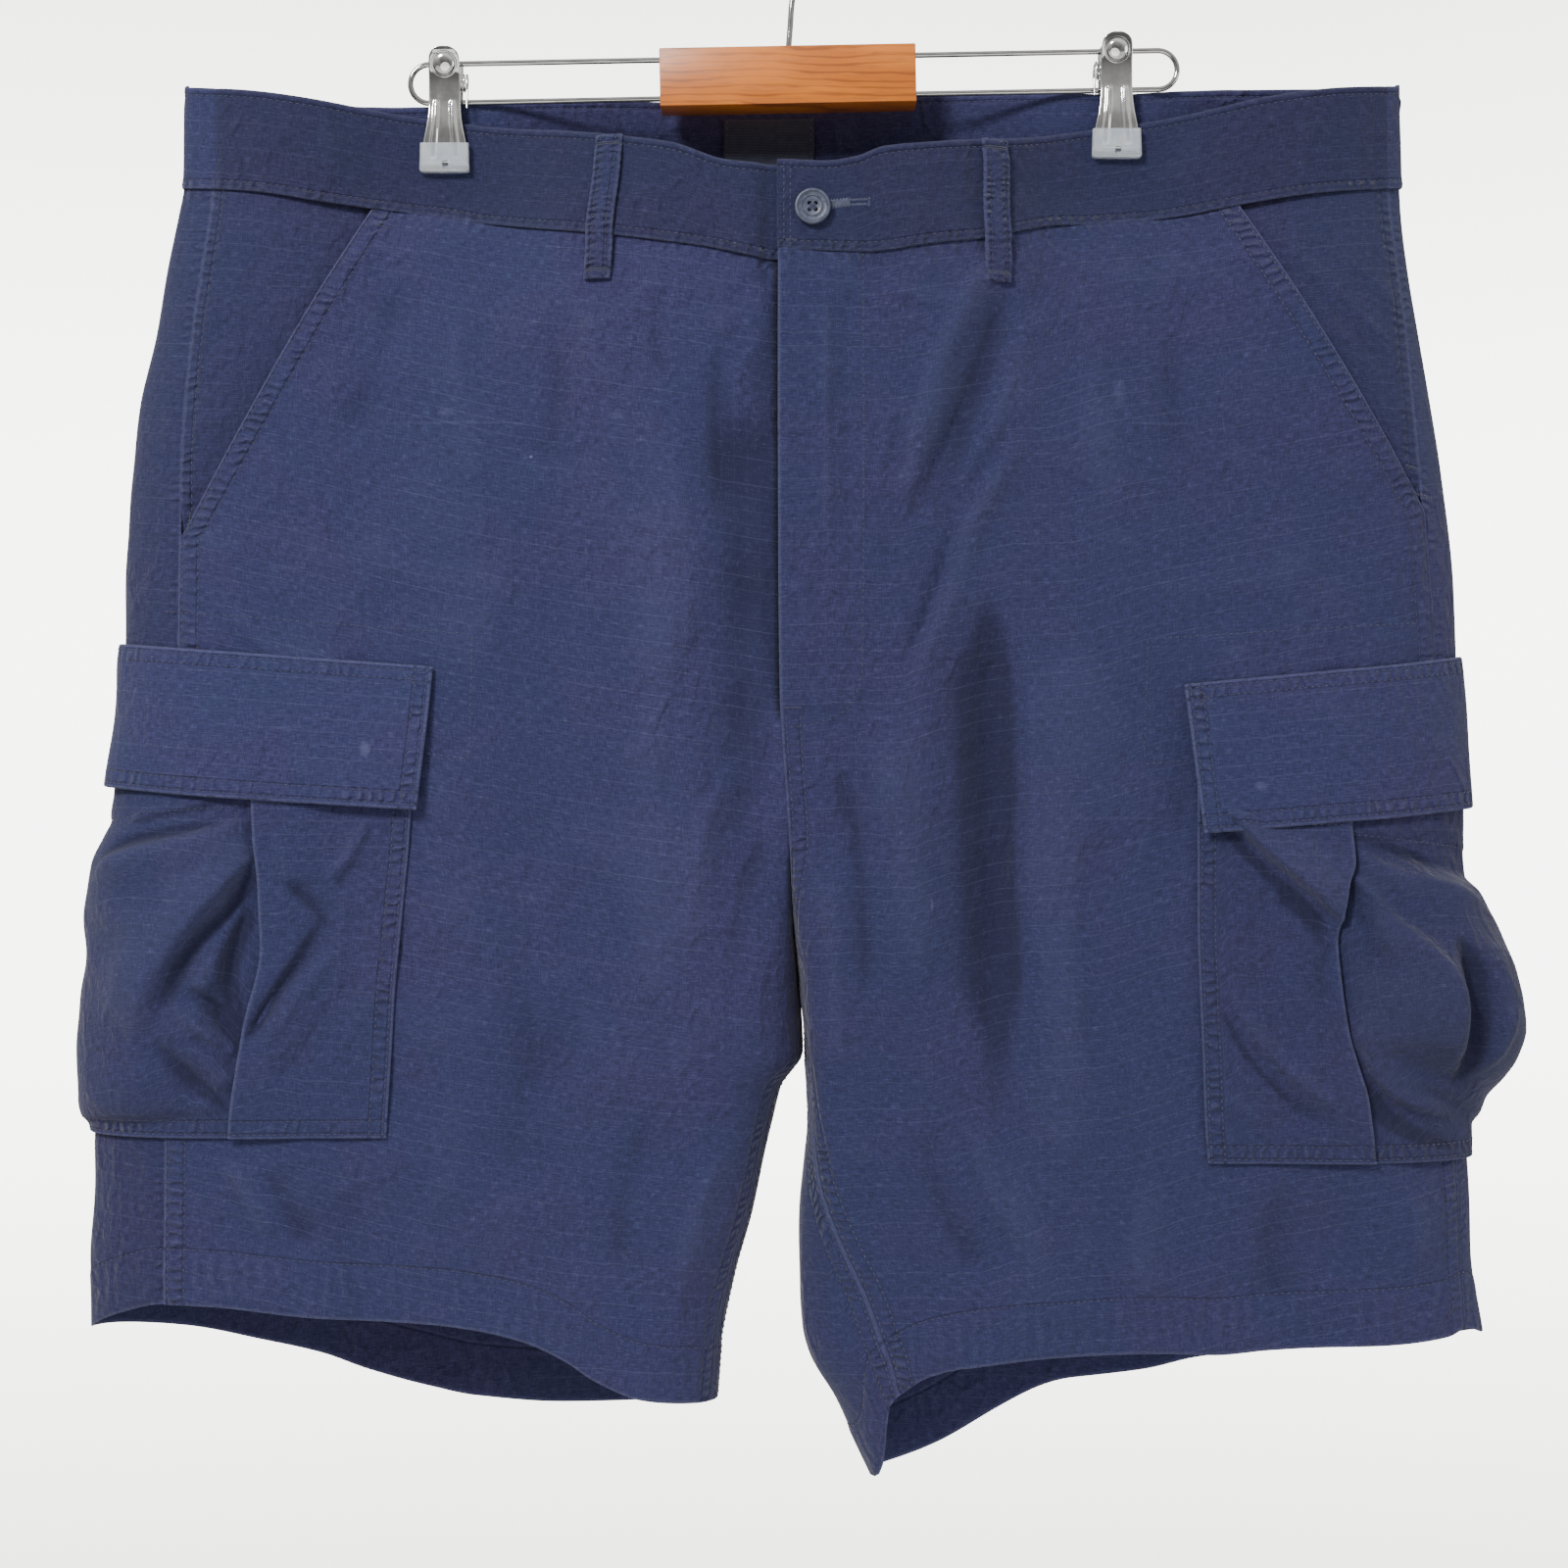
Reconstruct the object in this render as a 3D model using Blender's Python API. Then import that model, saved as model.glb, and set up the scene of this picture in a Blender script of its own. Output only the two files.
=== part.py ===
"""Cargo shorts hanging from a clip hanger.

Right and left are the wearer's: the right leg is at -X, the left leg at +X. The front
faces -Y and +Z is up. The origin is the inside top of the hanger's hook. The tables and
sizes below are in millimetres, with heights counted from a level that lies HOOK_RISE
below the origin, and objects are made in metres.

The cloth is one form: each leg is a flattened tube given by its outer fold, its inner
fold, and its depth to the front and to the back. Above the crotch the two legs join at
the centre seams. Every panel is a wall whose outer face lies on that form, and every
piece that lies on a panel is made from the same form, moved out.
"""

import math

import bmesh
import bpy
import numpy as np
from mathutils import Matrix, Vector

MM = 0.001

# Cloth and gaps.
CLOTH = 1.2                 # wall of a panel
BAND_CLOTH = 2.0            # wall of the waistband, folded double
FLAP_CLOTH = 1.8            # wall of a flap, folded double
SEAM_GAP = 0.3              # between two pieces that are sewn together
EDGE = SEAM_GAP / 2.0
LAID_ON = 0.9               # between a panel and a piece that lies on it
WAIST_GAP = 0.8             # between the waistband's lower edge and the panels
BAND_HEIGHT_BACK = 44.0
BAND_SEAM_X = 12.8          # where the two halves of the band's back meet

# How the form turns in at its folds.
OUTER_ROUND = 60.0          # how far from the outer fold a leg reaches its full depth
WRAP = 70.0                 # the same distance along the cloth
FOLD_GAP = 0.4              # half the gap between front and back at the crotch
BACK_INNER_STRIP = 4.0      # least width of the back's last cells at its inner edge
CROTCH_LEVEL = 0.692        # share of a panel's height at which the crotch lies
CROTCH_Z = -541.0
CORNER_Z = -131.0           # where the waistband's lower edge reaches the outer folds
BAND_Z = -108.0             # half way down the waistband there
MIDDLE_Z = -400.0

# The outline of each leg, one row for each height: Z, X of the outer fold, X of the side
# seam on the front, X of the inner fold, X of the inseam on the front, and how far from
# the inner fold the leg reaches its full depth. Above CROTCH_Z the inner fold is the
# centre.
LEG_COLUMNS = ("z", "outer", "side_seam", "inner", "inseam", "inner_round")
RIGHT_LEG = (
    (-84.0, -284.5, -266.0, -5.0, -5.0, 14.0),
    (-128.0, -286.3, -269.5, -5.0, -5.0, 14.0),
    (-146.0, -289.5, -271.0, -5.0, -5.0, 14.0),
    (-172.0, -294.8, -274.3, -5.0, -5.0, 14.0),
    (-201.0, -299.5, -278.0, -5.0, -5.0, 14.0),
    (-235.0, -307.3, -281.0, -5.0, -5.0, 14.0),
    (-267.0, -310.8, -282.6, -4.9, -4.9, 14.0),
    (-323.0, -314.2, -283.0, -4.7, -4.7, 14.0),
    (-380.0, -315.0, -283.5, -3.9, -3.9, 14.0),
    (-432.0, -317.0, -284.5, -0.7, -0.7, 18.0),
    (-476.0, -321.0, -286.0, 1.6, 1.6, 28.0),
    (-507.0, -324.0, -287.0, 4.2, 4.2, 32.0),
    (-541.0, -326.2, -288.0, 6.8, 5.8, 34.0),
    (-557.0, -327.3, -288.5, -3.4, -6.4, 35.0),
    (-573.0, -328.3, -289.0, -7.9, -10.9, 36.0),
    (-612.0, -329.2, -289.3, -16.2, -19.2, 38.0),
    (-642.0, -330.4, -289.5, -24.4, -27.4, 40.0),
    (-671.0, -330.0, -289.5, -30.6, -33.6, 40.0),
    (-704.0, -329.0, -289.5, -34.0, -37.0, 40.0),
    (-750.0, -328.0, -289.5, -36.0, -39.0, 40.0),
)
LEFT_LEG = (
    (-84.0, 287.7, 279.0, -4.6, -4.6, 10.0),
    (-128.0, 289.3, 281.8, -4.6, -4.6, 10.0),
    (-146.0, 290.3, 283.0, -4.6, -4.6, 10.0),
    (-172.0, 293.4, 286.0, -4.6, -4.6, 10.0),
    (-201.0, 298.2, 289.2, -4.6, -4.6, 10.0),
    (-235.0, 304.0, 291.8, -4.6, -4.6, 10.0),
    (-267.0, 309.0, 294.4, -4.5, -4.5, 10.0),
    (-323.0, 315.0, 299.5, -4.3, -4.3, 10.0),
    (-380.0, 316.4, 303.0, -3.5, -3.5, 10.0),
    (-432.0, 316.2, 304.5, -0.3, -0.3, 10.0),
    (-476.0, 316.0, 306.0, 2.0, 2.0, 9.0),
    (-507.0, 317.0, 308.0, 4.6, 4.6, 9.0),
    (-541.0, 318.6, 310.0, 7.2, 8.2, 10.0),
    (-570.0, 319.8, 311.6, 8.2, 10.4, 14.0),
    (-598.0, 321.8, 313.0, 6.4, 13.4, 22.0),
    (-614.0, 322.6, 313.8, 5.4, 18.0, 30.0),
    (-634.0, 323.0, 314.4, 5.0, 26.4, 40.0),
    (-652.0, 324.8, 315.2, 5.1, 35.0, 46.0),
    (-671.0, 328.0, 316.2, 6.6, 42.0, 48.0),
    (-684.0, 329.6, 316.6, 9.8, 47.0, 48.0),
    (-705.0, 330.0, 317.0, 21.6, 52.0, 44.0),
    (-729.0, 330.0, 317.0, 33.3, 58.0, 36.0),
    (-750.0, 330.0, 317.0, 43.0, 64.0, 32.0),
)

# The back's centre seam: from Z to X.
BACK_CENTRE_X = 3.0
BACK_CENTRE = ((-84.0, BACK_CENTRE_X), (-432.0, BACK_CENTRE_X), (-500.0, 5.0),
               (CROTCH_Z, 7.0), (-760.0, 7.0))

# Depth of the form from its middle plane, one row for each height: Z, depth to the front
# and to the back, how much the clips pinch the front and the back flat, how far the
# middle bows to the front and to the back.
DEPTH_COLUMNS = ("z", "front", "back", "pinch_front", "pinch_back", "bow_front", "bow_back")
DEPTHS = (
    (-84.0, 16.0, 14.0, 0.88, 0.86, 21.0, 9.0),
    (-131.0, 17.0, 14.5, 0.88, 0.86, 19.0, 8.0),
    (-156.0, 20.0, 16.0, 0.66, 0.62, 16.0, 7.0),
    (-200.0, 24.0, 18.0, 0.36, 0.34, 11.0, 6.0),
    (-300.0, 27.0, 21.0, 0.10, 0.10, 6.0, 5.0),
    (-400.0, 29.0, 23.0, 0.00, 0.00, 2.0, 3.0),
    (-500.0, 29.0, 24.0, 0.00, 0.00, 0.0, 0.0),
    (-600.0, 27.0, 24.0, 0.00, 0.00, 0.0, 0.0),
    (-760.0, 27.0, 25.0, 0.00, 0.00, 0.0, 0.0),
)
CLIP_X = (-162.0, 154.5)
PINCH_FLAT = 18.0           # half width that a clip's pads hold flat
PINCH_REACH = 38.0
BOW_REACH = 96.0
SEAM_TURNS = (-424.0, -540.0)   # heights between which the centre seams turn under

# Upper and lower edges along X, one row for each place: from X to Z.
EDGE_COLUMNS = ("from", "to")
BAND_TOP_RIGHT = (
    (-285.0, -84.0), (-281.0, -86.2), (-249.0, -90.3), (-207.0, -95.5), (-161.0, -101.2),
    (-113.0, -108.0), (-76.0, -114.5), (-54.0, -118.6), (-28.0, -127.6), (-5.0, -129.6),
    (46.0, -129.6),
)
BAND_TOP_LEFT = (
    (-4.6, -127.6), (16.0, -128.3), (30.6, -126.0), (43.0, -121.0), (67.0, -117.5),
    (104.0, -112.3), (140.0, -105.6), (194.0, -98.0), (223.0, -93.1), (252.0, -89.2),
    (284.0, -85.6), (288.0, -83.6),
)
BAND_TOP_BACK = (
    (-285.0, -84.0), (-236.0, -86.6), (-202.0, -91.6), (-176.0, -93.3), (-143.0, -93.3),
    (-77.0, -91.0), (0.0, -89.2), (91.0, -87.4), (157.0, -86.9), (213.0, -83.4),
    (250.0, -82.4), (288.0, -83.6),
)
SEAM_FRONT_RIGHT = (
    (-287.0, -131.0), (-281.0, -132.3), (-247.0, -136.0), (-219.0, -139.8),
    (-191.0, -142.0), (-163.0, -144.6), (-141.0, -148.8), (-112.0, -153.5),
    (-61.0, -161.5), (-39.0, -165.0), (-17.0, -169.6), (-5.0, -171.2), (46.0, -171.2),
)
SEAM_FRONT_LEFT = (
    (-4.6, -167.0), (33.0, -167.6), (67.0, -162.6), (92.0, -158.6), (104.0, -155.0),
    (125.0, -150.0), (183.0, -145.4), (208.0, -141.9), (244.0, -136.9), (284.0, -132.0),
    (290.0, -130.4),
)
HEM_FRONT_RIGHT = (
    (-330.0, -671.0), (-322.0, -665.0), (-308.0, -659.0), (-292.0, -655.2),
    (-270.0, -656.0), (-217.0, -662.0), (-166.0, -664.6), (-146.0, -667.3),
    (-125.0, -672.4), (-105.0, -681.6), (-91.0, -690.5), (-69.0, -699.4),
    (-46.0, -702.6), (-34.0, -704.0),
)
HEM_BACK_RIGHT = (
    (-330.0, -671.0), (-320.0, -672.0), (-289.0, -676.0), (-258.0, -682.4),
    (-226.0, -689.5), (-205.0, -697.0), (-173.0, -705.6), (-152.0, -710.0),
    (-110.0, -713.0), (-71.0, -712.0), (-34.0, -704.0),
)
HEM_FRONT_LEFT = (
    (40.0, -705.0), (52.0, -704.5), (67.0, -699.6), (88.0, -688.8), (109.0, -683.6),
    (142.0, -679.5), (188.0, -677.8), (211.0, -678.4), (234.0, -676.4), (281.0, -674.4),
    (310.0, -671.6), (320.0, -668.4), (330.0, -673.0),
)
HEM_BACK_LEFT = (
    (40.0, -705.0), (82.0, -706.5), (112.0, -705.5), (148.0, -701.6), (184.0, -697.2),
    (209.0, -691.4), (245.0, -687.0), (293.0, -684.0), (318.0, -678.0), (330.0, -673.0),
)
CORNER_DROP = 35.0          # how far the left leg's inner hem corner hangs down
DROP_FRONT = 0.10           # share of the front's width that hangs with it
DROP_BACK = 0.38            # share of the back's width
DROP_POWER = 5.0            # how late down the leg the corner starts to hang

# The largest folds, one row each: X and Z of the upper end, X and Z of the lower end,
# half width, and height, which is positive for a ridge and negative for a trough.
FOLD_COLUMNS = ("x0", "z0", "x1", "z1", "width", "height")
FRONT_FOLDS = (
    (72.0, -196.0, 36.0, -520.0, 24.0, 4.6),
    (104.0, -182.0, 20.0, -430.0, 17.0, -3.6),
    (96.0, -360.0, 84.0, -545.0, 22.0, -3.6),
    (150.0, -300.0, 128.0, -655.0, 34.0, 3.0),
    (196.0, -250.0, 176.0, -450.0, 26.0, -2.2),
    (-26.0, -200.0, -24.0, -480.0, 15.0, -2.8),
    (-66.0, -196.0, -58.0, -590.0, 28.0, 4.0),
    (-112.0, -214.0, -104.0, -610.0, 24.0, -3.2),
    (-156.0, -240.0, -140.0, -650.0, 28.0, 2.6),
    (-190.0, -600.0, -196.0, -690.0, 26.0, -3.0),
    (250.0, -600.0, 244.0, -690.0, 28.0, -3.0),
    (118.0, -640.0, 96.0, -700.0, 20.0, 3.4),
)
BACK_FOLDS = (
    (-40.0, -170.0, -90.0, -560.0, 30.0, 4.2),
    (-96.0, -190.0, -140.0, -640.0, 26.0, -3.4),
    (-170.0, -160.0, -200.0, -620.0, 34.0, 3.0),
    (-236.0, -220.0, -246.0, -600.0, 26.0, -2.4),
    (52.0, -170.0, 78.0, -600.0, 28.0, 3.8),
    (104.0, -190.0, 130.0, -620.0, 24.0, -3.2),
    (178.0, -160.0, 206.0, -640.0, 32.0, 3.2),
    (240.0, -240.0, 250.0, -600.0, 26.0, -2.2),
)

# Slanted pockets: X and Z of the edge at the waistband and at the side seam.
SLANT = {"right": ((-196.0, -142.0), (-281.4, -299.0)),
         "left": ((211.0, -143.0), (303.0, -299.0))}
SLANT_UNDER = 11.0          # how far the facing runs on under the front
SLANT_SINK = 2.3            # how far the facing lies behind the front there
SLANT_GAPE = {"right": 1.2, "left": 3.4}

# Cargo pockets. Distances along the cloth are measured from the outer fold, positive to
# the front and negative to the back.
POCKET_TOP = {"right": -404.0, "left": -414.0}
POCKET_BOTTOM = {"right": -577.6, "left": -589.4}
POCKET_FRONT_EDGE = {"right": 152.0, "left": 137.0}
POCKET_BACK_EDGE = {"right": -74.0, "left": -92.0}
PLEAT_COLUMNS = ("z", "pleat", "bulge")     # place of the pleat's edge, bulge behind it
PLEATS = {
    "right": (
        (-404.0, 79.0, 0.4), (-420.0, 79.0, 0.6), (-436.0, 80.5, 4.0),
        (-454.0, 84.0, 8.6), (-472.0, 87.0, 9.0), (-495.0, 89.5, 8.0),
        (-523.0, 85.0, 7.2), (-547.0, 82.0, 7.2), (-564.0, 80.5, 5.8),
        (-573.0, 80.0, 2.6), (-577.6, 80.0, 0.4),
    ),
    "left": (
        (-414.0, 68.0, 0.4), (-431.0, 68.0, 0.7), (-450.0, 67.0, 3.0),
        (-468.0, 70.0, 7.0), (-488.0, 74.0, 13.6), (-506.0, 73.0, 18.6),
        (-528.0, 70.5, 19.2), (-547.0, 67.0, 16.0), (-558.0, 65.0, 11.0),
        (-570.0, 64.0, 5.0), (-582.0, 63.0, 1.4), (-589.4, 63.0, 0.4),
    ),
}
PLEAT_LIFT = 5.6            # height of the flat part's outer face at the pleat
PLEAT_UNDER = 9.0           # how far the bellows run on under the flat part

# The main folds of the full part: distance along and Z of each end, and half width.
POCKET_FOLD_HEIGHT = 2.6
POCKET_FOLDS = {
    "right": ((78.0, -446.0, 14.0, -540.0, 11.0), (62.0, -430.0, 18.0, -466.0, 9.0),
              (80.0, -510.0, 30.0, -566.0, 10.0)),
    "left": ((64.0, -442.0, 26.0, -470.0, 9.0), (68.0, -500.0, 26.0, -552.0, 10.0),
             (34.0, -462.0, 20.0, -560.0, 11.0)),
}

# Flaps: distance along the cloth and Z of the upper and the lower edge.
FLAP_COLUMNS = ("along", "top", "bottom")
FLAPS = {
    "right": ((160.0, -360.6, -425.4), (76.0, -354.4, -420.4), (0.0, -348.6, -414.8),
              (-80.0, -351.0, -417.0)),
    "left": ((143.0, -368.6, -436.4), (72.0, -362.0, -430.6), (0.0, -354.6, -424.4),
             (-98.0, -358.0, -427.0)),
}
FLAP_FLARE = {"right": -4.5, "left": -8.5}  # how much shorter the flap's lower edge is
FLAP_LIFT = 7.2             # height of a flap's outer face above the leg at its free edge

# Belt loops: X at the upper and the lower end, face, and which band edge they start at.
LOOP_WIDTH = 11.6
LOOP_LIFT = 3.2
LOOP_CLOTH = 1.6
FRONT_LOOPS = {"belt_loop_front_right": (-82.3, -89.0), "belt_loop_front_left": (94.6, 96.8)}
BACK_LOOPS = {"belt_loop_back_right": -118.0, "belt_loop_centre_back": BACK_CENTRE_X,
              "belt_loop_back_left": 122.0}
LOOP_LENGTH_FRONT = 66.0
LOOP_LENGTH_BACK = 62.0

# Button and label.
BUTTON_AT = (10.8, -149.5)
BUTTON_RADIUS = 8.2
BUTTON_THICK = 3.0
LABEL_X = (-31.6, 12.4)
LABEL_DROP = (4.6, 37.0)    # below the back band's upper edge
LABEL_CLOTH = 1.0

# Hanger.
TILT = math.radians(1.1)
WIRE_RADIUS = 1.3
ROD_MIDDLE_Z = -78.8        # height of the wire loops' middle at X = 0
ROD_HALF_GAP = 9.2
LOOP_END_X = {"right": -179.5, "left": 184.2}
BLOCK_SIZE = (121.0, 18.0, 29.6)
BLOCK_CENTRE = (-0.4, 0.0, -81.4)
BLOCK_BEVEL = 2.6
HOOK_RADIUS = 22.0          # inside radius of the bend
HOOK_WIRE = 1.4
HOOK_RISE = 20.0            # the tables' zero level lies this far below the origin
HOOK_STEM = 24.0            # straight part above the block
HOOK_LEAN = math.radians(4.5)
HOOK_SWEEP = 12.0           # handles of the sweep from the stem into the bend
HOOK_START = math.radians(-36.0)
HOOK_END = math.radians(206.0)
CLIPS = {"right": (-162.6, -66.8), "left": (154.8, -60.0)}  # X, Z of the head's top
JAW_COLUMNS = ("drop", "half_width", "stand", "flange")     # stand: inner face from Y = 0
JAW = (
    (0.0, 3.2, 9.2, 0.5), (1.4, 5.4, 8.9, 0.9), (4.0, 7.0, 8.2, 1.8), (8.0, 7.4, 7.0, 2.4),
    (15.0, 7.4, 4.9, 2.2), (24.5, 7.5, 4.7, 1.2), (31.0, 7.8, 5.2, 1.6),
    (38.0, 8.8, 5.7, 1.8), (44.0, 10.2, 5.4, 0.6), (49.5, 11.2, 5.0, 0.3),
)
JAW_METAL = 1.0
PAD_TOP_DROP = 44.6
PAD_STEP_DROP = 50.0
PAD_BOTTOM_DROP = 58.6
PAD_WIDTH = 23.6
PAD_STAND = 3.1             # inner face from Y = 0
PAD_STEP = 4.4
PAD_FRONT = 6.4
CAP_RADIUS = 6.2
CAP_DROP = 8.0
SLEEVE_BORE = 2.6
SLEEVE_RADIUS = 4.3
SLEEVE_LENGTH = 12.4

# Grid sizes, and how many finer steps each cell is worked out in.
ROWS_ABOVE = 15
ROWS_BELOW = 8
FRONT_CELLS = 12
BACK_SIDE_CELLS = 3
BACK_CELLS = 15
BACK_INNER_CELLS = 3
FINE = 4


# ---------------------------------------------------------------- curves through tables

def smooth_curve(keys, values, at):
    """Values between a table's rows, on a curve that never overshoots its rows."""
    keys = np.asarray(keys, float)
    values = np.asarray(values, float)
    if keys[0] > keys[-1]:
        keys = keys[::-1]
        values = values[::-1]
    steps = np.diff(keys)
    slopes = np.diff(values) / steps
    tangents = np.zeros_like(values)
    tangents[0] = slopes[0]
    tangents[-1] = slopes[-1]
    same_way = slopes[:-1] * slopes[1:] > 0.0
    total = np.where(same_way, slopes[:-1] + slopes[1:], 1.0)
    tangents[1:-1] = np.where(same_way, 2.0 * slopes[:-1] * slopes[1:] / total, 0.0)
    at = np.clip(np.asarray(at, float), keys[0], keys[-1])
    index = np.clip(np.searchsorted(keys, at) - 1, 0, len(steps) - 1)
    width = steps[index]
    share = (at - keys[index]) / width
    rise = share * share * (3.0 - 2.0 * share)
    start = share * (1.0 - share) ** 2 * width
    end = share * share * (share - 1.0) * width
    return (values[index] * (1.0 - rise) + values[index + 1] * rise
            + tangents[index] * start + tangents[index + 1] * end)


def column_of(table, columns, wanted):
    """One named column of a table."""
    return np.array([row[columns.index(wanted)] for row in table])


def read(table, columns, wanted, at):
    """One named column of a table at a place given in its first column."""
    return smooth_curve(column_of(table, columns, columns[0]),
                        column_of(table, columns, wanted), at)


def edge_height(table, x):
    return read(table, EDGE_COLUMNS, "to", x)


def ease(share):
    share = np.clip(share, 0.0, 1.0)
    return share * share * (3.0 - 2.0 * share)


# ---------------------------------------------------------------- the garment's form

class Leg:
    """One leg's outline and edges, with the inward direction along X."""

    def __init__(self, side, table, inward, seam_front, hem_front, hem_back, drop):
        self.side = side
        self.table = table
        self.inward = inward
        self.seam_front = seam_front
        self.hem_front = hem_front
        self.hem_back = hem_back
        self.hem_middle = 0.5 * (hem_front[0][1] + hem_front[-1][1])
        self.drop = drop

    def at(self, column, z):
        return read(self.table, LEG_COLUMNS, column, z)


RIGHT = Leg("right", RIGHT_LEG, 1.0, SEAM_FRONT_RIGHT, HEM_FRONT_RIGHT, HEM_BACK_RIGHT, 0.0)
LEFT = Leg("left", LEFT_LEG, -1.0, SEAM_FRONT_LEFT, HEM_FRONT_LEFT, HEM_BACK_LEFT,
           CORNER_DROP)
LEGS = (RIGHT, LEFT)


def relief(folds, x, z):
    """Height of the folds at a place, each one soft across and fading at its ends."""
    height = np.zeros(np.broadcast(x, z).shape)
    for row in folds:
        fold = dict(zip(FOLD_COLUMNS, row))
        along_x = fold["x1"] - fold["x0"]
        along_z = fold["z1"] - fold["z0"]
        length = math.hypot(along_x, along_z)
        from_x = x - fold["x0"]
        from_z = z - fold["z0"]
        share = (from_x * along_x + from_z * along_z) / length ** 2
        across = (from_x * along_z - from_z * along_x) / length
        ends = ease((share + 0.12) / 0.34) * ease((1.12 - share) / 0.34)
        height = height + fold["height"] * ends * np.exp(-(across / fold["width"]) ** 2)
    return height


def full_depth(face, x, z):
    """Depth of the form to the front or to the back, away from its folds."""
    depth = read(DEPTHS, DEPTH_COLUMNS, face, z)
    pinch = read(DEPTHS, DEPTH_COLUMNS, "pinch_" + face, z)
    bow = read(DEPTHS, DEPTH_COLUMNS, "bow_" + face, z)
    held = sum(np.exp(-(np.maximum(np.abs(x - clip) - PINCH_FLAT, 0.0) / PINCH_REACH) ** 2)
               for clip in CLIP_X)
    folds = FRONT_FOLDS if face == "front" else BACK_FOLDS
    bowed = bow * np.exp(-(x / BOW_REACH) ** 2)
    return (depth + bowed) * (1.0 - pinch * held) + relief(folds, x, z)


def inner_fold(leg, face, z):
    """X of the leg's inner edge: the centre seam above the crotch, the fold below it."""
    inner = leg.at("inner", z)
    if face == "front":
        return inner
    centre = read(BACK_CENTRE, EDGE_COLUMNS, "to", z) - leg.inward * 0.2
    return np.where(np.asarray(z) > CROTCH_Z, centre, inner)


def height_at(leg, face, share, level):
    """Z at a share of the width from the outer fold and a share of the panel's height."""
    if face == "front":
        top_edge, hem_edge, hang = leg.seam_front, leg.hem_front, DROP_FRONT
        top_x = leg.at("outer", CORNER_Z) * (1.0 - share) + leg.at("inner", CORNER_Z) * share
        top = edge_height(top_edge, top_x)
    else:
        hem_edge, hang = leg.hem_back, DROP_BACK
        top_x = leg.at("outer", CORNER_Z) * (1.0 - share) + BACK_CENTRE_X * share
        top = edge_height(BAND_TOP_BACK, top_x) - BAND_HEIGHT_BACK
        corner = edge_height(leg.seam_front, leg.at("outer", CORNER_Z))
        top = top + (corner - edge_height(BAND_TOP_BACK, leg.at("outer", CORNER_Z))
                     + BAND_HEIGHT_BACK) * (1.0 - ease(share / 0.2))
    hem_z = leg.hem_middle
    hem_x = leg.at("outer", hem_z) * (1.0 - share) + hem_inner(leg) * share
    hem = edge_height(hem_edge, hem_x)
    z = top * (1.0 - level) + hem * level
    z = z - leg.drop * ease((share - 1.0 + hang) / hang) * level ** DROP_POWER
    if face == "back":
        match = height_at(leg, "front", 1.0, level) - height_inner_back(leg, level)
        z = z + match * ease((share - 0.35) / 0.65) * ease((level - 0.28) / 0.38)
    return z


def hem_inner(leg):
    return leg.hem_front[-1][0] if leg.side == "right" else leg.hem_front[0][0]


def height_inner_back(leg, level):
    """Z at the back's inner edge before it is brought to the front's height."""
    top = edge_height(BAND_TOP_BACK, BACK_CENTRE_X) - BAND_HEIGHT_BACK
    hem = edge_height(leg.hem_back, hem_inner(leg))
    return top * (1.0 - level) + hem * level - leg.drop * level ** DROP_POWER


def depth_at(leg, face, x, z):
    """How far the form stands from its middle plane at a place on one face."""
    from_outer = (x - leg.at("outer", z)) * leg.inward
    from_inner = (inner_fold(leg, face, z) - x) * leg.inward
    outer_turn = np.sqrt(1.0 - (1.0 - np.clip(from_outer / OUTER_ROUND, 0.0, 1.0)) ** 2)
    reach = leg.at("inner_round", z)
    inner_turn = np.sqrt(1.0 - (1.0 - np.clip(from_inner / reach, 0.0, 1.0)) ** 2)
    turned = ease((SEAM_TURNS[0] - z) / (SEAM_TURNS[0] - SEAM_TURNS[1]))
    full = full_depth(face, x, z)
    return outer_turn * (FOLD_GAP + full * ((1.0 - turned) + turned * inner_turn))


def form_point(leg, face, share, level):
    """A point of the form from a share of the width and a share of the height."""
    z = height_at(leg, face, share, level)
    x = leg.at("outer", z) * (1.0 - share) + inner_fold(leg, face, z) * share
    depth = depth_at(leg, face, x, z)
    return np.stack([x, -depth if face == "front" else depth, z], axis=-1)


def seam_share(leg, column, level):
    """Share of the front's width at which a seam lies, for each level."""
    share = np.full(np.shape(level), 0.1 if column == "side_seam" else 0.97)
    for _ in range(24):
        z = height_at(leg, "front", share, level)
        outer = leg.at("outer", z)
        found = (leg.at(column, z) - outer) / (leg.at("inner", z) - outer)
        share = 0.5 * share + 0.5 * np.clip(found, 0.0, 1.0)
    return share


def slant_share(leg, level):
    """Share of the front's width at which the front starts: slanted edge, then seam."""
    seam = seam_share(leg, "side_seam", level)
    (x_top, z_top), (x_end, z_end) = SLANT[leg.side]
    share = seam.copy()
    for _ in range(24):
        z = height_at(leg, "front", share, level)
        down = np.clip((z - z_top) / (z_end - z_top), 0.0, 1.0)
        x = x_top + (x_end - x_top) * down
        outer = leg.at("outer", z)
        found = np.where(down < 1.0, (x - outer) / (leg.at("inner", z) - outer), seam)
        share = 0.5 * share + 0.5 * np.maximum(found, seam)
    return share


def fine_levels():
    above = np.linspace(0.0, CROTCH_LEVEL, ROWS_ABOVE * FINE + 1)
    below = np.linspace(CROTCH_LEVEL, 1.0, ROWS_BELOW * FINE + 1)
    return np.concatenate([above, below[1:]])


def fine_steps(cells):
    return np.linspace(0.0, 1.0, cells * FINE + 1)


def crowded(cells, strength=0.08):
    """Fine steps that lie closer together near both ends."""
    even = fine_steps(cells)
    return even - strength * np.sin(2.0 * math.pi * even)


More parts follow.
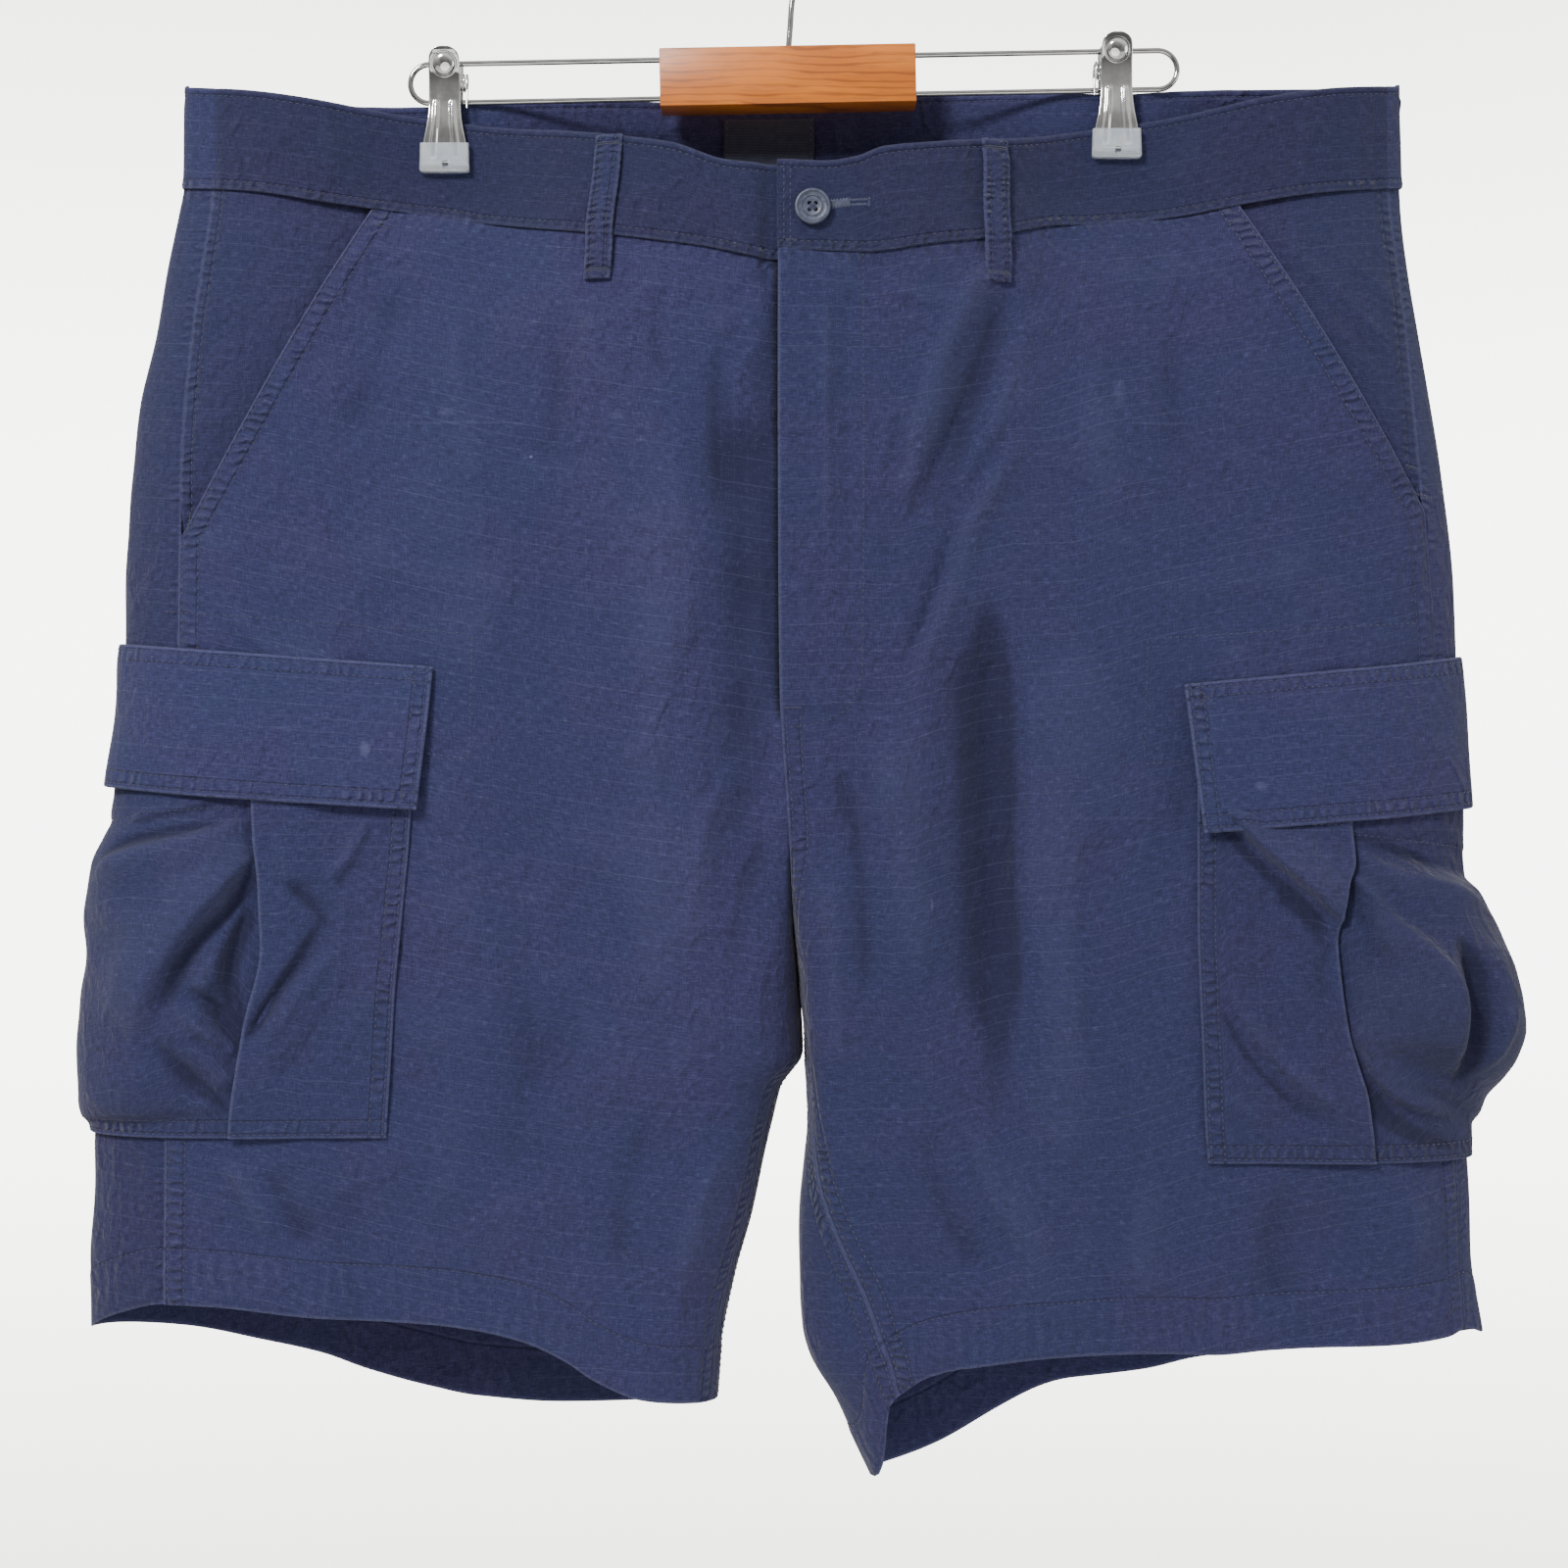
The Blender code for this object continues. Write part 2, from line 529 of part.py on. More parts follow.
def outward(points, hint):
    """Unit normals of a grid of points, on the side that the hint points to."""
    across = np.gradient(points, axis=1)
    down = np.gradient(points, axis=0)
    normal = np.cross(across, down)
    normal /= np.linalg.norm(normal, axis=-1, keepdims=True) + 1e-12
    if np.sum(normal * hint) < 0.0:
        normal = -normal
    return normal


def past_fold(leg, past, level):
    """A point at a distance past the inner fold: on the back before it, on the front after."""
    width = abs(leg.at("outer", MIDDLE_Z))
    on_back = form_point(leg, "back", 1.0 + np.minimum(past, 0.0) / width, level)
    on_front = form_point(leg, "front", 1.0 - np.maximum(past, 0.0) / width, level)
    return np.where(past[..., None] < 0.0, on_back, on_front)


# ---------------------------------------------------------------- solids from grids

def material(name, colour, roughness, metallic=0.0):
    made = bpy.data.materials.get(name)
    if made:
        return made
    made = bpy.data.materials.new(name)
    made.use_nodes = True
    shader = made.node_tree.nodes["Principled BSDF"]
    shader.inputs["Base Color"].default_value = (*colour, 1.0)
    shader.inputs["Roughness"].default_value = roughness
    shader.inputs["Metallic"].default_value = metallic
    made.diffuse_color = (*colour, 1.0)
    return made


def navy():
    return material("navy cotton", (0.018, 0.026, 0.075), 0.85)


def chrome():
    return material("chromed steel", (0.75, 0.75, 0.76), 0.15, 1.0)


def add_mesh(name, mesh, finish, smooth=True):
    made = bpy.data.objects.new(name, mesh)
    bpy.context.scene.collection.objects.link(made)
    mesh.materials.append(finish)
    if smooth:
        mesh.shade_smooth()
        mesh.set_sharp_from_angle(angle=math.radians(40.0))
    return made


def close_grid(name, outer, inner, finish):
    """A closed wall between two grids of points that are in millimetres."""
    rows, columns = outer.shape[:2]
    points = np.concatenate([outer.reshape(-1, 3), inner.reshape(-1, 3)]) * MM
    shift = rows * columns
    faces = []
    for row in range(rows - 1):
        for column in range(columns - 1):
            a = row * columns + column
            b = a + 1
            c = a + columns
            d = c + 1
            faces.append((a, c, d, b))
            faces.append((a + shift, b + shift, d + shift, c + shift))
    rim = list(range(columns))
    rim += [row * columns + columns - 1 for row in range(1, rows)]
    rim += [(rows - 1) * columns + column for column in range(columns - 2, -1, -1)]
    rim += [row * columns for row in range(rows - 2, 0, -1)]
    for start, end in zip(rim, rim[1:] + rim[:1]):
        faces.append((start, end, end + shift, start + shift))
    mesh = bpy.data.meshes.new(name)
    mesh.from_pydata(points.tolist(), [], faces)
    work = bmesh.new()
    work.from_mesh(mesh)
    if work.calc_volume(signed=True) < 0.0:
        bmesh.ops.reverse_faces(work, faces=work.faces)
    work.to_mesh(mesh)
    work.free()
    return add_mesh(name, mesh, finish)


def wall(name, points, hint, thickness, finish, lift=None):
    """A wall whose outer face lies on a fine grid of points, or lift above them."""
    hint = np.broadcast_to(hint, points.shape)
    normal = outward(points, hint)
    if lift is not None:
        points = points + normal * lift[..., None]
        normal = outward(points, hint)
    outer = points[::FINE, ::FINE]
    inner = (points - normal * thickness)[::FINE, ::FINE]
    return close_grid(name, outer, inner, finish)


def turned_solid(name, profile, sides, place, finish):
    """A closed solid turned from a profile of radius and height, set at a place."""
    work = bmesh.new()
    rings = []
    for radius, height in profile:
        if radius < 1e-6:
            rings.append([work.verts.new((0.0, 0.0, height * MM))])
            continue
        ring = []
        for side in range(sides):
            angle = 2.0 * math.pi * side / sides
            ring.append(work.verts.new((radius * MM * math.cos(angle),
                                        radius * MM * math.sin(angle), height * MM)))
        rings.append(ring)
    closed = rings[0][0] is not rings[-1][0] and len(rings[0]) > 1 and len(rings[-1]) > 1
    pairs = list(zip(rings, rings[1:]))
    if closed:
        pairs.append((rings[-1], rings[0]))
    for first, second in pairs:
        for side in range(sides):
            after = (side + 1) % sides
            if len(first) == 1:
                work.faces.new((first[0], second[side], second[after]))
            elif len(second) == 1:
                work.faces.new((first[side], second[0], first[after]))
            else:
                work.faces.new((first[side], second[side], second[after], first[after]))
    bmesh.ops.recalc_face_normals(work, faces=work.faces)
    if work.calc_volume(signed=True) < 0.0:
        bmesh.ops.reverse_faces(work, faces=work.faces)
    work.transform(place)
    mesh = bpy.data.meshes.new(name)
    work.to_mesh(mesh)
    work.free()
    return add_mesh(name, mesh, finish)


def wire(name, path, radius, finish):
    """A round wire along a path of points in millimetres."""
    curve = bpy.data.curves.new(name, "CURVE")
    curve.dimensions = "3D"
    curve.bevel_depth = radius * MM
    curve.bevel_resolution = 2
    curve.use_fill_caps = True
    spline = curve.splines.new("POLY")
    spline.points.add(len(path) - 1)
    for point, at in zip(spline.points, path):
        point.co = (at[0] * MM, at[1] * MM, at[2] * MM, 1.0)
    made = bpy.data.objects.new(name, curve)
    bpy.context.scene.collection.objects.link(made)
    curve.materials.append(finish)
    return made


# ---------------------------------------------------------------- panels

def make_front(leg):
    level = fine_levels()
    start = slant_share(leg, level)
    end = seam_share(leg, "inseam", level)
    width = abs(leg.at("outer", MIDDLE_Z))
    start = start + EDGE / width
    end = end - EDGE / width * (level > CROTCH_LEVEL)
    across = crowded(FRONT_CELLS)
    share = start[:, None] + (end - start)[:, None] * across[None, :]
    points = form_point(leg, "front", share, level[:, None])
    (x_top, z_top), (x_end, z_end) = SLANT[leg.side]
    down = np.clip((points[..., 2] - z_top) / (z_end - z_top), 0.0, 1.0)
    from_edge = (points[..., 0] - x_top - (x_end - x_top) * down) * leg.inward
    gape = SLANT_GAPE[leg.side] * np.sin(math.pi * down) * np.exp(-np.abs(from_edge) / 20.0)
    wall("front_" + leg.side, points, (0.0, -1.0, 0.0), CLOTH, navy(), gape)


def make_back(leg):
    """A back: from the side seam round the outer fold, over the back, round the inner fold."""
    level = fine_levels()[:, None]
    width = abs(leg.at("outer", MIDDLE_Z))
    side = seam_share(leg, "side_seam", level) - EDGE / width
    inseam = seam_share(leg, "inseam", level)
    past_end = np.where(level > CROTCH_LEVEL, (1.0 - inseam) * width - EDGE, 0.0)
    past_start = np.minimum(0.0, past_end - BACK_INNER_STRIP)

    turn = 1.0 - np.cos(math.pi / 2.0 * (1.0 - fine_steps(BACK_SIDE_CELLS)[None, :]))
    side_part = form_point(leg, "front", side * turn, level)
    across = 0.5 - 0.5 * np.cos(math.pi * fine_steps(BACK_CELLS)[None, :])
    back_part = form_point(leg, "back", (1.0 + past_start / width) * across, level)
    turn = 1.0 - np.cos(math.pi / 2.0 * fine_steps(BACK_INNER_CELLS)[None, :])
    inner_part = past_fold(leg, past_start + (past_end - past_start) * turn, level)
    points = np.concatenate([side_part, back_part[:, 1:], inner_part[:, 1:]], axis=1)
    middle = np.array([0.5 * leg.at("outer", MIDDLE_Z), 0.0, 0.0])
    wall("back_" + leg.side, points, (points - middle) * (0.0, 1.0, 0.0), CLOTH, navy())


def make_facing(leg):
    """The pocket facing that shows between the side seam and the slanted edge."""
    (x_top, z_top), (x_end, z_end) = SLANT[leg.side]
    across = fine_steps(4)[None, :]
    down = fine_steps(8)[:, None]
    x_seam = leg.at("side_seam", CORNER_Z) + EDGE * leg.inward
    top = edge_height(leg.seam_front, x_seam * (1.0 - across)
                      + (x_top + SLANT_UNDER * leg.inward) * across)
    z = top * (1.0 - down) + (z_end - 1.0) * down
    seam_x = leg.at("side_seam", z) + EDGE * leg.inward
    slope = np.clip((z - z_top) / (z_end - z_top), 0.0, 1.0)
    slant_x = x_top + (x_end - x_top) * slope
    x = seam_x * (1.0 - across) + (slant_x + SLANT_UNDER * leg.inward) * across
    points = np.stack([x, -depth_at(leg, "front", x, z), z + 0.0 * x], axis=-1)
    open_width = (slant_x - seam_x) * leg.inward
    spare = np.maximum(0.0, 10.0 - open_width)
    reached = ((x - seam_x) * leg.inward + spare) / (open_width - 1.0 + spare)
    wall("facing_" + leg.side, points, (0.0, -1.0, 0.0), CLOTH, navy(),
         -SLANT_SINK * ease(reached))


# ---------------------------------------------------------------- waistband

def band_points(leg, face, x, down):
    if face == "front":
        top_table = BAND_TOP_RIGHT if leg.side == "right" else BAND_TOP_LEFT
        top = edge_height(top_table, x)
        bottom = edge_height(leg.seam_front, x) + WAIST_GAP
    else:
        top = edge_height(BAND_TOP_BACK, x)
        outer = leg.at("outer", CORNER_Z)
        share = (x - outer) / (BACK_CENTRE_X - outer)
        bottom = height_at(leg, "back", np.clip(share, 0.0, 1.0), 0.0) + WAIST_GAP
    z = top * (1.0 - down) + bottom * down
    depth = depth_at(leg, face, x, z)
    return np.stack([x + 0.0 * z, -depth if face == "front" else depth, z], axis=-1)


def make_front_bands():
    down = fine_steps(3)[:, None]
    hint = (0.0, -1.0, 0.0)
    start = RIGHT.at("side_seam", BAND_Z) + EDGE
    steps = fine_steps(15) * 15.0
    x = np.interp(steps, (0.0, 11.0, 12.0, 15.0), (start, -17.0, -7.0, 44.0))[None, :]
    points = band_points(RIGHT, "front", x, down)
    under = -(BAND_CLOTH + 1.0) * ease((x + 17.0) / 10.0) * np.ones_like(down)
    wall("waistband_front_right", points, hint, BAND_CLOTH, navy(), under)
    across = crowded(14, 0.03)[None, :]
    end = LEFT.at("side_seam", BAND_Z) - EDGE
    x = -4.7 + (end + 4.7) * across
    points = band_points(LEFT, "front", x, down)
    wall("waistband_front_left", points, hint, BAND_CLOTH, navy())


def make_back_band(leg):
    """Half of the waistband's back, from a side seam round the outer fold to the seam."""
    down = fine_steps(3)[:, None]
    outer = leg.at("outer", BAND_Z)
    seam = leg.at("side_seam", BAND_Z) - EDGE * leg.inward
    end = BAND_SEAM_X - EDGE * leg.inward
    turn = 1.0 - np.cos(np.linspace(math.pi / 2.0, 0.0, 2 * FINE + 1))
    front_x = outer + (seam - outer) * turn[None, :]
    half = fine_steps(18)
    share = half + 0.12 * (np.cos(math.pi * half) - 1.0 + 2.0 * half)
    share = np.clip(share - 0.26 * np.sin(math.pi * half) * (1.0 - half), 0.0, 1.0)
    back_x = outer + (end - outer) * share[None, :]
    front_part = band_points(leg, "front", front_x, down)
    back_part = band_points(leg, "back", back_x, down)
    points = np.concatenate([front_part[:, :-1], back_part], axis=1)
    hint = points * (0.0, 1.0, 0.0)
    wall("waistband_back_" + leg.side, points, hint, BAND_CLOTH, navy())


# ---------------------------------------------------------------- pieces laid on the form

def around(leg, along, z):
    """A point at a distance along the cloth from the outer fold, and at a height."""
    angle = np.clip(np.abs(along) / WRAP, 0.0, 1.0) * math.pi / 2.0
    flat = np.maximum(np.abs(along) - WRAP, 0.0)
    from_outer = OUTER_ROUND * (1.0 - np.cos(angle)) + flat
    x = leg.at("outer", z) + leg.inward * from_outer
    front = depth_at(leg, "front", x, z)
    back = depth_at(leg, "back", x, z)
    return np.stack([x, np.where(along >= 0.0, -front, back), z + 0.0 * x], axis=-1)


def ring_hint(leg, points):
    middle = np.array([0.5 * leg.at("outer", MIDDLE_Z), 0.0, 0.0])
    return (points - middle) * (0.2, 1.0, 0.0)


def make_pocket(leg):
    side = leg.side
    top, bottom = POCKET_TOP[side], POCKET_BOTTOM[side]
    least = LAID_ON + CLOTH
    over_bellows = least + SEAM_GAP + CLOTH + 0.6
    down = fine_steps(10)[:, None]
    z = top + (bottom - top) * down
    pleat = read(PLEATS[side], PLEAT_COLUMNS, "pleat", z)
    bulge = read(PLEATS[side], PLEAT_COLUMNS, "bulge", z)
    open_low = ease((z - bottom) / 26.0)
    open_top = ease((top - z - 14.0) / 30.0)

    across = fine_steps(5)[None, :]
    along = POCKET_FRONT_EDGE[side] + (pleat - POCKET_FRONT_EDGE[side]) * across
    rise = ease((across - 0.42) / 0.4)
    lift = least + (over_bellows - least) * rise
    lift = lift + (PLEAT_LIFT - over_bellows) * rise * open_low * open_top
    points = around(leg, along, z)
    wall("cargo_pocket_" + side, points, ring_hint(leg, points), CLOTH, navy(), lift)

    across = crowded(12, 0.05)[None, :]
    start = pleat + PLEAT_UNDER
    along = start + (POCKET_BACK_EDGE[side] - start) * across
    behind = pleat - along
    from_back = along - POCKET_BACK_EDGE[side]
    fullness = ease((behind + 2.0) / 30.0) * ease(from_back / 50.0)
    front_puff = 1.0 + 0.4 * np.exp(-((behind - 44.0) / 24.0) ** 2)
    lift = least + bulge * fullness * front_puff + POCKET_FOLD_HEIGHT * pocket_folds(
        side, along, z) * fullness * open_low * open_top
    points = around(leg, along, z)
    wall("cargo_bellows_" + side, points, ring_hint(leg, points), CLOTH, navy(), lift)


def pocket_folds(side, along, z):
    return relief([row + (1.0,) for row in POCKET_FOLDS[side]], along, z)


def make_flap(leg):
    side = leg.side
    rows = FLAPS[side]
    front, back = rows[0][0], rows[-1][0]
    across = fine_steps(16)[None, :]
    down = fine_steps(4)[:, None]
    along = front + (back - front) * across
    top = read(rows, FLAP_COLUMNS, "top", along)
    bottom = read(rows, FLAP_COLUMNS, "bottom", along)
    z = top + (bottom - top) * down
    along = along + FLAP_FLARE[side] * down * np.clip(along / front, 0.0, 1.0)
    least = LAID_ON + FLAP_CLOTH
    lift = least + (FLAP_LIFT - least) * down ** 0.8 + 0.0 * along
    points = around(leg, along, z)
    wall("cargo_flap_" + side, points, ring_hint(leg, points), FLAP_CLOTH, navy(), lift)


def make_loop(name, face, x_top, x_bottom, z_top, length):
    across = fine_steps(2)[None, :] - 0.5
    down = fine_steps(8)[:, None]
    leg = RIGHT if x_top < 0.0 else LEFT
    x = x_top + (x_bottom - x_top) * down + LOOP_WIDTH * across
    z = z_top - length * down + 0.0 * x
    depth = depth_at(leg, face, x, z)
    points = np.stack([x, -depth if face == "front" else depth, z], axis=-1)
    least = LAID_ON + LOOP_CLOTH
    lift = least + (LOOP_LIFT - least) * ease(down / 0.2) * ease((1.0 - down) / 0.2)
    hint = (0.0, -1.0 if face == "front" else 1.0, 0.0)
    wall(name, points, hint, LOOP_CLOTH, navy(), lift + 0.0 * x)


def make_loops():
    for name, (x_top, x_bottom) in FRONT_LOOPS.items():
        table = BAND_TOP_RIGHT if x_top < 0.0 else BAND_TOP_LEFT
        z_top = float(edge_height(table, x_top)) - 0.6
        make_loop(name, "front", x_top, x_bottom, z_top, LOOP_LENGTH_FRONT)
    for name, x in BACK_LOOPS.items():
        z_top = float(edge_height(BAND_TOP_BACK, x)) - 0.6
        make_loop(name, "back", x, x, z_top, LOOP_LENGTH_BACK)


def make_label():
    across = fine_steps(4)[None, :]
    down = fine_steps(2)[:, None]
    x = LABEL_X[0] + (LABEL_X[1] - LABEL_X[0]) * across
    top = edge_height(BAND_TOP_BACK, x) - LABEL_DROP[0]
    z = top - (LABEL_DROP[1] - LABEL_DROP[0]) * down
    x = x + 0.0 * z
    points = np.stack([x, depth_at(RIGHT, "back", x, z), z], axis=-1)
    sink = -(BAND_CLOTH + SEAM_GAP + 0.2) * np.ones_like(x)
    charcoal = material("charcoal label", (0.035, 0.036, 0.042), 0.9)
    wall("inner_label", points, (0.0, 1.0, 0.0), LABEL_CLOTH, charcoal, sink)


def make_button():
    x, z = BUTTON_AT
    depth = float(depth_at(LEFT, "front", x, z))
    below = float(depth_at(LEFT, "front", x, z - 8.0))
    above = float(depth_at(LEFT, "front", x, z + 8.0))
    lean = math.atan2(above - below, 16.0)
    profile = ((0.0, 0.0), (7.6, 0.0), (BUTTON_RADIUS, 0.8), (BUTTON_RADIUS, 1.9),
               (7.2, BUTTON_THICK), (5.6, BUTTON_THICK), (4.6, 2.0), (0.0, 1.9))
    place = (Matrix.Translation(Vector((x, -depth - 0.7, z)) * MM)
             @ Matrix.Rotation(math.radians(90.0) + lean, 4, "X"))
    blue_grey = material("button plastic", (0.055, 0.062, 0.09), 0.45)
    turned_solid("waist_button", profile, 24, place, blue_grey)


# ---------------------------------------------------------------- hanger

def hanger_point(x, z_off):
    """A point on the tilted hanger from X and the distance above the loops' middle."""
    return (x - z_off * math.sin(TILT), 0.0, ROD_MIDDLE_Z + x * math.tan(TILT) + z_off)


def make_block():
    bpy.ops.mesh.primitive_cube_add(size=MM)
    block = bpy.context.active_object
    block.name = "hanger_block"
    for vertex in block.data.vertices:
        vertex.co = [part * size for part, size in zip(vertex.co, BLOCK_SIZE)]
    block.location = Vector(BLOCK_CENTRE) * MM
    block.rotation_euler = (0.0, -TILT, 0.0)
    bevel = block.modifiers.new("worn edges", "BEVEL")
    bevel.width = BLOCK_BEVEL * MM
    bevel.segments = 2
    block.data.materials.append(material("varnished wood", (0.36, 0.13, 0.035), 0.4))


def make_wire_loops():
    for side, way in (("right", -1.0), ("left", 1.0)):
        half = BLOCK_SIZE[0] / 2.0 + SEAM_GAP + 0.25
        near = BLOCK_CENTRE[0] + way * half
        bend = LOOP_END_X[side] - way * ROD_HALF_GAP
        path = [hanger_point(near, ROD_HALF_GAP)]
        for step in range(13):
            turn = math.pi * step / 12.0
            path.append(hanger_point(bend + way * ROD_HALF_GAP * math.sin(turn),
                                     ROD_HALF_GAP * math.cos(turn)))
        path.append(hanger_point(near, -ROD_HALF_GAP))
        wire("hanger_wire_" + side, path, WIRE_RADIUS, chrome())


def make_hook():
    """The stem and bend: out to +X, over the top through the origin and down at -X."""
    bend = HOOK_RADIUS + HOOK_WIRE
    centre = Vector((0.0, 0.0, HOOK_RISE - HOOK_RADIUS))
    block_top = BLOCK_CENTRE[2] + BLOCK_SIZE[2] / 2.0 + SEAM_GAP + 0.1
    foot = Vector((-0.4, 0.0, block_top))
    neck = foot + HOOK_STEM * Vector((math.sin(HOOK_LEAN), 0.0, math.cos(HOOK_LEAN)))
    first = centre + bend * Vector((math.cos(HOOK_START), 0.0, math.sin(HOOK_START)))
    heading = Vector((-math.sin(HOOK_START), 0.0, math.cos(HOOK_START)))
    low = neck + (neck - foot).normalized() * HOOK_SWEEP
    high = first - heading * HOOK_SWEEP
    path = [foot, foot.lerp(neck, 0.5)]
    for step in range(8):
        share = step / 8.0
        keep = 1.0 - share
        path.append(neck * keep ** 3 + low * 3.0 * keep ** 2 * share
                    + high * 3.0 * keep * share ** 2 + first * share ** 3)
    for step in range(21):
        angle = HOOK_START + (HOOK_END - HOOK_START) * step / 20.0
        path.append(centre + bend * Vector((math.cos(angle), 0.0, math.sin(angle))))
    wire("hanger_hook", path, HOOK_WIRE, chrome())


def make_jaw(name, x_middle, z_top, way):
    """A stamped jaw: way is -1 for the front one and 1 for the back one."""
    drop, half, stand, flange = [column_of(JAW, JAW_COLUMNS, wanted)[:, None]
                                 for wanted in JAW_COLUMNS]
    across = np.array([-1.0, -1.0, -0.5, 0.0, 0.5, 1.0, 1.0])[None, :]
    turned_in = np.array([1.0, 0.0, 0.0, 0.0, 0.0, 0.0, 1.0])[None, :]
    x = x_middle + half * across
    y = way * (stand - flange * turned_in)
    z = z_top - drop + 0.0 * across
    inner = np.stack([x, y + 0.0 * x, z + 0.0 * x], axis=-1)
    out = np.stack([across * turned_in + 0.0 * x,
                    way * (1.0 - turned_in) + 0.0 * x, 0.0 * x], axis=-1)
    corner = np.array([0.0, 1.0, 0.0, 0.0, 0.0, 1.0, 0.0])[None, :, None]
    side_push = np.stack([across + 0.0 * x, 0.0 * x, 0.0 * x], axis=-1)
    outer = inner + JAW_METAL * (out + corner * side_push)
    close_grid(name, outer, inner, chrome())


def make_pad(name, x_middle, z_top, way):
    profile = ((PAD_STAND, PAD_TOP_DROP), (PAD_STEP, PAD_TOP_DROP), (PAD_STEP, PAD_STEP_DROP),
               (PAD_FRONT, PAD_STEP_DROP), (PAD_FRONT, PAD_BOTTOM_DROP),
               (PAD_STAND, PAD_BOTTOM_DROP))
    work = bmesh.new()
    ends = []
    for edge in (-1.0, 1.0):
        ends.append([work.verts.new(((x_middle + edge * PAD_WIDTH / 2.0) * MM,
                                     way * stand * MM, (z_top - drop) * MM))
                     for stand, drop in profile])
    first, second = ends
    count = len(profile)
    work.faces.new(first)
    work.faces.new(second)
    for corner in range(count):
        after = (corner + 1) % count
        work.faces.new((first[corner], first[after], second[after], second[corner]))
    bmesh.ops.recalc_face_normals(work, faces=work.faces)
    mesh = bpy.data.meshes.new(name)
    work.to_mesh(mesh)
    work.free()
    add_mesh(name, mesh, material("clear plastic", (0.8, 0.82, 0.84), 0.25), smooth=False)


def make_cap(name, x_middle, z_top, way):
    """The pressed dome on a jaw's head, standing off the leaning plate."""
    above = read(JAW, JAW_COLUMNS, "stand", CAP_DROP)
    below = read(JAW, JAW_COLUMNS, "stand", CAP_DROP + CAP_RADIUS)
    lean = math.atan2(above - below, CAP_RADIUS)
    stand = float(above) + JAW_METAL + SEAM_GAP + 0.1
    profile = ((0.0, 0.0), (CAP_RADIUS, 0.0), (5.8, 0.7), (4.4, 1.6), (2.4, 2.2), (0.0, 2.4))
    at = Vector((x_middle, way * stand, z_top - CAP_DROP)) * MM
    turn = Matrix.Rotation(-way * (math.radians(90.0) + lean), 4, "X")
    turned_solid(name, profile, 16, Matrix.Translation(at) @ turn, chrome())


def make_sleeve(name, x_middle):
    """The spring sleeve between the two jaws, and between the two rods."""
    at = Vector(hanger_point(x_middle, 0.0)) * MM
    half = SLEEVE_LENGTH / 2.0
    profile = ((SLEEVE_BORE, -half), (SLEEVE_RADIUS, -half), (SLEEVE_RADIUS, half),
               (SLEEVE_BORE, half))
    turn = Matrix.Rotation(-TILT, 4, "Y") @ Matrix.Rotation(math.radians(90.0), 4, "Y")
    turned_solid(name, profile, 16, Matrix.Translation(at) @ turn, chrome())


def make_clips():
    for side, (x_middle, z_top) in CLIPS.items():
        for face, way in (("front", -1.0), ("back", 1.0)):
            start = "clip_" + side + "_" + face
            make_jaw(start + "_jaw", x_middle, z_top, way)
            make_pad(start + "_pad", x_middle, z_top, way)
            make_cap(start + "_cap", x_middle, z_top, way)
        make_sleeve("clip_" + side + "_sleeve", x_middle)


def clear_scene():
    for thing in list(bpy.data.objects):
        bpy.data.objects.remove(thing, do_unlink=True)


def hang_from_origin():
    """Lower every piece so that the hook's inside top comes to the origin."""
    for piece in bpy.data.objects:
        piece.location.z -= HOOK_RISE * MM


def main():
    clear_scene()
    for leg in LEGS:
        make_front(leg)
        make_back(leg)
        make_facing(leg)
        make_pocket(leg)
        make_flap(leg)
        make_back_band(leg)
    make_front_bands()
    make_loops()
    make_label()
    make_button()
    make_block()
    make_wire_loops()
    make_hook()
    make_clips()
    hang_from_origin()


main()
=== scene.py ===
import math
import random

import bmesh
import bpy
import numpy as np
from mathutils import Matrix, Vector


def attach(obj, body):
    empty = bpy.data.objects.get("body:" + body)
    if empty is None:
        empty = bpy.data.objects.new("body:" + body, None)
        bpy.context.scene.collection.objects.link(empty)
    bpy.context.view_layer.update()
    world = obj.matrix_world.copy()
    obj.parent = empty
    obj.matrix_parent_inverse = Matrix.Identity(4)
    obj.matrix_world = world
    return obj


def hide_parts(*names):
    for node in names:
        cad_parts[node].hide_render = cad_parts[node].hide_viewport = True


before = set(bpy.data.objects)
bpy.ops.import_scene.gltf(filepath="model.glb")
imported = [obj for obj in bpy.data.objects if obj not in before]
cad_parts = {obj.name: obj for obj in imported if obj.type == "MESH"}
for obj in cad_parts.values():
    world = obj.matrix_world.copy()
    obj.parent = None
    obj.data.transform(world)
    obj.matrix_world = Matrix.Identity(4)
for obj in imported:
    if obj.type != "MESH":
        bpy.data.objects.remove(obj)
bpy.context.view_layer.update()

# sizes are in millimetres with heights counted from a level 20 below the hook's inside top
mm = 0.001
rise = 20.0
# half of the gap between two pieces that are sewn together
halfSeam = 0.15
print("frame loaded")

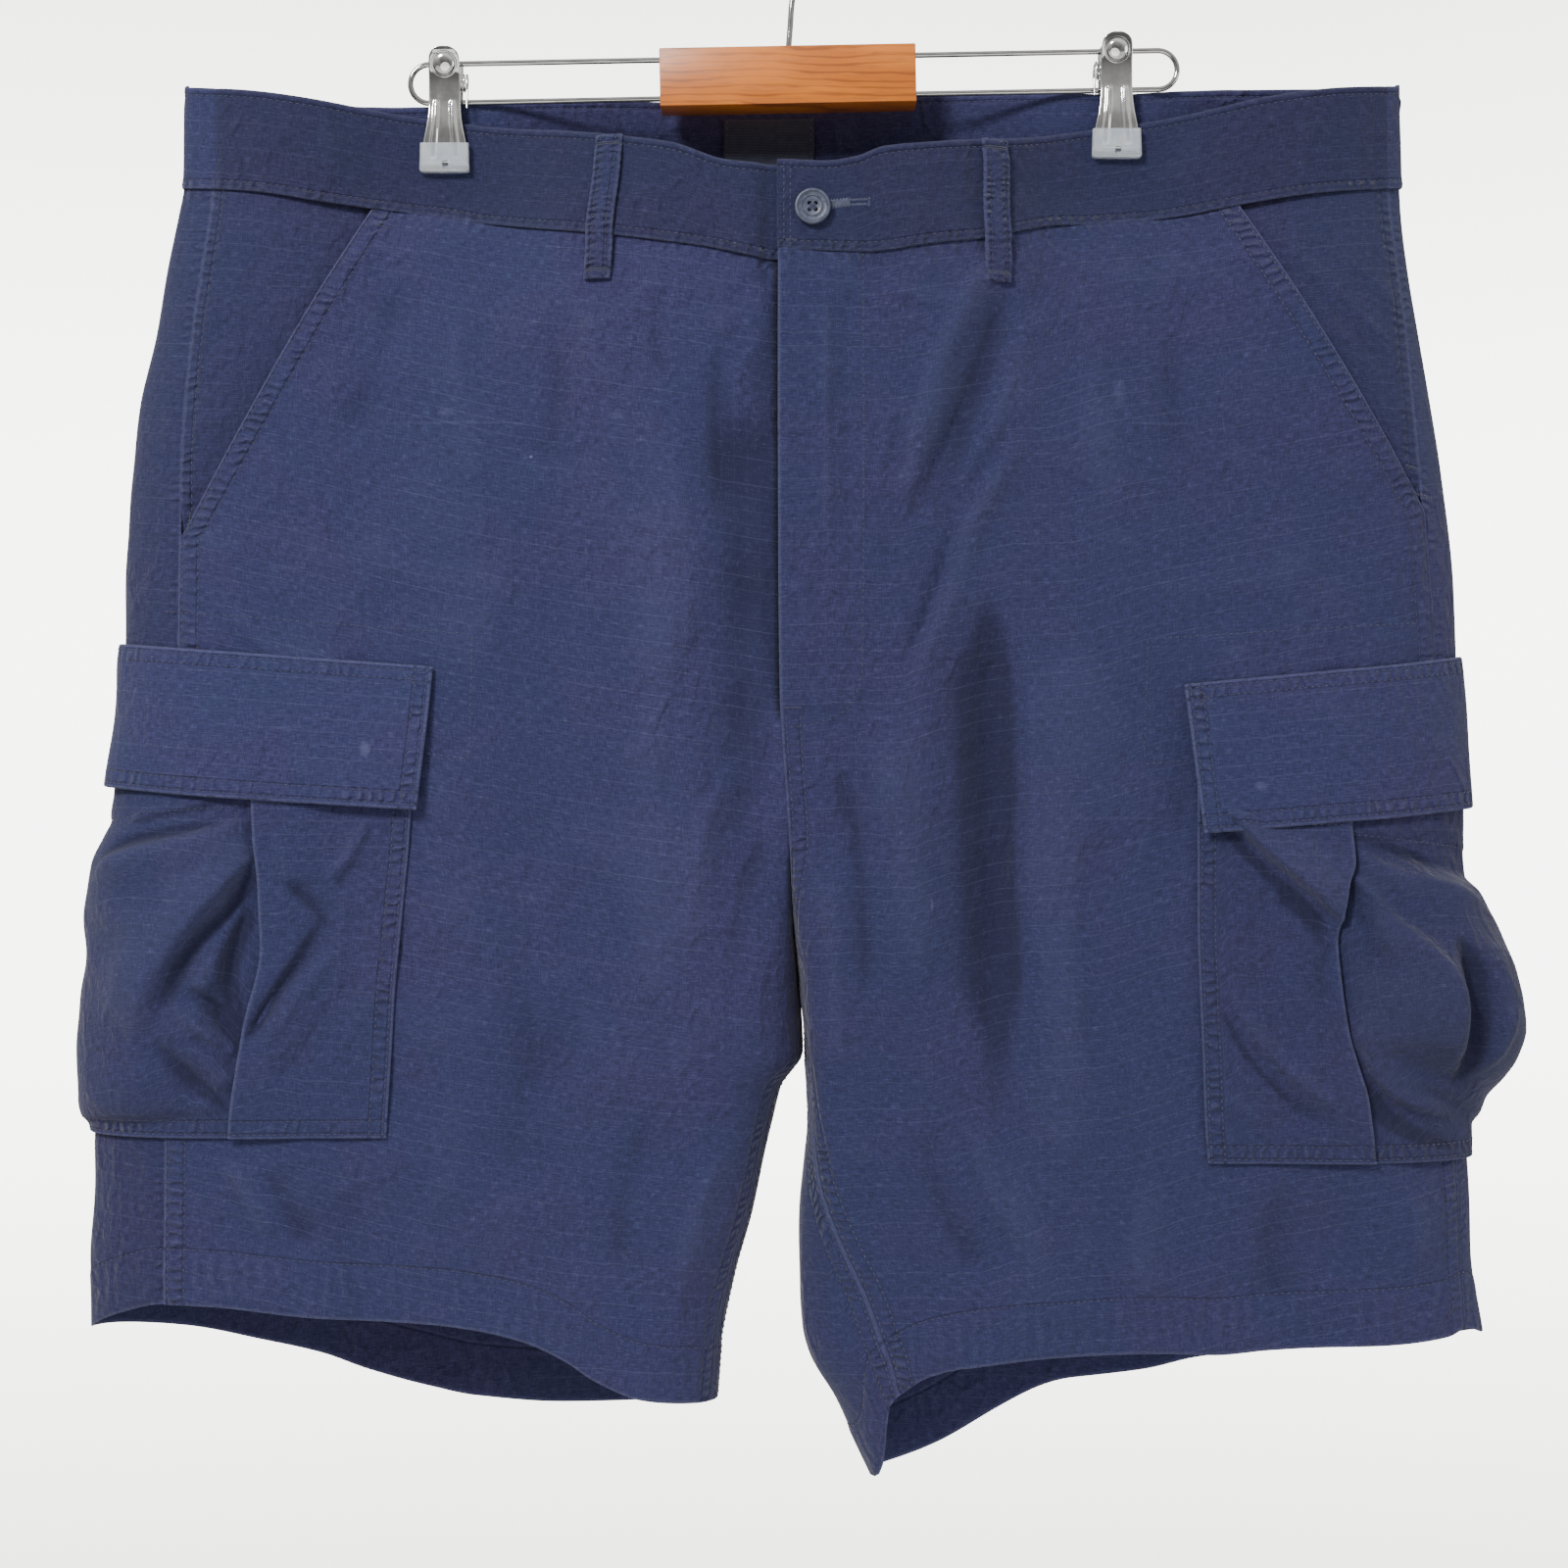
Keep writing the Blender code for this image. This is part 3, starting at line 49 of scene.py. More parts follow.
legColumns = ("z", "outer", "sideSeam", "inner", "inseam", "innerRound")
rightLeg = (
    (-84.0, -284.5, -266.0, -5.0, -5.0, 14.0), (-128.0, -286.3, -269.5, -5.0, -5.0, 14.0),
    (-146.0, -289.5, -271.0, -5.0, -5.0, 14.0), (-172.0, -294.8, -274.3, -5.0, -5.0, 14.0),
    (-201.0, -299.5, -278.0, -5.0, -5.0, 14.0), (-235.0, -307.3, -281.0, -5.0, -5.0, 14.0),
    (-267.0, -310.8, -282.6, -4.9, -4.9, 14.0), (-323.0, -314.2, -283.0, -4.7, -4.7, 14.0),
    (-380.0, -315.0, -283.5, -3.9, -3.9, 14.0), (-432.0, -317.0, -284.5, -0.7, -0.7, 18.0),
    (-476.0, -321.0, -286.0, 1.6, 1.6, 28.0), (-507.0, -324.0, -287.0, 4.2, 4.2, 32.0),
    (-541.0, -326.2, -288.0, 6.8, 5.8, 34.0), (-557.0, -327.3, -288.5, -3.4, -6.4, 35.0),
    (-573.0, -328.3, -289.0, -7.9, -10.9, 36.0), (-612.0, -329.2, -289.3, -16.2, -19.2, 38.0),
    (-642.0, -330.4, -289.5, -24.4, -27.4, 40.0), (-671.0, -330.0, -289.5, -30.6, -33.6, 40.0),
    (-704.0, -329.0, -289.5, -34.0, -37.0, 40.0), (-750.0, -328.0, -289.5, -36.0, -39.0, 40.0),
)
leftLeg = (
    (-84.0, 287.7, 279.0, -4.6, -4.6, 10.0), (-128.0, 289.3, 281.8, -4.6, -4.6, 10.0),
    (-146.0, 290.3, 283.0, -4.6, -4.6, 10.0), (-172.0, 293.4, 286.0, -4.6, -4.6, 10.0),
    (-201.0, 298.2, 289.2, -4.6, -4.6, 10.0), (-235.0, 304.0, 291.8, -4.6, -4.6, 10.0),
    (-267.0, 309.0, 294.4, -4.5, -4.5, 10.0), (-323.0, 315.0, 299.5, -4.3, -4.3, 10.0),
    (-380.0, 316.4, 303.0, -3.5, -3.5, 10.0), (-432.0, 316.2, 304.5, -0.3, -0.3, 10.0),
    (-476.0, 316.0, 306.0, 2.0, 2.0, 9.0), (-507.0, 317.0, 308.0, 4.6, 4.6, 9.0),
    (-541.0, 318.6, 310.0, 7.2, 8.2, 10.0), (-570.0, 319.8, 311.6, 8.2, 10.4, 14.0),
    (-598.0, 321.8, 313.0, 6.4, 13.4, 22.0), (-614.0, 322.6, 313.8, 5.4, 18.0, 30.0),
    (-634.0, 323.0, 314.4, 5.0, 26.4, 40.0), (-652.0, 324.8, 315.2, 5.1, 35.0, 46.0),
    (-671.0, 328.0, 316.2, 6.6, 42.0, 48.0), (-684.0, 329.6, 316.6, 9.8, 47.0, 48.0),
    (-705.0, 330.0, 317.0, 21.6, 52.0, 44.0), (-729.0, 330.0, 317.0, 33.3, 58.0, 36.0),
    (-750.0, 330.0, 317.0, 43.0, 64.0, 32.0),
)
backCentreX = 3.0
backCentre = ((-84.0, 3.0), (-432.0, 3.0), (-500.0, 5.0), (-541.0, 7.0), (-760.0, 7.0))
depthColumns = ("z", "front", "back", "pinchFront", "pinchBack", "bowFront", "bowBack")
depths = (
    (-84.0, 16.0, 14.0, 0.88, 0.86, 21.0, 9.0), (-131.0, 17.0, 14.5, 0.88, 0.86, 19.0, 8.0),
    (-156.0, 20.0, 16.0, 0.66, 0.62, 16.0, 7.0), (-200.0, 24.0, 18.0, 0.36, 0.34, 11.0, 6.0),
    (-300.0, 27.0, 21.0, 0.10, 0.10, 6.0, 5.0), (-400.0, 29.0, 23.0, 0.00, 0.00, 2.0, 3.0),
    (-500.0, 29.0, 24.0, 0.00, 0.00, 0.0, 0.0), (-600.0, 27.0, 24.0, 0.00, 0.00, 0.0, 0.0),
    (-760.0, 27.0, 25.0, 0.00, 0.00, 0.0, 0.0),
)
edgeColumns = ("from", "to")
bandTop = {
    "right": ((-285.0, -84.0), (-281.0, -86.2), (-249.0, -90.3), (-207.0, -95.5),
              (-161.0, -101.2), (-113.0, -108.0), (-76.0, -114.5), (-54.0, -118.6),
              (-28.0, -127.6), (-5.0, -129.6), (46.0, -129.6)),
    "left": ((-4.6, -127.6), (16.0, -128.3), (30.6, -126.0), (43.0, -121.0), (67.0, -117.5),
             (104.0, -112.3), (140.0, -105.6), (194.0, -98.0), (223.0, -93.1),
             (252.0, -89.2), (284.0, -85.6), (288.0, -83.6)),
    "back": ((-285.0, -84.0), (-236.0, -86.6), (-202.0, -91.6), (-176.0, -93.0),
             (-150.0, -91.8), (-132.0, -90.0), (-113.0, -88.0), (-84.0, -85.6),
             (-60.0, -85.2), (0.0, -84.2), (60.0, -82.4), (94.0, -83.2), (122.0, -85.7),
             (141.0, -86.6), (157.0, -86.9), (190.0, -84.2), (213.0, -82.0),
             (243.0, -80.9), (266.0, -81.4), (288.0, -83.6)),
}
waistSeam = {
    "right": ((-287.0, -131.0), (-281.0, -132.3), (-247.0, -136.0), (-219.0, -139.8),
              (-191.0, -142.0), (-163.0, -144.6), (-141.0, -148.8), (-112.0, -153.5),
              (-61.0, -161.5), (-39.0, -165.0), (-17.0, -169.6), (-5.0, -171.2),
              (46.0, -171.2)),
    "left": ((-4.6, -167.0), (33.0, -167.6), (67.0, -162.6), (92.0, -158.6),
             (104.0, -155.0), (125.0, -150.0), (183.0, -145.4), (208.0, -141.9),
             (244.0, -136.9), (284.0, -132.0), (290.0, -130.4)),
}
hemFront = {
    "right": ((-330.0, -671.0), (-322.0, -665.0), (-308.0, -659.0), (-292.0, -655.2),
              (-270.0, -656.0), (-217.0, -662.0), (-166.0, -664.6), (-146.0, -667.3),
              (-125.0, -672.4), (-105.0, -681.6), (-91.0, -690.5), (-69.0, -699.4),
              (-46.0, -702.6), (-34.0, -704.0)),
    "left": ((40.0, -705.0), (52.0, -704.5), (67.0, -699.6), (88.0, -688.8),
             (109.0, -683.6), (142.0, -679.5), (188.0, -677.8), (211.0, -678.4),
             (234.0, -676.4), (281.0, -674.4), (310.0, -671.6), (320.0, -668.4),
             (330.0, -673.0)),
}
hemBack = {
    "right": ((-330.0, -671.0), (-320.0, -672.0), (-289.0, -676.0), (-258.0, -682.4),
              (-226.0, -689.5), (-205.0, -697.0), (-173.0, -705.6), (-152.0, -710.0),
              (-110.0, -713.0), (-71.0, -712.0), (-34.0, -704.0)),
    "left": ((40.0, -705.0), (82.0, -706.5), (112.0, -705.5), (148.0, -701.6),
             (184.0, -697.2), (209.0, -691.4), (245.0, -687.0), (293.0, -684.0),
             (318.0, -678.0), (330.0, -673.0)),
}
foldColumns = ("x0", "z0", "x1", "z1", "width", "height")
largeFolds = {
    "front": (
        (72.0, -196.0, 36.0, -520.0, 24.0, 4.6), (104.0, -182.0, 20.0, -430.0, 17.0, -3.6),
        (96.0, -360.0, 84.0, -545.0, 22.0, -3.6), (150.0, -300.0, 128.0, -655.0, 34.0, 3.0),
        (196.0, -250.0, 176.0, -450.0, 26.0, -2.2),
        (-26.0, -200.0, -24.0, -480.0, 15.0, -2.8),
        (-66.0, -196.0, -58.0, -590.0, 28.0, 4.0),
        (-112.0, -214.0, -104.0, -610.0, 24.0, -3.2),
        (-156.0, -240.0, -140.0, -650.0, 28.0, 2.6),
        (-190.0, -600.0, -196.0, -690.0, 26.0, -3.0),
        (250.0, -600.0, 244.0, -690.0, 28.0, -3.0), (118.0, -640.0, 96.0, -700.0, 20.0, 3.4),
    ),
    "back": (
        (-40.0, -170.0, -90.0, -560.0, 30.0, 4.2), (-96.0, -190.0, -140.0, -640.0, 26.0, -3.4),
        (-170.0, -160.0, -200.0, -620.0, 34.0, 3.0),
        (-236.0, -220.0, -246.0, -600.0, 26.0, -2.4),
        (52.0, -170.0, 78.0, -600.0, 28.0, 3.8), (104.0, -190.0, 130.0, -620.0, 24.0, -3.2),
        (178.0, -160.0, 206.0, -640.0, 32.0, 3.2), (240.0, -240.0, 250.0, -600.0, 26.0, -2.2),
    ),
}

# how the garment hangs on its two clips
hang = {
    "outerRound": 60.0, "wrap": 70.0, "foldGap": 0.4, "crotchLevel": 0.692,
    "crotchZ": -541.0, "cornerZ": -131.0, "bandZ": -108.0, "middleZ": -400.0,
    "clipX": (-162.0, 154.5), "pinchFlat": 18.0, "pinchReach": 38.0, "bowReach": 96.0,
    "seamTurns": (-424.0, -540.0), "cornerDrop": 35.0, "dropFront": 0.10, "dropBack": 0.38,
    "dropPower": 5.0, "bandHeightBack": 44.0, "backStrip": 4.0,
    "hemInner": {"right": -34.0, "left": 40.0},
}
legs = {
    "right": {"side": "right", "table": rightLeg, "inward": 1.0, "drop": 0.0},
    "left": {"side": "left", "table": leftLeg, "inward": -1.0, "drop": hang["cornerDrop"]},
}


# a smooth curve through a table of values
def smoothCurve(keys, values, at):
    keys = np.asarray(keys, float)
    values = np.asarray(values, float)
    if keys[0] > keys[-1]:
        keys = keys[::-1]
        values = values[::-1]
    steps = np.diff(keys)
    slopes = np.diff(values) / steps
    tangents = np.zeros_like(values)
    tangents[0] = slopes[0]
    tangents[-1] = slopes[-1]
    sameWay = slopes[:-1] * slopes[1:] > 0.0
    total = np.where(sameWay, slopes[:-1] + slopes[1:], 1.0)
    tangents[1:-1] = np.where(sameWay, 2.0 * slopes[:-1] * slopes[1:] / total, 0.0)
    at = np.clip(np.asarray(at, float), keys[0], keys[-1])
    index = np.clip(np.searchsorted(keys, at) - 1, 0, len(steps) - 1)
    width = steps[index]
    share = (at - keys[index]) / width
    up = share * share * (3.0 - 2.0 * share)
    start = share * (1.0 - share) ** 2 * width
    end = share * share * (share - 1.0) * width
    return (values[index] * (1.0 - up) + values[index + 1] * up
            + tangents[index] * start + tangents[index + 1] * end)


def column(table, columns, wanted):
    return np.array([row[columns.index(wanted)] for row in table])


def read(table, columns, wanted, at):
    return smoothCurve(column(table, columns, columns[0]), column(table, columns, wanted), at)


def edgeHeight(table, x):
    return read(table, edgeColumns, "to", x)


def stepsAcross(count):
    return np.linspace(0.0, 1.0, count + 1)[None, :]


def stepsDown(count):
    return np.linspace(0.0, 1.0, count + 1)[:, None]


def ease(share):
    share = np.clip(share, 0.0, 1.0)
    return share * share * (3.0 - 2.0 * share)


def legAt(leg, wanted, z):
    return read(leg["table"], legColumns, wanted, z)


def relief(folds, x, z):
    height = np.zeros(np.broadcast(x, z).shape)
    for row in folds:
        fold = dict(zip(foldColumns, row))
        alongX = fold["x1"] - fold["x0"]
        alongZ = fold["z1"] - fold["z0"]
        length = math.hypot(alongX, alongZ)
        fromX = x - fold["x0"]
        fromZ = z - fold["z0"]
        share = (fromX * alongX + fromZ * alongZ) / length ** 2
        across = (fromX * alongZ - fromZ * alongX) / length
        ends = ease((share + 0.12) / 0.34) * ease((1.12 - share) / 0.34)
        height = height + fold["height"] * ends * np.exp(-(across / fold["width"]) ** 2)
    return height


def fullDepth(face, x, z):
    word = face.capitalize()
    depth = read(depths, depthColumns, face, z)
    pinch = read(depths, depthColumns, "pinch" + word, z)
    bow = read(depths, depthColumns, "bow" + word, z)
    held = sum(np.exp(-(np.maximum(np.abs(x - clip) - hang["pinchFlat"], 0.0)
                        / hang["pinchReach"]) ** 2) for clip in hang["clipX"])
    bowed = bow * np.exp(-(x / hang["bowReach"]) ** 2)
    return (depth + bowed) * (1.0 - pinch * held) + relief(largeFolds[face], x, z)


def innerFold(leg, face, z):
    inner = legAt(leg, "inner", z)
    if face == "front":
        return inner
    centre = read(backCentre, edgeColumns, "to", z) - leg["inward"] * 0.2
    return np.where(np.asarray(z) > hang["crotchZ"], centre, inner)


def hemInner(leg):
    return hang["hemInner"][leg["side"]]


def heightInnerBack(leg, level):
    top = edgeHeight(bandTop["back"], backCentreX) - hang["bandHeightBack"]
    hem = edgeHeight(hemBack[leg["side"]], hemInner(leg))
    return top * (1.0 - level) + hem * level - leg["drop"] * level ** hang["dropPower"]


def heightAt(leg, face, share, level):
    side = leg["side"]
    cornerX = legAt(leg, "outer", hang["cornerZ"])
    if face == "front":
        hemEdge, reach = hemFront[side], hang["dropFront"]
        topX = cornerX * (1.0 - share) + legAt(leg, "inner", hang["cornerZ"]) * share
        top = edgeHeight(waistSeam[side], topX)
    else:
        hemEdge, reach = hemBack[side], hang["dropBack"]
        topX = cornerX * (1.0 - share) + backCentreX * share
        top = edgeHeight(bandTop["back"], topX) - hang["bandHeightBack"]
        top = top + (edgeHeight(waistSeam[side], cornerX) - edgeHeight(bandTop["back"], cornerX)
                     + hang["bandHeightBack"]) * (1.0 - ease(share / 0.2))
    hemZ = 0.5 * (hemFront[side][0][1] + hemFront[side][-1][1])
    hemX = legAt(leg, "outer", hemZ) * (1.0 - share) + hemInner(leg) * share
    z = top * (1.0 - level) + edgeHeight(hemEdge, hemX) * level
    z = z - leg["drop"] * ease((share - 1.0 + reach) / reach) * level ** hang["dropPower"]
    if face == "back":
        match = heightAt(leg, "front", 1.0, level) - heightInnerBack(leg, level)
        z = z + match * ease((share - 0.35) / 0.65) * ease((level - 0.28) / 0.38)
    return z


def depthAt(leg, face, x, z):
    fromOuter = (x - legAt(leg, "outer", z)) * leg["inward"]
    fromInner = (innerFold(leg, face, z) - x) * leg["inward"]
    outerTurn = np.sqrt(1.0 - (1.0 - np.clip(fromOuter / hang["outerRound"], 0.0, 1.0)) ** 2)
    reach = legAt(leg, "innerRound", z)
    innerTurn = np.sqrt(1.0 - (1.0 - np.clip(fromInner / reach, 0.0, 1.0)) ** 2)
    high, low = hang["seamTurns"]
    turned = ease((high - z) / (high - low))
    full = fullDepth(face, x, z)
    return outerTurn * (hang["foldGap"] + full * ((1.0 - turned) + turned * innerTurn))


def onForm(leg, face, x, z):
    depth = depthAt(leg, face, x, z)
    return np.stack([x + 0.0 * z, -depth if face == "front" else depth, z + 0.0 * x], axis=-1)


def formPoint(leg, face, share, level):
    z = heightAt(leg, face, share, level)
    x = legAt(leg, "outer", z) * (1.0 - share) + innerFold(leg, face, z) * share
    return onForm(leg, face, x, z)


def pastFold(leg, past, level):
    width = abs(legAt(leg, "outer", hang["middleZ"]))
    onBack = formPoint(leg, "back", 1.0 + np.minimum(past, 0.0) / width, level)
    onFront = formPoint(leg, "front", 1.0 - np.maximum(past, 0.0) / width, level)
    return np.where(past[..., None] < 0.0, onBack, onFront)


def seamShare(leg, wanted, level):
    share = np.full(np.shape(level), 0.1 if wanted == "sideSeam" else 0.97)
    for _ in range(24):
        z = heightAt(leg, "front", share, level)
        outer = legAt(leg, "outer", z)
        found = (legAt(leg, wanted, z) - outer) / (legAt(leg, "inner", z) - outer)
        share = 0.5 * share + 0.5 * np.clip(found, 0.0, 1.0)
    return share


def around(leg, along, z):
    angle = np.clip(np.abs(along) / hang["wrap"], 0.0, 1.0) * math.pi / 2.0
    flat = np.maximum(np.abs(along) - hang["wrap"], 0.0)
    fromOuter = hang["outerRound"] * (1.0 - np.cos(angle)) + flat
    x = legAt(leg, "outer", z) + leg["inward"] * fromOuter
    front = depthAt(leg, "front", x, z)
    back = depthAt(leg, "back", x, z)
    return np.stack([x, np.where(along >= 0.0, -front, back), z + 0.0 * x], axis=-1)


def ringHint(leg, points):
    middle = np.array([0.5 * legAt(leg, "outer", hang["middleZ"]), 0.0, 0.0])
    return (points - middle) * (0.2, 1.0, 0.0)


# creases: points of the line, half width, height, and how much steeper one flank is
def creaseField(creases, x, z):
    total = np.zeros(np.broadcast(x, z).shape)
    for path, width, height, skew in creases:
        corners = np.array(path, float)
        ways = np.linspace(0.0, len(corners) - 1.0, 6 * (len(corners) - 1) + 1)
        line = np.stack([smoothCurve(np.arange(len(corners)), corners[:, axis], ways)
                         for axis in (0, 1)], axis=-1)
        best = np.full(total.shape, 1e9)
        share = np.zeros(total.shape)
        flank = np.zeros(total.shape)
        count = len(line) - 1
        for index in range(count):
            startX, startZ = line[index]
            alongX, alongZ = line[index + 1] - line[index]
            step = ((x - startX) * alongX + (z - startZ) * alongZ) / (alongX ** 2 + alongZ ** 2)
            step = np.clip(step, 0.0, 1.0)
            offX = x - startX - alongX * step
            offZ = z - startZ - alongZ * step
            away = np.hypot(offX, offZ)
            closer = away < best
            best = np.where(closer, away, best)
            share = np.where(closer, (index + step) / count, share)
            flank = np.where(closer, np.sign(offX * alongZ - offZ * alongX), flank)
        fade = ease(share / 0.24) * ease((1.0 - share) / 0.24)
        wide = width * (1.0 - skew * flank) * (0.58 + 0.22 * fade)
        total = total + height * fade * np.exp(-(best / wide) ** 1.5)
    return total


# shallow waves with lengths between low and high
waveCount = 14


def softWaves(seed, x, z, size, low, high):
    dice = random.Random(seed)
    total = np.zeros(np.broadcast(x, z).shape)
    for _ in range(waveCount):
        turn = dice.uniform(0.0, math.pi)
        length = dice.uniform(low, high)
        start = dice.uniform(0.0, 6.28)
        reach = (x * math.cos(turn) + z * math.sin(turn)) * 2.0 * math.pi / length
        drift = 1.6 * np.sin((x * math.sin(turn) - z * math.cos(turn)) / length * 2.1 + start)
        total = total + np.sin(reach + start + drift)
    return size * total / 3.7


def unitNormals(points, hint):
    normal = np.cross(np.gradient(points, axis=1), np.gradient(points, axis=0))
    normal /= np.linalg.norm(normal, axis=-1, keepdims=True) + 1e-12
    return -normal if np.sum(normal * hint) < 0.0 else normal


def measured(points):
    acrossSteps = np.linalg.norm(np.diff(points, axis=1), axis=-1)
    downSteps = np.linalg.norm(np.diff(points, axis=0), axis=-1)
    left = np.concatenate([np.zeros((len(points), 1)), np.cumsum(acrossSteps, axis=1)], axis=1)
    top = np.concatenate([np.zeros((1, points.shape[1])), np.cumsum(downSteps, axis=0)], axis=0)
    return {"left": left, "right": left[:, -1:] - left, "top": top, "bottom": top[-1:] - top}


def panelFrom(points, hint, lift=None):
    hint = np.broadcast_to(hint, points.shape)
    normal = unitNormals(points, hint)
    if lift is not None:
        points = points + normal * (lift + 0.0 * points[..., 0])[..., None]
        normal = unitNormals(points, hint)
    panel = {"points": points, "normal": normal}
    panel.update(measured(points))
    return panel


# a closed shell with rounded edges; the panel's own distances become attributes
def sewShell(name, panel, thick, material, weaveFrom="right"):
    outer = panel["points"]
    rows, columns = outer.shape[:2]
    inner = outer - panel["normal"] * thick
    number = np.arange(rows * columns).reshape(rows, columns)
    rim = np.concatenate([number[0], number[1:, -1], number[-1, -2::-1], number[-2:0:-1, 0]])
    away = np.zeros_like(outer)
    away[0] += outer[0] - outer[1]
    away[-1] += outer[-1] - outer[-2]
    away[:, 0] += outer[:, 0] - outer[:, 1]
    away[:, -1] += outer[:, -1] - outer[:, -2]
    away /= np.linalg.norm(away, axis=-1, keepdims=True) + 1e-9
    flatOuter, flatInner, flatAway = (a.reshape(-1, 3)[rim] for a in (outer, inner, away))
    rings = [number.reshape(-1)[rim]]
    points = [outer.reshape(-1, 3), inner.reshape(-1, 3)]
    total = 2 * rows * columns
    owners = [np.arange(rows * columns), np.arange(rows * columns)]
    for share in (0.25, 0.5, 0.75):
        points.append(flatOuter * (1.0 - share) + flatInner * share
                      + flatAway * 0.42 * thick * math.sin(math.pi * share))
        rings.append(np.arange(total, total + len(rim)))
        owners.append(rim)
        total += len(rim)
    rings.append(rim + rows * columns)
    owner = np.concatenate(owners)
    quads = np.stack([number[:-1, :-1], number[1:, :-1], number[1:, 1:], number[:-1, 1:]],
                     axis=-1).reshape(-1, 4)
    faces = [quads, quads[:, ::-1] + rows * columns]
    for first, second in zip(rings, rings[1:]):
        faces.append(np.stack([first, np.roll(first, -1), np.roll(second, -1), second], axis=-1))
    faces = np.concatenate(faces)
    middle = quads[len(quads) // 2]
    sample = outer.reshape(-1, 3)[middle]
    facing = np.cross(sample[1] - sample[0], sample[3] - sample[0])
    if np.dot(facing, panel["normal"].reshape(-1, 3)[middle[0]]) < 0.0:
        faces = faces[:, ::-1]
    places = (np.concatenate(points) - (0.0, 0.0, rise)) * mm
    mesh = bpy.data.meshes.new(name + "_cloth")
    mesh.from_pydata(places.tolist(), [], faces.tolist())
    mesh.validate()
    weave = np.stack([panel[weaveFrom], panel["top"]], axis=-1).reshape(-1, 2)[owner] * mm
    corners = np.zeros(len(mesh.loops), np.int32)
    mesh.loops.foreach_get("vertex_index", corners)
    layer = mesh.uv_layers.new(name="weave")
    layer.data.foreach_set("uv", weave[corners].astype(np.float32).ravel())
    for word, kinds in (("sides", ("left", "right", "top")), ("ends", ("top", "bottom", "left"))):
        made = mesh.attributes.new(word, "FLOAT_VECTOR", "POINT")
        values = np.stack([panel[kind] for kind in kinds], axis=-1).reshape(-1, 3)[owner]
        made.data.foreach_set("vector", values.astype(np.float32).ravel())
    # fold holds crease heights and painted shade lines; the cloth material paints shade into its
    # valleys and lightens its ridges
    wear = np.asarray(panel.get("fold", np.zeros((rows, columns)))).reshape(-1)[owner]
    made = mesh.attributes.new("fold", "FLOAT", "POINT")
    made.data.foreach_set("value", wear.astype(np.float32))
    mesh.materials.append(material)
    mesh.shade_smooth()
    piece = bpy.data.objects.new(name + "_cloth", mesh)
    bpy.context.scene.collection.objects.link(piece)
    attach(piece, "root")
    return piece


# rows of thread laid along a line on a panel
def lineAcross(panel, edge, distance, start=0.0, end=1e9):
    downward = edge in ("left", "right")
    points, normals, fromEdge = panel["points"], panel["normal"], panel[edge]
    along = panel["top"] if downward else panel["left"]
    if not downward:
        points = np.swapaxes(points, 0, 1)
        normals = np.swapaxes(normals, 0, 1)
        fromEdge, along = fromEdge.T, along.T
    if edge in ("right", "bottom"):
        points, normals = points[:, ::-1], normals[:, ::-1]
        fromEdge, along = fromEdge[:, ::-1], along[:, ::-1]
    line, ways, run = [], [], []
    for row in range(len(points)):
        at = distance(row / (len(points) - 1.0)) if callable(distance) else distance
        line.append([np.interp(at, fromEdge[row], points[row, :, axis]) for axis in range(3)])
        ways.append([np.interp(at, fromEdge[row], normals[row, :, axis]) for axis in range(3)])
        run.append(np.interp(at, fromEdge[row], along[row]))
    line, ways, run = np.array(line), np.array(ways), np.array(run)
    keep = (run >= start) & (run <= end)
    return line[keep], ways[keep]


# a line given by X and height, dropped on to a panel
def lineOn(panel, corners, step=2.0):
    corners = np.array(corners, float)
    places = []
    for first, second in zip(corners, corners[1:]):
        count = max(2, int(np.hypot(*(second - first)) / step))
        places += [first + (second - first) * index / count for index in range(count)]
    places.append(corners[-1])
    flat = panel["points"].reshape(-1, 3)
    facing = panel["normal"].reshape(-1, 3)
    front = facing[:, 1] < -0.2
    flat, facing = flat[front], facing[front]
    line, ways = [], []
    for x, z in places:
        near = np.argmin((flat[:, 0] - x) ** 2 + (flat[:, 2] - z) ** 2)
        way, at = facing[near], flat[near]
        y = at[1] - (way[0] * (x - at[0]) + way[2] * (z - at[2])) / way[1]
        line.append((x, y, z))
        ways.append(way)
    return np.array(line), np.array(ways)


threads = {"pitch": 3.1, "length": 2.3, "half": 0.26, "rise": 0.04, "sides": 4, "seed": 5}
threadLines = {}


def stitchAlong(piece, line, ways, pitch=None, length=None, half=None, away=0.0):
    if len(line) > 2:
        threadLines.setdefault(piece, []).append((line, ways, pitch or threads["pitch"],
                                                  length or threads["length"],
                                                  half or threads["half"], away))


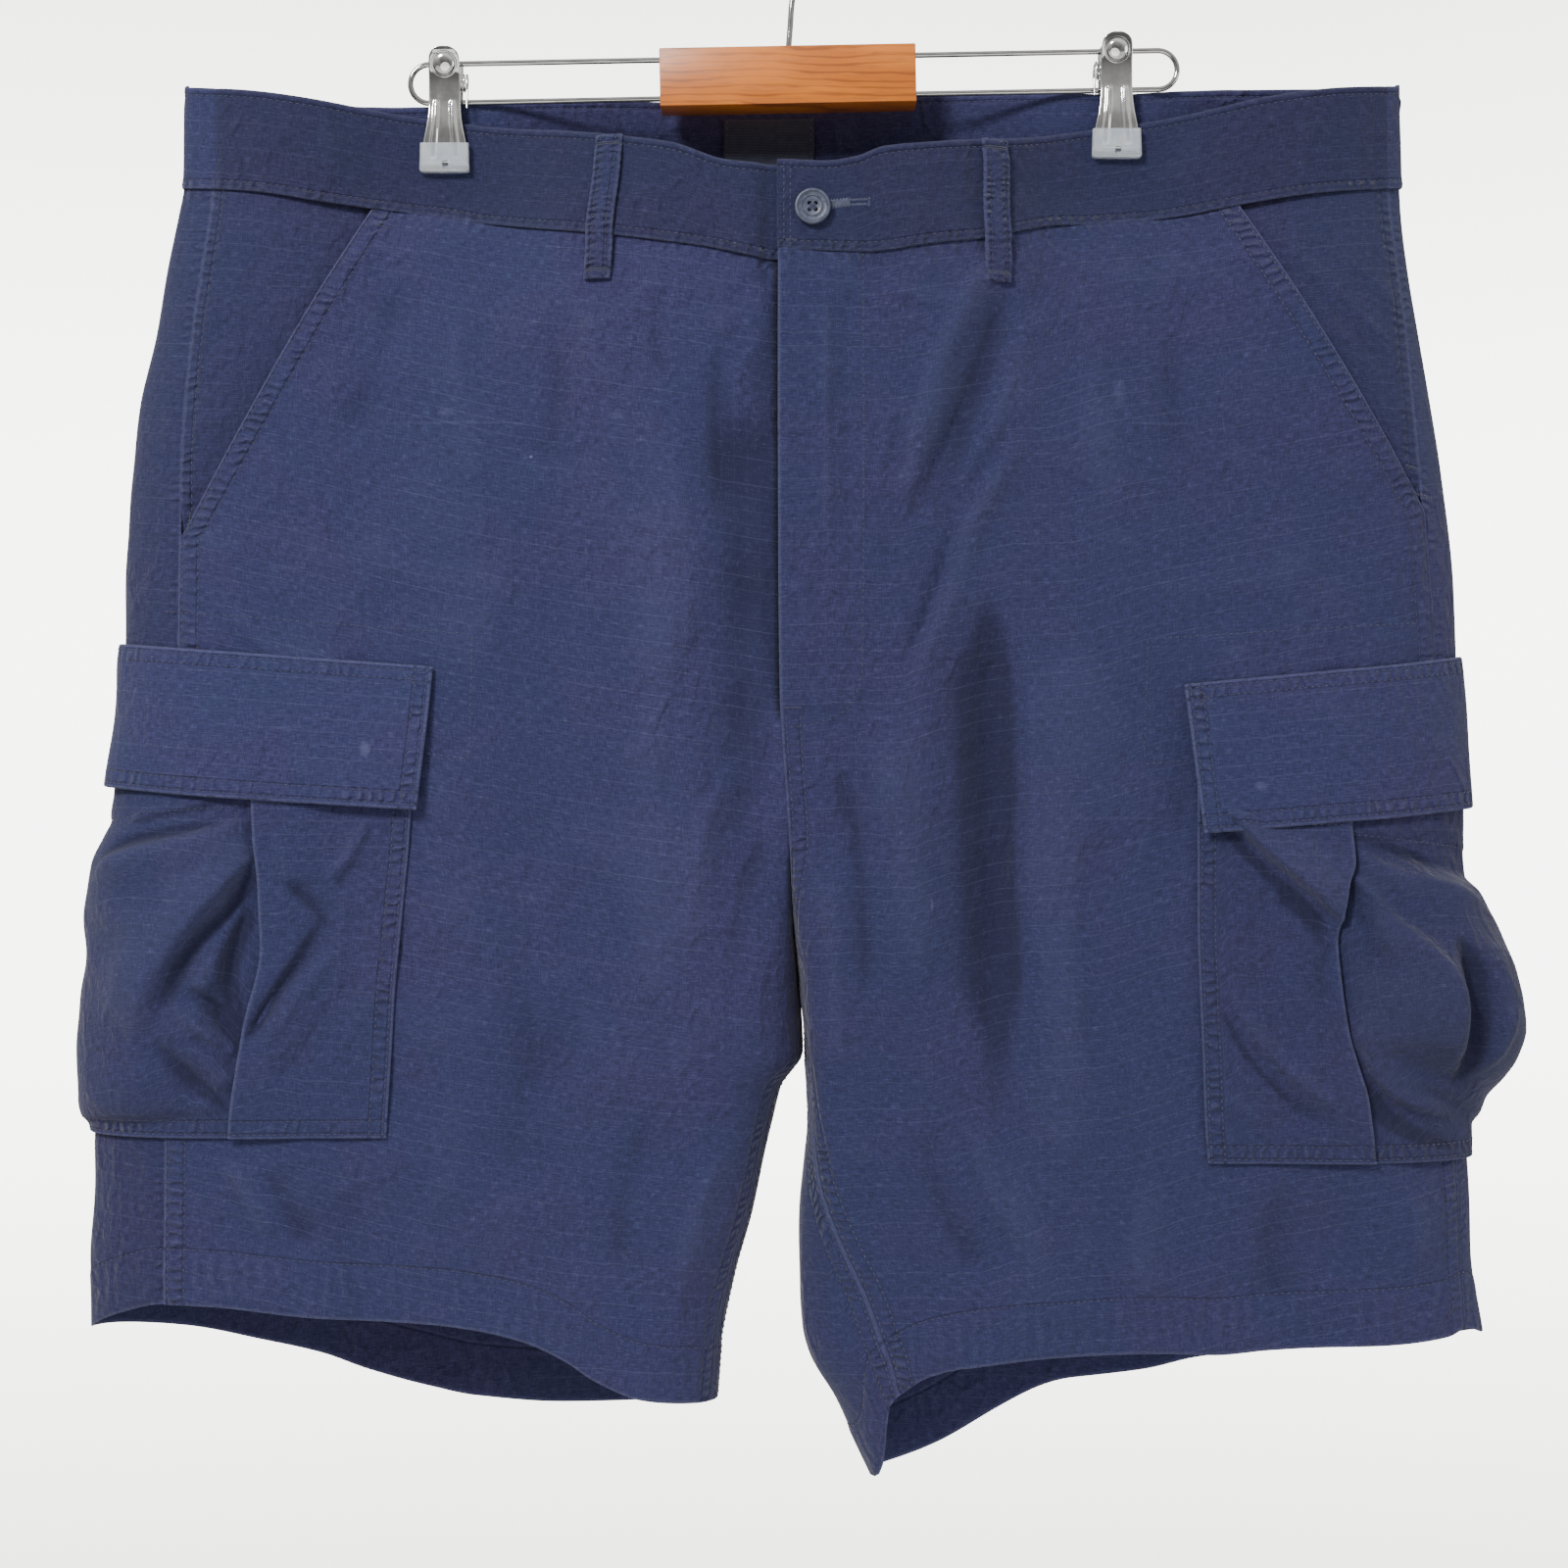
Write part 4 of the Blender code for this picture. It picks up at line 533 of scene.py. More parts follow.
def makeThreads(piece, material):
    dice = random.Random(threads["seed"] + len(piece))
    points, faces = [], []
    sides = threads["sides"]
    for line, ways, pitch, length, half, away in threadLines[piece]:
        steps = np.linalg.norm(np.diff(line, axis=0), axis=1)
        run = np.concatenate([[0.0], np.cumsum(steps)])
        for index in range(int(run[-1] / pitch)):
            middle = (index + 0.5) * pitch + dice.uniform(-0.12, 0.12)
            tall = half * dice.uniform(0.85, 1.15)
            ends = [np.array([np.interp(middle + part * length, run, line[:, axis])
                              for axis in range(3)]) for part in (-0.5, 0.0, 0.5)]
            way = np.array([np.interp(middle, run, ways[:, axis]) for axis in range(3)])
            way /= np.linalg.norm(way) + 1e-9
            along = ends[2] - ends[0]
            along /= np.linalg.norm(along) + 1e-9
            beside = np.cross(way, along)
            beside /= np.linalg.norm(beside) + 1e-9
            lift = threads["rise"] + away
            base = len(points)
            points.append(ends[0] + way * (lift - 0.35))
            for part, wide in ((0.28, 0.9), (0.72, 0.9)):
                centre = ends[0] * (1.0 - part) + ends[2] * part + way * lift
                for corner in range(sides):
                    turn = 2.0 * math.pi * corner / sides
                    points.append(centre + tall * wide * (beside * math.cos(turn)
                                                          + way * math.sin(turn)))
            points.append(ends[2] + way * (lift - 0.35))
            last = base + 1 + 2 * sides
            for corner in range(sides):
                after = (corner + 1) % sides
                faces.append((base, base + 1 + after, base + 1 + corner))
                faces.append((base + 1 + corner, base + 1 + after,
                              base + 1 + sides + after, base + 1 + sides + corner))
                faces.append((base + 1 + sides + corner, base + 1 + sides + after, last))
    name = piece + "_thread"
    mesh = bpy.data.meshes.new(name)
    mesh.from_pydata(((np.array(points) - (0.0, 0.0, rise)) * mm).tolist(), [], faces)
    mesh.materials.append(material)
    mesh.shade_smooth()
    made = bpy.data.objects.new(name, mesh)
    bpy.context.scene.collection.objects.link(made)
    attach(made, "root")
    return made


# materials
def wire(tree, source, target):
    tree.links.new(source, target)


def number(tree, kind, first, second=None, third=None, clamp=False):
    node = tree.nodes.new("ShaderNodeMath")
    node.operation = kind
    node.use_clamp = clamp
    for place, value in enumerate((first, second, third)):
        if value is None:
            continue
        if isinstance(value, (int, float)):
            node.inputs[place].default_value = value
        else:
            wire(tree, value, node.inputs[place])
    return node.outputs[0]


def spread(tree, value, low, high, toLow=0.0, toHigh=1.0):
    node = tree.nodes.new("ShaderNodeMapRange")
    node.interpolation_type = "SMOOTHSTEP"
    wire(tree, value, node.inputs["Value"])
    for word, amount in (("From Min", low), ("From Max", high), ("To Min", toLow),
                         ("To Max", toHigh)):
        node.inputs[word].default_value = amount
    return node.outputs["Result"]


def grain(tree, vector, scale, detail=2.0, rough=0.5, stretch=(1.0, 1.0, 1.0)):
    mapping = tree.nodes.new("ShaderNodeMapping")
    mapping.inputs["Scale"].default_value = stretch
    wire(tree, vector, mapping.inputs["Vector"])
    node = tree.nodes.new("ShaderNodeTexNoise")
    node.inputs["Scale"].default_value = scale
    node.inputs["Detail"].default_value = detail
    node.inputs["Roughness"].default_value = rough
    wire(tree, mapping.outputs["Vector"], node.inputs["Vector"])
    return node.outputs["Fac"]


def blendColour(tree, amount, first, second):
    node = tree.nodes.new("ShaderNodeMix")
    node.data_type = "RGBA"
    wire(tree, amount, node.inputs["Factor"])
    for place, value in ((6, first), (7, second)):
        if isinstance(value, tuple):
            node.inputs[place].default_value = value
        else:
            wire(tree, value, node.inputs[place])
    return node.outputs[2]


def attribute(tree, word):
    node = tree.nodes.new("ShaderNodeAttribute")
    node.attribute_name = word
    return node


def plus(tree, base, part, share):
    return number(tree, "ADD", base, number(tree, "MULTIPLY", part, share))


def apartFrom(tree, vector):
    node = tree.nodes.new("ShaderNodeSeparateXYZ")
    wire(tree, vector, node.inputs[0])
    return node.outputs


def newMaterial(name, roughness):
    made = bpy.data.materials.new(name)
    made.use_nodes = True
    tree = made.node_tree
    shader = tree.nodes["Principled BSDF"]
    shader.inputs["Roughness"].default_value = roughness
    return made, tree, shader, tree.nodes.new("ShaderNodeTexCoord").outputs["Object"]


def addBump(tree, shader, height, distance, strength=1.0):
    bump = tree.nodes.new("ShaderNodeBump")
    bump.inputs["Strength"].default_value = strength
    bump.inputs["Distance"].default_value = distance
    wire(tree, height, bump.inputs["Height"])
    wire(tree, bump.outputs["Normal"], shader.inputs["Normal"])


clothLook = {
    "deep": (0.0100, 0.0108, 0.038), "blue": (0.0240, 0.0300, 0.091),
    "purple": (0.0310, 0.0290, 0.094), "worn": (0.120, 0.130, 0.245),
    "roughness": 0.92, "sheen": 0.10, "sheenRoughness": 0.5, "ripstop": 0.0061,
    "slubColour": 0.26, "slubHeight": 0.00022, "threadHeight": 0.00012,
    "edgeWear": 0.24, "pucker": 0.00075, "groove": 0.00055, "crumple": 0.00080,
    "valleyShade": 0.85,
}


# woven cotton; each seam names the edge that it runs along, its rows and its puckers,
# and each mark gives its X, height, half width, half height and strength
def clothMaterial(name, seams=(), shade=1.0, marks=()):
    # shade scales every cloth colour of a piece: painted light and shade, giving lit and shaded
    # copies of the one cotton
    shades = {word: tuple(part * shade for part in clothLook[word]) + (1.0,)
              for word in ("deep", "blue", "purple", "worn")}
    made, tree, shader, place = newMaterial(name, clothLook["roughness"])
    shader.inputs["Sheen Weight"].default_value = clothLook["sheen"]
    shader.inputs["Sheen Roughness"].default_value = clothLook["sheenRoughness"]
    shader.inputs["Specular IOR Level"].default_value = 0.22
    weave = tree.nodes.new("ShaderNodeUVMap")
    weave.uv_map = "weave"
    uv = weave.outputs["UV"]

    slub = grain(tree, uv, 1.0, 3.0, 0.62, (230.0, 2000.0, 1.0))
    warp = grain(tree, uv, 1.0, 2.0, 0.6, (2100.0, 260.0, 1.0))
    fuzz = grain(tree, uv, 1.0, 3.0, 0.7, (900.0, 900.0, 1.0))
    cloud = grain(tree, place, 16.0, 4.0, 0.6)
    drift = grain(tree, place, 45.0, 3.0, 0.6)
    colour = blendColour(tree, spread(tree, cloud, 0.36, 0.66), shades["blue"],
                         shades["purple"])
    tone = plus(tree, number(tree, "MULTIPLY", slub, 0.6), warp, 0.4)
    colour = blendColour(tree, spread(tree, tone, 0.36, 0.62, 0.78, 0.0), colour,
                         shades["deep"])
    apart = apartFrom(tree, uv)
    ribs = []
    for axis, stretch in ((1, (11.0, 620.0, 1.0)), (0, (620.0, 16.0, 1.0))):
        part = number(tree, "FRACT", number(tree, "MULTIPLY", apart[axis],
                                            1.0 / clothLook["ripstop"]))
        off = number(tree, "ABSOLUTE", number(tree, "SUBTRACT", part, 0.5))
        shown = spread(tree, grain(tree, uv, 1.0, 2.0, 0.6, stretch), 0.36, 0.66, 0.12)
        ribs.append(number(tree, "MULTIPLY", spread(tree, off, 0.02, 0.075, 1.0, 0.0), shown))
    rib = plus(tree, ribs[0], ribs[1], 0.30)
    # painted shade: crease valleys and the painted shade lines (fold below -0.4) are blended
    # towards the deep navy; crease ridges (fold above 0.3) are made a little lighter
    fold = attribute(tree, "fold").outputs["Fac"]
    colour = blendColour(tree, spread(tree, fold, -5.2, -0.4, clothLook["valleyShade"], 0.0), colour,
                         shades["deep"])
    worn = spread(tree, fold, 0.3, 3.0, 0.0, 0.05)
    worn = number(tree, "ADD", worn, spread(tree, tone, 0.52, 0.72, 0.0, clothLook["slubColour"]))
    worn = number(tree, "ADD", worn, spread(tree, drift, 0.55, 0.85, 0.0, 0.05))
    worn = plus(tree, worn, rib, 0.12)
    if marks:
        apart = apartFrom(tree, place)
        broken = spread(tree, fuzz, 0.3, 0.65, 0.5, 1.0)
    for x, z, halfWidth, halfHeight, strength in marks:
        parts = []
        for source, middle, half in ((apart[0], x, halfWidth),
                                     (apart[2], z - rise, halfHeight)):
            off = number(tree, "MULTIPLY_ADD", source, 1.0 / (half * mm), -middle / half)
            parts.append(number(tree, "MULTIPLY", off, off))
        spotHere = spread(tree, number(tree, "ADD", *parts), 0.0, 1.0, strength, 0.0)
        worn = plus(tree, worn, spotHere, broken)

    height = number(tree, "MULTIPLY", slub, clothLook["slubHeight"])
    for part, share in ((rib, 0.00010), (warp, clothLook["slubHeight"] * 0.7),
                        (fuzz, clothLook["threadHeight"])):
        height = plus(tree, height, part, share)
    for stretch, size in (((62.0, 62.0, 40.0), 1.0), ((150.0, 150.0, 90.0), 0.4)):
        wrinkle = grain(tree, place, 1.0, 2.0, 0.5, stretch)
        wrinkle = number(tree, "ABSOLUTE", number(tree, "SUBTRACT", wrinkle, 0.5))
        wrinkle = number(tree, "MULTIPLY", spread(tree, wrinkle, 0.0, 0.12, 1.0, 0.0),
                         spread(tree, cloud, 0.40, 0.60, 0.15, 1.0))
        height = plus(tree, height, wrinkle, clothLook["crumple"] * size)
    split = {word: apartFrom(tree, attribute(tree, word).outputs["Vector"])
             for word in ("sides", "ends")}
    for seam in seams:
        word = "sides" if seam["on"] in ("left", "right") else "ends"
        away = split[word][0 if seam["on"] in ("left", "top") else 1]
        along = split[word][2]
        # painted shadow: a near-black strip along the edge, where the cloth dips under the fly
        if "shadow" in seam:
            gap = spread(tree, away, 0.0, seam["shadow"], 1.0, 0.0)
            gap = number(tree, "MULTIPLY", gap, spread(tree, along, seam["from"], seam["to"],
                                                       1.0, 0.0))
            colour = blendColour(tree, gap, colour, (0.003, 0.0035, 0.010, 1.0))
            continue
        if "from" in seam:
            gate = number(tree, "MULTIPLY",
                          spread(tree, along, seam["from"] - 4.0, seam["from"] + 4.0),
                          spread(tree, along, seam["to"] - 4.0, seam["to"] + 4.0, 1.0, 0.0))
        else:
            gate = None
        ripple = number(tree, "MULTIPLY", number(tree, "SUBTRACT", drift, 0.5), 14.0)
        turn = number(tree, "MULTIPLY", number(tree, "ADD", along, ripple),
                      6.2832 / seam.get("pitch", 5.2))
        swing = number(tree, "SINE", turn)
        inside = number(tree, "MULTIPLY",
                        spread(tree, away, seam["near"] - 1.6, seam["near"] + 1.4),
                        spread(tree, away, seam["far"] - 1.4, seam["far"] + 1.8, 1.0, 0.0))
        strength = seam.get("pucker", 1.0)
        patchy = spread(tree, drift, 0.38, 0.62, 0.15, 1.0)
        ladder = number(tree, "MULTIPLY", number(tree, "MULTIPLY", swing, inside), patchy)
        if gate is not None:
            ladder = number(tree, "MULTIPLY", ladder, gate)
        height = plus(tree, height, ladder, clothLook["pucker"] * strength)
        worn = plus(tree, worn, ladder, 0.10 * strength)
        for row in seam.get("rows", (seam["near"], seam["far"])):
            off = number(tree, "ABSOLUTE", number(tree, "SUBTRACT", away, row))
            dip = spread(tree, off, 0.1, 1.3, 1.0, 0.0)
            if gate is not None:
                dip = number(tree, "MULTIPLY", dip, gate)
            height = number(tree, "SUBTRACT", height,
                            number(tree, "MULTIPLY", dip, clothLook["groove"]))
            worn = number(tree, "SUBTRACT", worn, number(tree, "MULTIPLY", dip, 0.18))
        edge = number(tree, "MULTIPLY", spread(tree, away, 0.1, 1.5, 1.0, 0.0),
                      spread(tree, fuzz, 0.3, 0.62, 0.25, 1.0))
        edge = number(tree, "MULTIPLY", edge, clothLook["edgeWear"] * seam.get("wear", 1.0))
        if gate is not None:
            edge = number(tree, "MULTIPLY", edge, gate)
        worn = number(tree, "ADD", worn, edge)
    worn = number(tree, "MAXIMUM", worn, 0.0, clamp=True)
    colour = blendColour(tree, worn, colour, shades["worn"])
    wire(tree, colour, shader.inputs["Base Color"])
    addBump(tree, shader, height, 1.0)
    return made


def threadMaterial(name, colour):
    made, tree, shader, place = newMaterial(name, 0.75)
    shader.inputs["Sheen Weight"].default_value = 0.3
    tone = grain(tree, place, 260.0, 2.0, 0.6)
    paler = tuple(min(1.0, part * 1.7) for part in colour[:3]) + (1.0,)
    wire(tree, blendColour(tree, spread(tree, tone, 0.4, 0.7), colour, paler),
         shader.inputs["Base Color"])
    return made


navyThread = threadMaterial("navy thread", (0.0105, 0.0130, 0.043, 1.0))
paleThread = threadMaterial("grey-blue thread", (0.026, 0.032, 0.068, 1.0))

# fronts: how fine, and where the rows of stitches run
front = {
    "rows": 190, "cells": 108, "thick": 1.2,
    "slant": {"right": ((-196.0, -142.0), (-281.4, -299.0)),
              "left": ((211.0, -143.0), (303.0, -299.0))},
    "gape": {"right": 1.2, "left": 3.4},
    "sideRows": (1.4, 9.2), "hemHeight": 25.5, "hemRise": 0.55, "felledRise": 0.5,
    "gapeReach": 20.0, "flyLow": -385.0, "flyWidth": 40.5, "flyStep": 0.5, "lap": 1.5,
    "lapReach": 12.0, "underSink": 3.4, "underReach": 5.0, "creased": 1.5,
    "waves": (0.6, 26.0, 90.0), "seeds": {"right": 11, "left": 12},
    "seatRows": {"right": (2.0, 7.6), "left": (2.2, 8.6)},
    "seatRowsFrom": {"right": 372.0, "left": 214.0},
}
# shade painted where the cloth turns away, given in the form of creases
shadowLines = {
    "front": {
        "right": ((((-13, -165), (-12, -280), (-9, -400)), 9.0, -2.4, 0.4),
                  (((-78, -165), (-48, -250), (-24, -330)), 13.0, -1.4, 0.2),
                  (((-200, -590), (-206, -630), (-200, -670)), 9.0, -1.2, 0.0),
                  (((-130, -150), (-60, -164), (0, -170)), 6.0, -1.2, 0.0),
                  (((-86, -146), (-80, -190), (-74, -250)), 8.0, -1.2, 0.0)),
        "left": ((((94, -300), (93, -400), (97, -500), (98, -600)), 12.0, -3.4, 0.0),
                 (((104, -190), (82, -250), (60, -320)), 6.0, -2.0, 0.2),
                 (((0, -172), (60, -170), (130, -156)), 7.0, -1.6, 0.0),
                 (((110, -158), (170, -150), (240, -142)), 7.0, -1.4, 0.0),
                 (((20, -400), (32, -470), (34, -540)), 8.0, -1.4, 0.0)),
    },
    "flat": {
        "right": ((((-214, -474), (-232, -502), (-256, -542)), 2.6, -4.4, 0.0),
                  (((-232, -462), (-222, -468), (-210, -484)), 2.6, -3.2, 0.0),
                  (((-198, -446), (-206, -456), (-214, -466)), 2.2, -2.6, 0.0)),
        "left": ((((190, -422), (214, -449), (230, -464), (252, -486)), 2.6, -11.0, 0.0),
                 (((222, -462), (236, -474), (250, -492)), 4.6, -4.4, 0.0),
                 (((196, -512), (212, -540), (240, -570)), 2.6, -4.0, 0.0)),
    },
    "full": {
        "right": ((((92, -442), (76, -468), (62, -490), (50, -530)), 3.0, -6.4, 0.0),
                  (((90, -470), (78, -486), (76, -504), (90, -540)), 3.0, -4.4, 0.0),
                  (((96, -549), (80, -531), (66, -512)), 2.6, -8.0, 0.0),
                  (((16, -452), (38, -441), (74, -430)), 3.0, -5.0, 0.0),
                  (((84, -470), (74, -490), (70, -520)), 2.2, -3.2, 0.0),
                  (((28, -433), (48, -428), (72, -421)), 2.6, -7.0, 0.0),
                  (((86, -570), (68, -556), (54, -536)), 3.0, -3.4, 0.0)),
        "left": ((((39, -478), (35, -509), (34, -530), (33, -558)), 3.6, -8.0, 0.0),
                 (((92, -540), (68, -553), (57, -570), (46, -578), (16, -586)), 3.0, -12.0, 0.0),
                 (((74, -452), (60, -470), (48, -490), (42, -520)), 2.4, -4.4, 0.0),
                 (((76, -448), (67, -464), (63, -484)), 4.0, -4.0, 0.0),
                 (((80, -436), (60, -441), (30, -456)), 3.6, -2.6, 0.0)),
    },
}
frontCreases = {
    "right": (
        (((-22, -186), (-22, -340), (-28, -480)), 17.0, -2.4, 0.0),
        (((-52, -240), (-54, -360), (-60, -520)), 20.0, 1.6, 0.0),
        (((-60, -176), (-78, -196), (-100, -204)), 4.0, 1.0, 0.3),
        (((-14, -180), (-26, -190), (-44, -196)), 3.2, -1.0, 0.2),
        (((-12, -204), (-22, -222), (-26, -250)), 3.6, 1.1, 0.3),
        (((-130, -250), (-112, -262), (-86, -262)), 7.0, -0.8, 0.2),
        (((-230, -372), (-250, -380), (-276, -378)), 6.0, 0.9, 0.2),
        (((-262, -330), (-238, -352), (-196, -362)), 9.0, 1.5, 0.2),
        (((-120, -190), (-108, -226), (-116, -272)), 8.0, -1.5, 0.3),
        (((-96, -188), (-90, -215), (-78, -240)), 6.0, 1.2, 0.0),
        (((-40, -182), (-28, -214), (-22, -262)), 6.0, 1.3, 0.3),
        (((-58, -184), (-62, -205), (-56, -236)), 4.5, -1.1, 0.2),
        (((-24, -196), (-34, -232), (-30, -300)), 5.0, -1.2, 0.3),
        (((-150, -184), (-156, -222), (-140, -290)), 10.0, 1.3, 0.2),
        (((-182, -176), (-190, -214), (-214, -268)), 9.0, -1.3, 0.2),
        (((-206, -300), (-170, -318), (-120, -322)), 12.0, 1.2, 0.2),
        (((-30, -330), (-52, -372), (-58, -440)), 9.0, -1.5, 0.3),
        (((-18, -392), (-40, -436), (-48, -500)), 8.0, 1.8, 0.35),
        (((-8, -430), (-22, -470), (-26, -520)), 6.0, -1.6, 0.3),
        (((-90, -420), (-112, -470), (-110, -540)), 12.0, 1.3, 0.2),
        (((-130, -470), (-122, -540), (-134, -610)), 10.0, -1.3, 0.2),
        (((-242, -592), (-234, -611), (-222, -632)), 8.0, -2.2, 0.45),
        (((-262, -586), (-250, -606), (-240, -628)), 7.0, 1.9, 0.3),
        (((-150, -588), (-168, -616), (-176, -646)), 9.0, 1.3, 0.2),
        (((-60, -560), (-78, -606), (-80, -652)), 9.0, -1.7, 0.3),
        (((-30, -580), (-46, -620), (-52, -668)), 7.0, 1.7, 0.3),
        (((-296, -590), (-308, -600), (-318, -612)), 4.0, -1.1, 0.2),
        (((-292, -606), (-304, -618), (-314, -634)), 4.0, 1.0, 0.2),
    ),
    "left": (
        (((82, -330), (90, -430), (96, -570)), 20.0, -3.0, 0.3),
        (((124, -340), (126, -450), (128, -600)), 20.0, 1.8, 0.0),
        (((98, -158), (67, -224), (50, -296)), 7.5, 2.2, 0.35),
        (((40, -176), (58, -190), (84, -192)), 4.0, 1.0, 0.3),
        (((128, -166), (116, -186), (110, -216)), 4.5, -1.1, 0.3),
        (((142, -172), (170, -178), (190, -172)), 5.0, 0.9, 0.2),
        (((4, -214), (16, -222), (32, -224)), 2.8, 0.8, 0.2),
        (((10, -236), (22, -250), (34, -256)), 3.0, -0.7, 0.2),
        (((104, -176), (82, -234), (50, -302)), 6.0, -2.4, 0.35),
        (((118, -186), (92, -250), (70, -318)), 7.0, 1.8, 0.3),
        (((110, -236), (79, -284), (65, -327), (46, -371)), 3.6, -2.4, 0.45),
        (((116, -244), (86, -290), (72, -330), (52, -372)), 4.5, 2.0, 0.3),
        (((90, -312), (93, -396), (95, -530)), 8.0, -2.6, 0.3),
        (((106, -330), (110, -410), (112, -540)), 9.0, 1.9, 0.25),
        (((18, -176), (17, -240), (19, -345)), 3.4, 1.3, 0.0),
        (((27, -180), (26, -240), (27, -340)), 3.0, -0.9, 0.0),
        (((51, -236), (47, -280), (44, -330)), 5.0, -1.3, 0.3),
        (((8, -176), (20, -186), (34, -190)), 2.6, 0.9, 0.2),
        (((6, -186), (16, -197), (30, -202)), 2.6, -0.8, 0.2),
        (((150, -186), (140, -240), (150, -300)), 12.0, 1.5, 0.2),
        (((196, -170), (178, -214), (180, -280)), 10.0, -1.4, 0.2),
        (((254, -300), (214, -322), (150, -326)), 12.0, 1.3, 0.2),
        (((40, -392), (54, -440), (62, -520)), 9.0, 1.8, 0.3),
        (((22, -400), (32, -452), (36, -520)), 7.0, -1.9, 0.35),
        (((150, -420), (138, -480), (142, -560)), 12.0, -1.5, 0.2),
        (((12, -450), (20, -500), (22, -556)), 5.0, 1.4, 0.3),
        (((60, -570), (72, -612), (96, -650)), 9.0, -2.0, 0.3),
        (((78, -560), (96, -604), (122, -646)), 9.0, 1.8, 0.3),
        (((168, -590), (160, -626), (170, -660)), 10.0, 1.5, 0.2),
        (((232, -596), (222, -630), (228, -660)), 10.0, -1.6, 0.2),
        (((286, -598), (292, -618), (290, -646)), 6.0, 1.2, 0.2),
        (((70, -672), (84, -684), (98, -688)), 3.0, 1.0, 0.3),
        (((64, -680), (76, -690), (88, -700)), 3.0, -1.0, 0.3),
    ),
}


def slantShare(leg, level):
    seam = seamShare(leg, "sideSeam", level)
    (topX, topZ), (endX, endZ) = front["slant"][leg["side"]]
    share = seam.copy()
    for _ in range(24):
        z = heightAt(leg, "front", share, level)
        down = np.clip((z - topZ) / (endZ - topZ), 0.0, 1.0)
        x = topX + (endX - topX) * down
        outer = legAt(leg, "outer", z)
        found = np.where(down < 1.0, (x - outer) / (legAt(leg, "inner", z) - outer), seam)
        share = 0.5 * share + 0.5 * np.maximum(found, seam)
    return share


def foldedHem(away):
    return front["hemRise"] * ease((front["hemHeight"] - away["bottom"]) / 2.0)


def makeFront(leg):
    side = leg["side"]
    level = np.linspace(0.0, 1.0, front["rows"] + 1)
    width = abs(legAt(leg, "outer", hang["middleZ"]))
    start = slantShare(leg, level) + halfSeam / width
    end = seamShare(leg, "inseam", level) - halfSeam / width * (level > hang["crotchLevel"])
    even = np.linspace(0.0, 1.0, front["cells"] + 1)
    across = even - 0.06 * np.sin(2.0 * math.pi * even)
    share = start[:, None] + (end - start)[:, None] * across[None, :]
    points = formPoint(leg, "front", share, level[:, None])
    x, z = points[..., 0], points[..., 2]
    away = measured(points)
    (topX, topZ), (endX, endZ) = front["slant"][side]
    down = np.clip((z - topZ) / (endZ - topZ), 0.0, 1.0)
    fromSlant = (x - topX - (endX - topX) * down) * leg["inward"]
    gape = front["gape"][side] * np.sin(math.pi * down)
    gape = gape * np.exp(-np.abs(fromSlant) / front["gapeReach"])
    creases = front["creased"] * creaseField(frontCreases[side], x, z)
    creases = creases + softWaves(front["seeds"][side], x, z, *front["waves"])
    calm = ease(away["left"] / 14.0) * ease(away["right"] / 9.0) * ease(away["top"] / 10.0)
    calm = calm * (0.35 + 0.65 * ease(away["bottom"] / 30.0))
    low = ease((z - front["flyLow"]) / 10.0)
    if side == "left":
        lap = front["lap"] * np.exp(-(away["right"] / front["lapReach"]) ** 2) * low
        lap = lap + front["flyStep"] * ease((front["flyWidth"] - away["right"]) / 2.5) * low
    else:
        tucked = ease((13.0 - away["right"]) / 8.0) * (1.0 - ease((away["top"] - 6.0) / 24.0))
        edge = np.exp(-(away["right"] / front["underReach"]) ** 2)
        lap = -front["underSink"] * np.maximum(edge, tucked) * low
    hem = foldedHem(away)
    felled = front["felledRise"] * ease((front["sideRows"][1] + 1.0 - away["left"]) / 2.0)
    lift = gape + creases * calm + lap + hem + felled
    panel = panelFrom(points, (0.0, -1.0, 0.0), lift)
    # fold: crease heights, part of the large drape folds and the painted shade lines, painted
    # darker in the valleys
    panel["fold"] = (creases * calm + relief(largeFolds["front"], x, z) * 0.35
                     + creaseField(shadowLines["front"][side], x, z))
    piece = sewShell("shorts_front_" + side, panel, front["thick"], frontCloth[side])
    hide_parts("front_" + side)
    makeFrontStitches(side, panel)
    return panel, piece


def makeFrontStitches(side, panel):
    piece = "shorts_front_" + side
    for row in front["sideRows"]:
        stitchAlong(piece, *lineAcross(panel, "left", row))
    stitchAlong(piece, *lineAcross(panel, "bottom", front["hemHeight"]))
    for row in front["seatRows"][side]:
        stitchAlong(piece, *lineAcross(panel, "right", row, front["seatRowsFrom"][side]))
    if side == "left":
        stitchAlong(piece, *lineOn(panel, flyStitch["curve"]))
        stitchAlong(piece, *lineOn(panel, flyStitch["tack"]), pitch=0.8, length=1.9, half=0.35)
    for corners in patchStitch[side]:
        stitchAlong(piece, *lineOn(panel, corners))


flyStitch = {
    "curve": ((34, -169), (34.5, -250), (34, -340), (34, -360), (32.5, -369), (29, -377),
              (25, -381), (20, -384), (8, -387.5), (-2, -388)),
    "tack": ((-3, -379), (6, -379)),
}
patchStitch = {
    "right": (((-290, -334), (-146, -345)), ((-146, -345), (-148, -404)),
              ((-168, -400), (-147, -403))),
    "left": (((292, -339.5), (166, -347)), ((166, -347), (164, -405)),
             ((164, -405), (188, -403))),
}
frontSeams = [
    {"on": "left", "near": 1.4, "far": 9.2, "pitch": 5.0},
    {"on": "bottom", "near": 3.0, "far": 25.5, "rows": (25.5,), "pitch": 7.5, "pucker": 0.35},
    {"on": "top", "near": 0.2, "far": 6.0, "rows": (), "pitch": 6.5, "pucker": 0.7,
     "wear": 0.0},
]
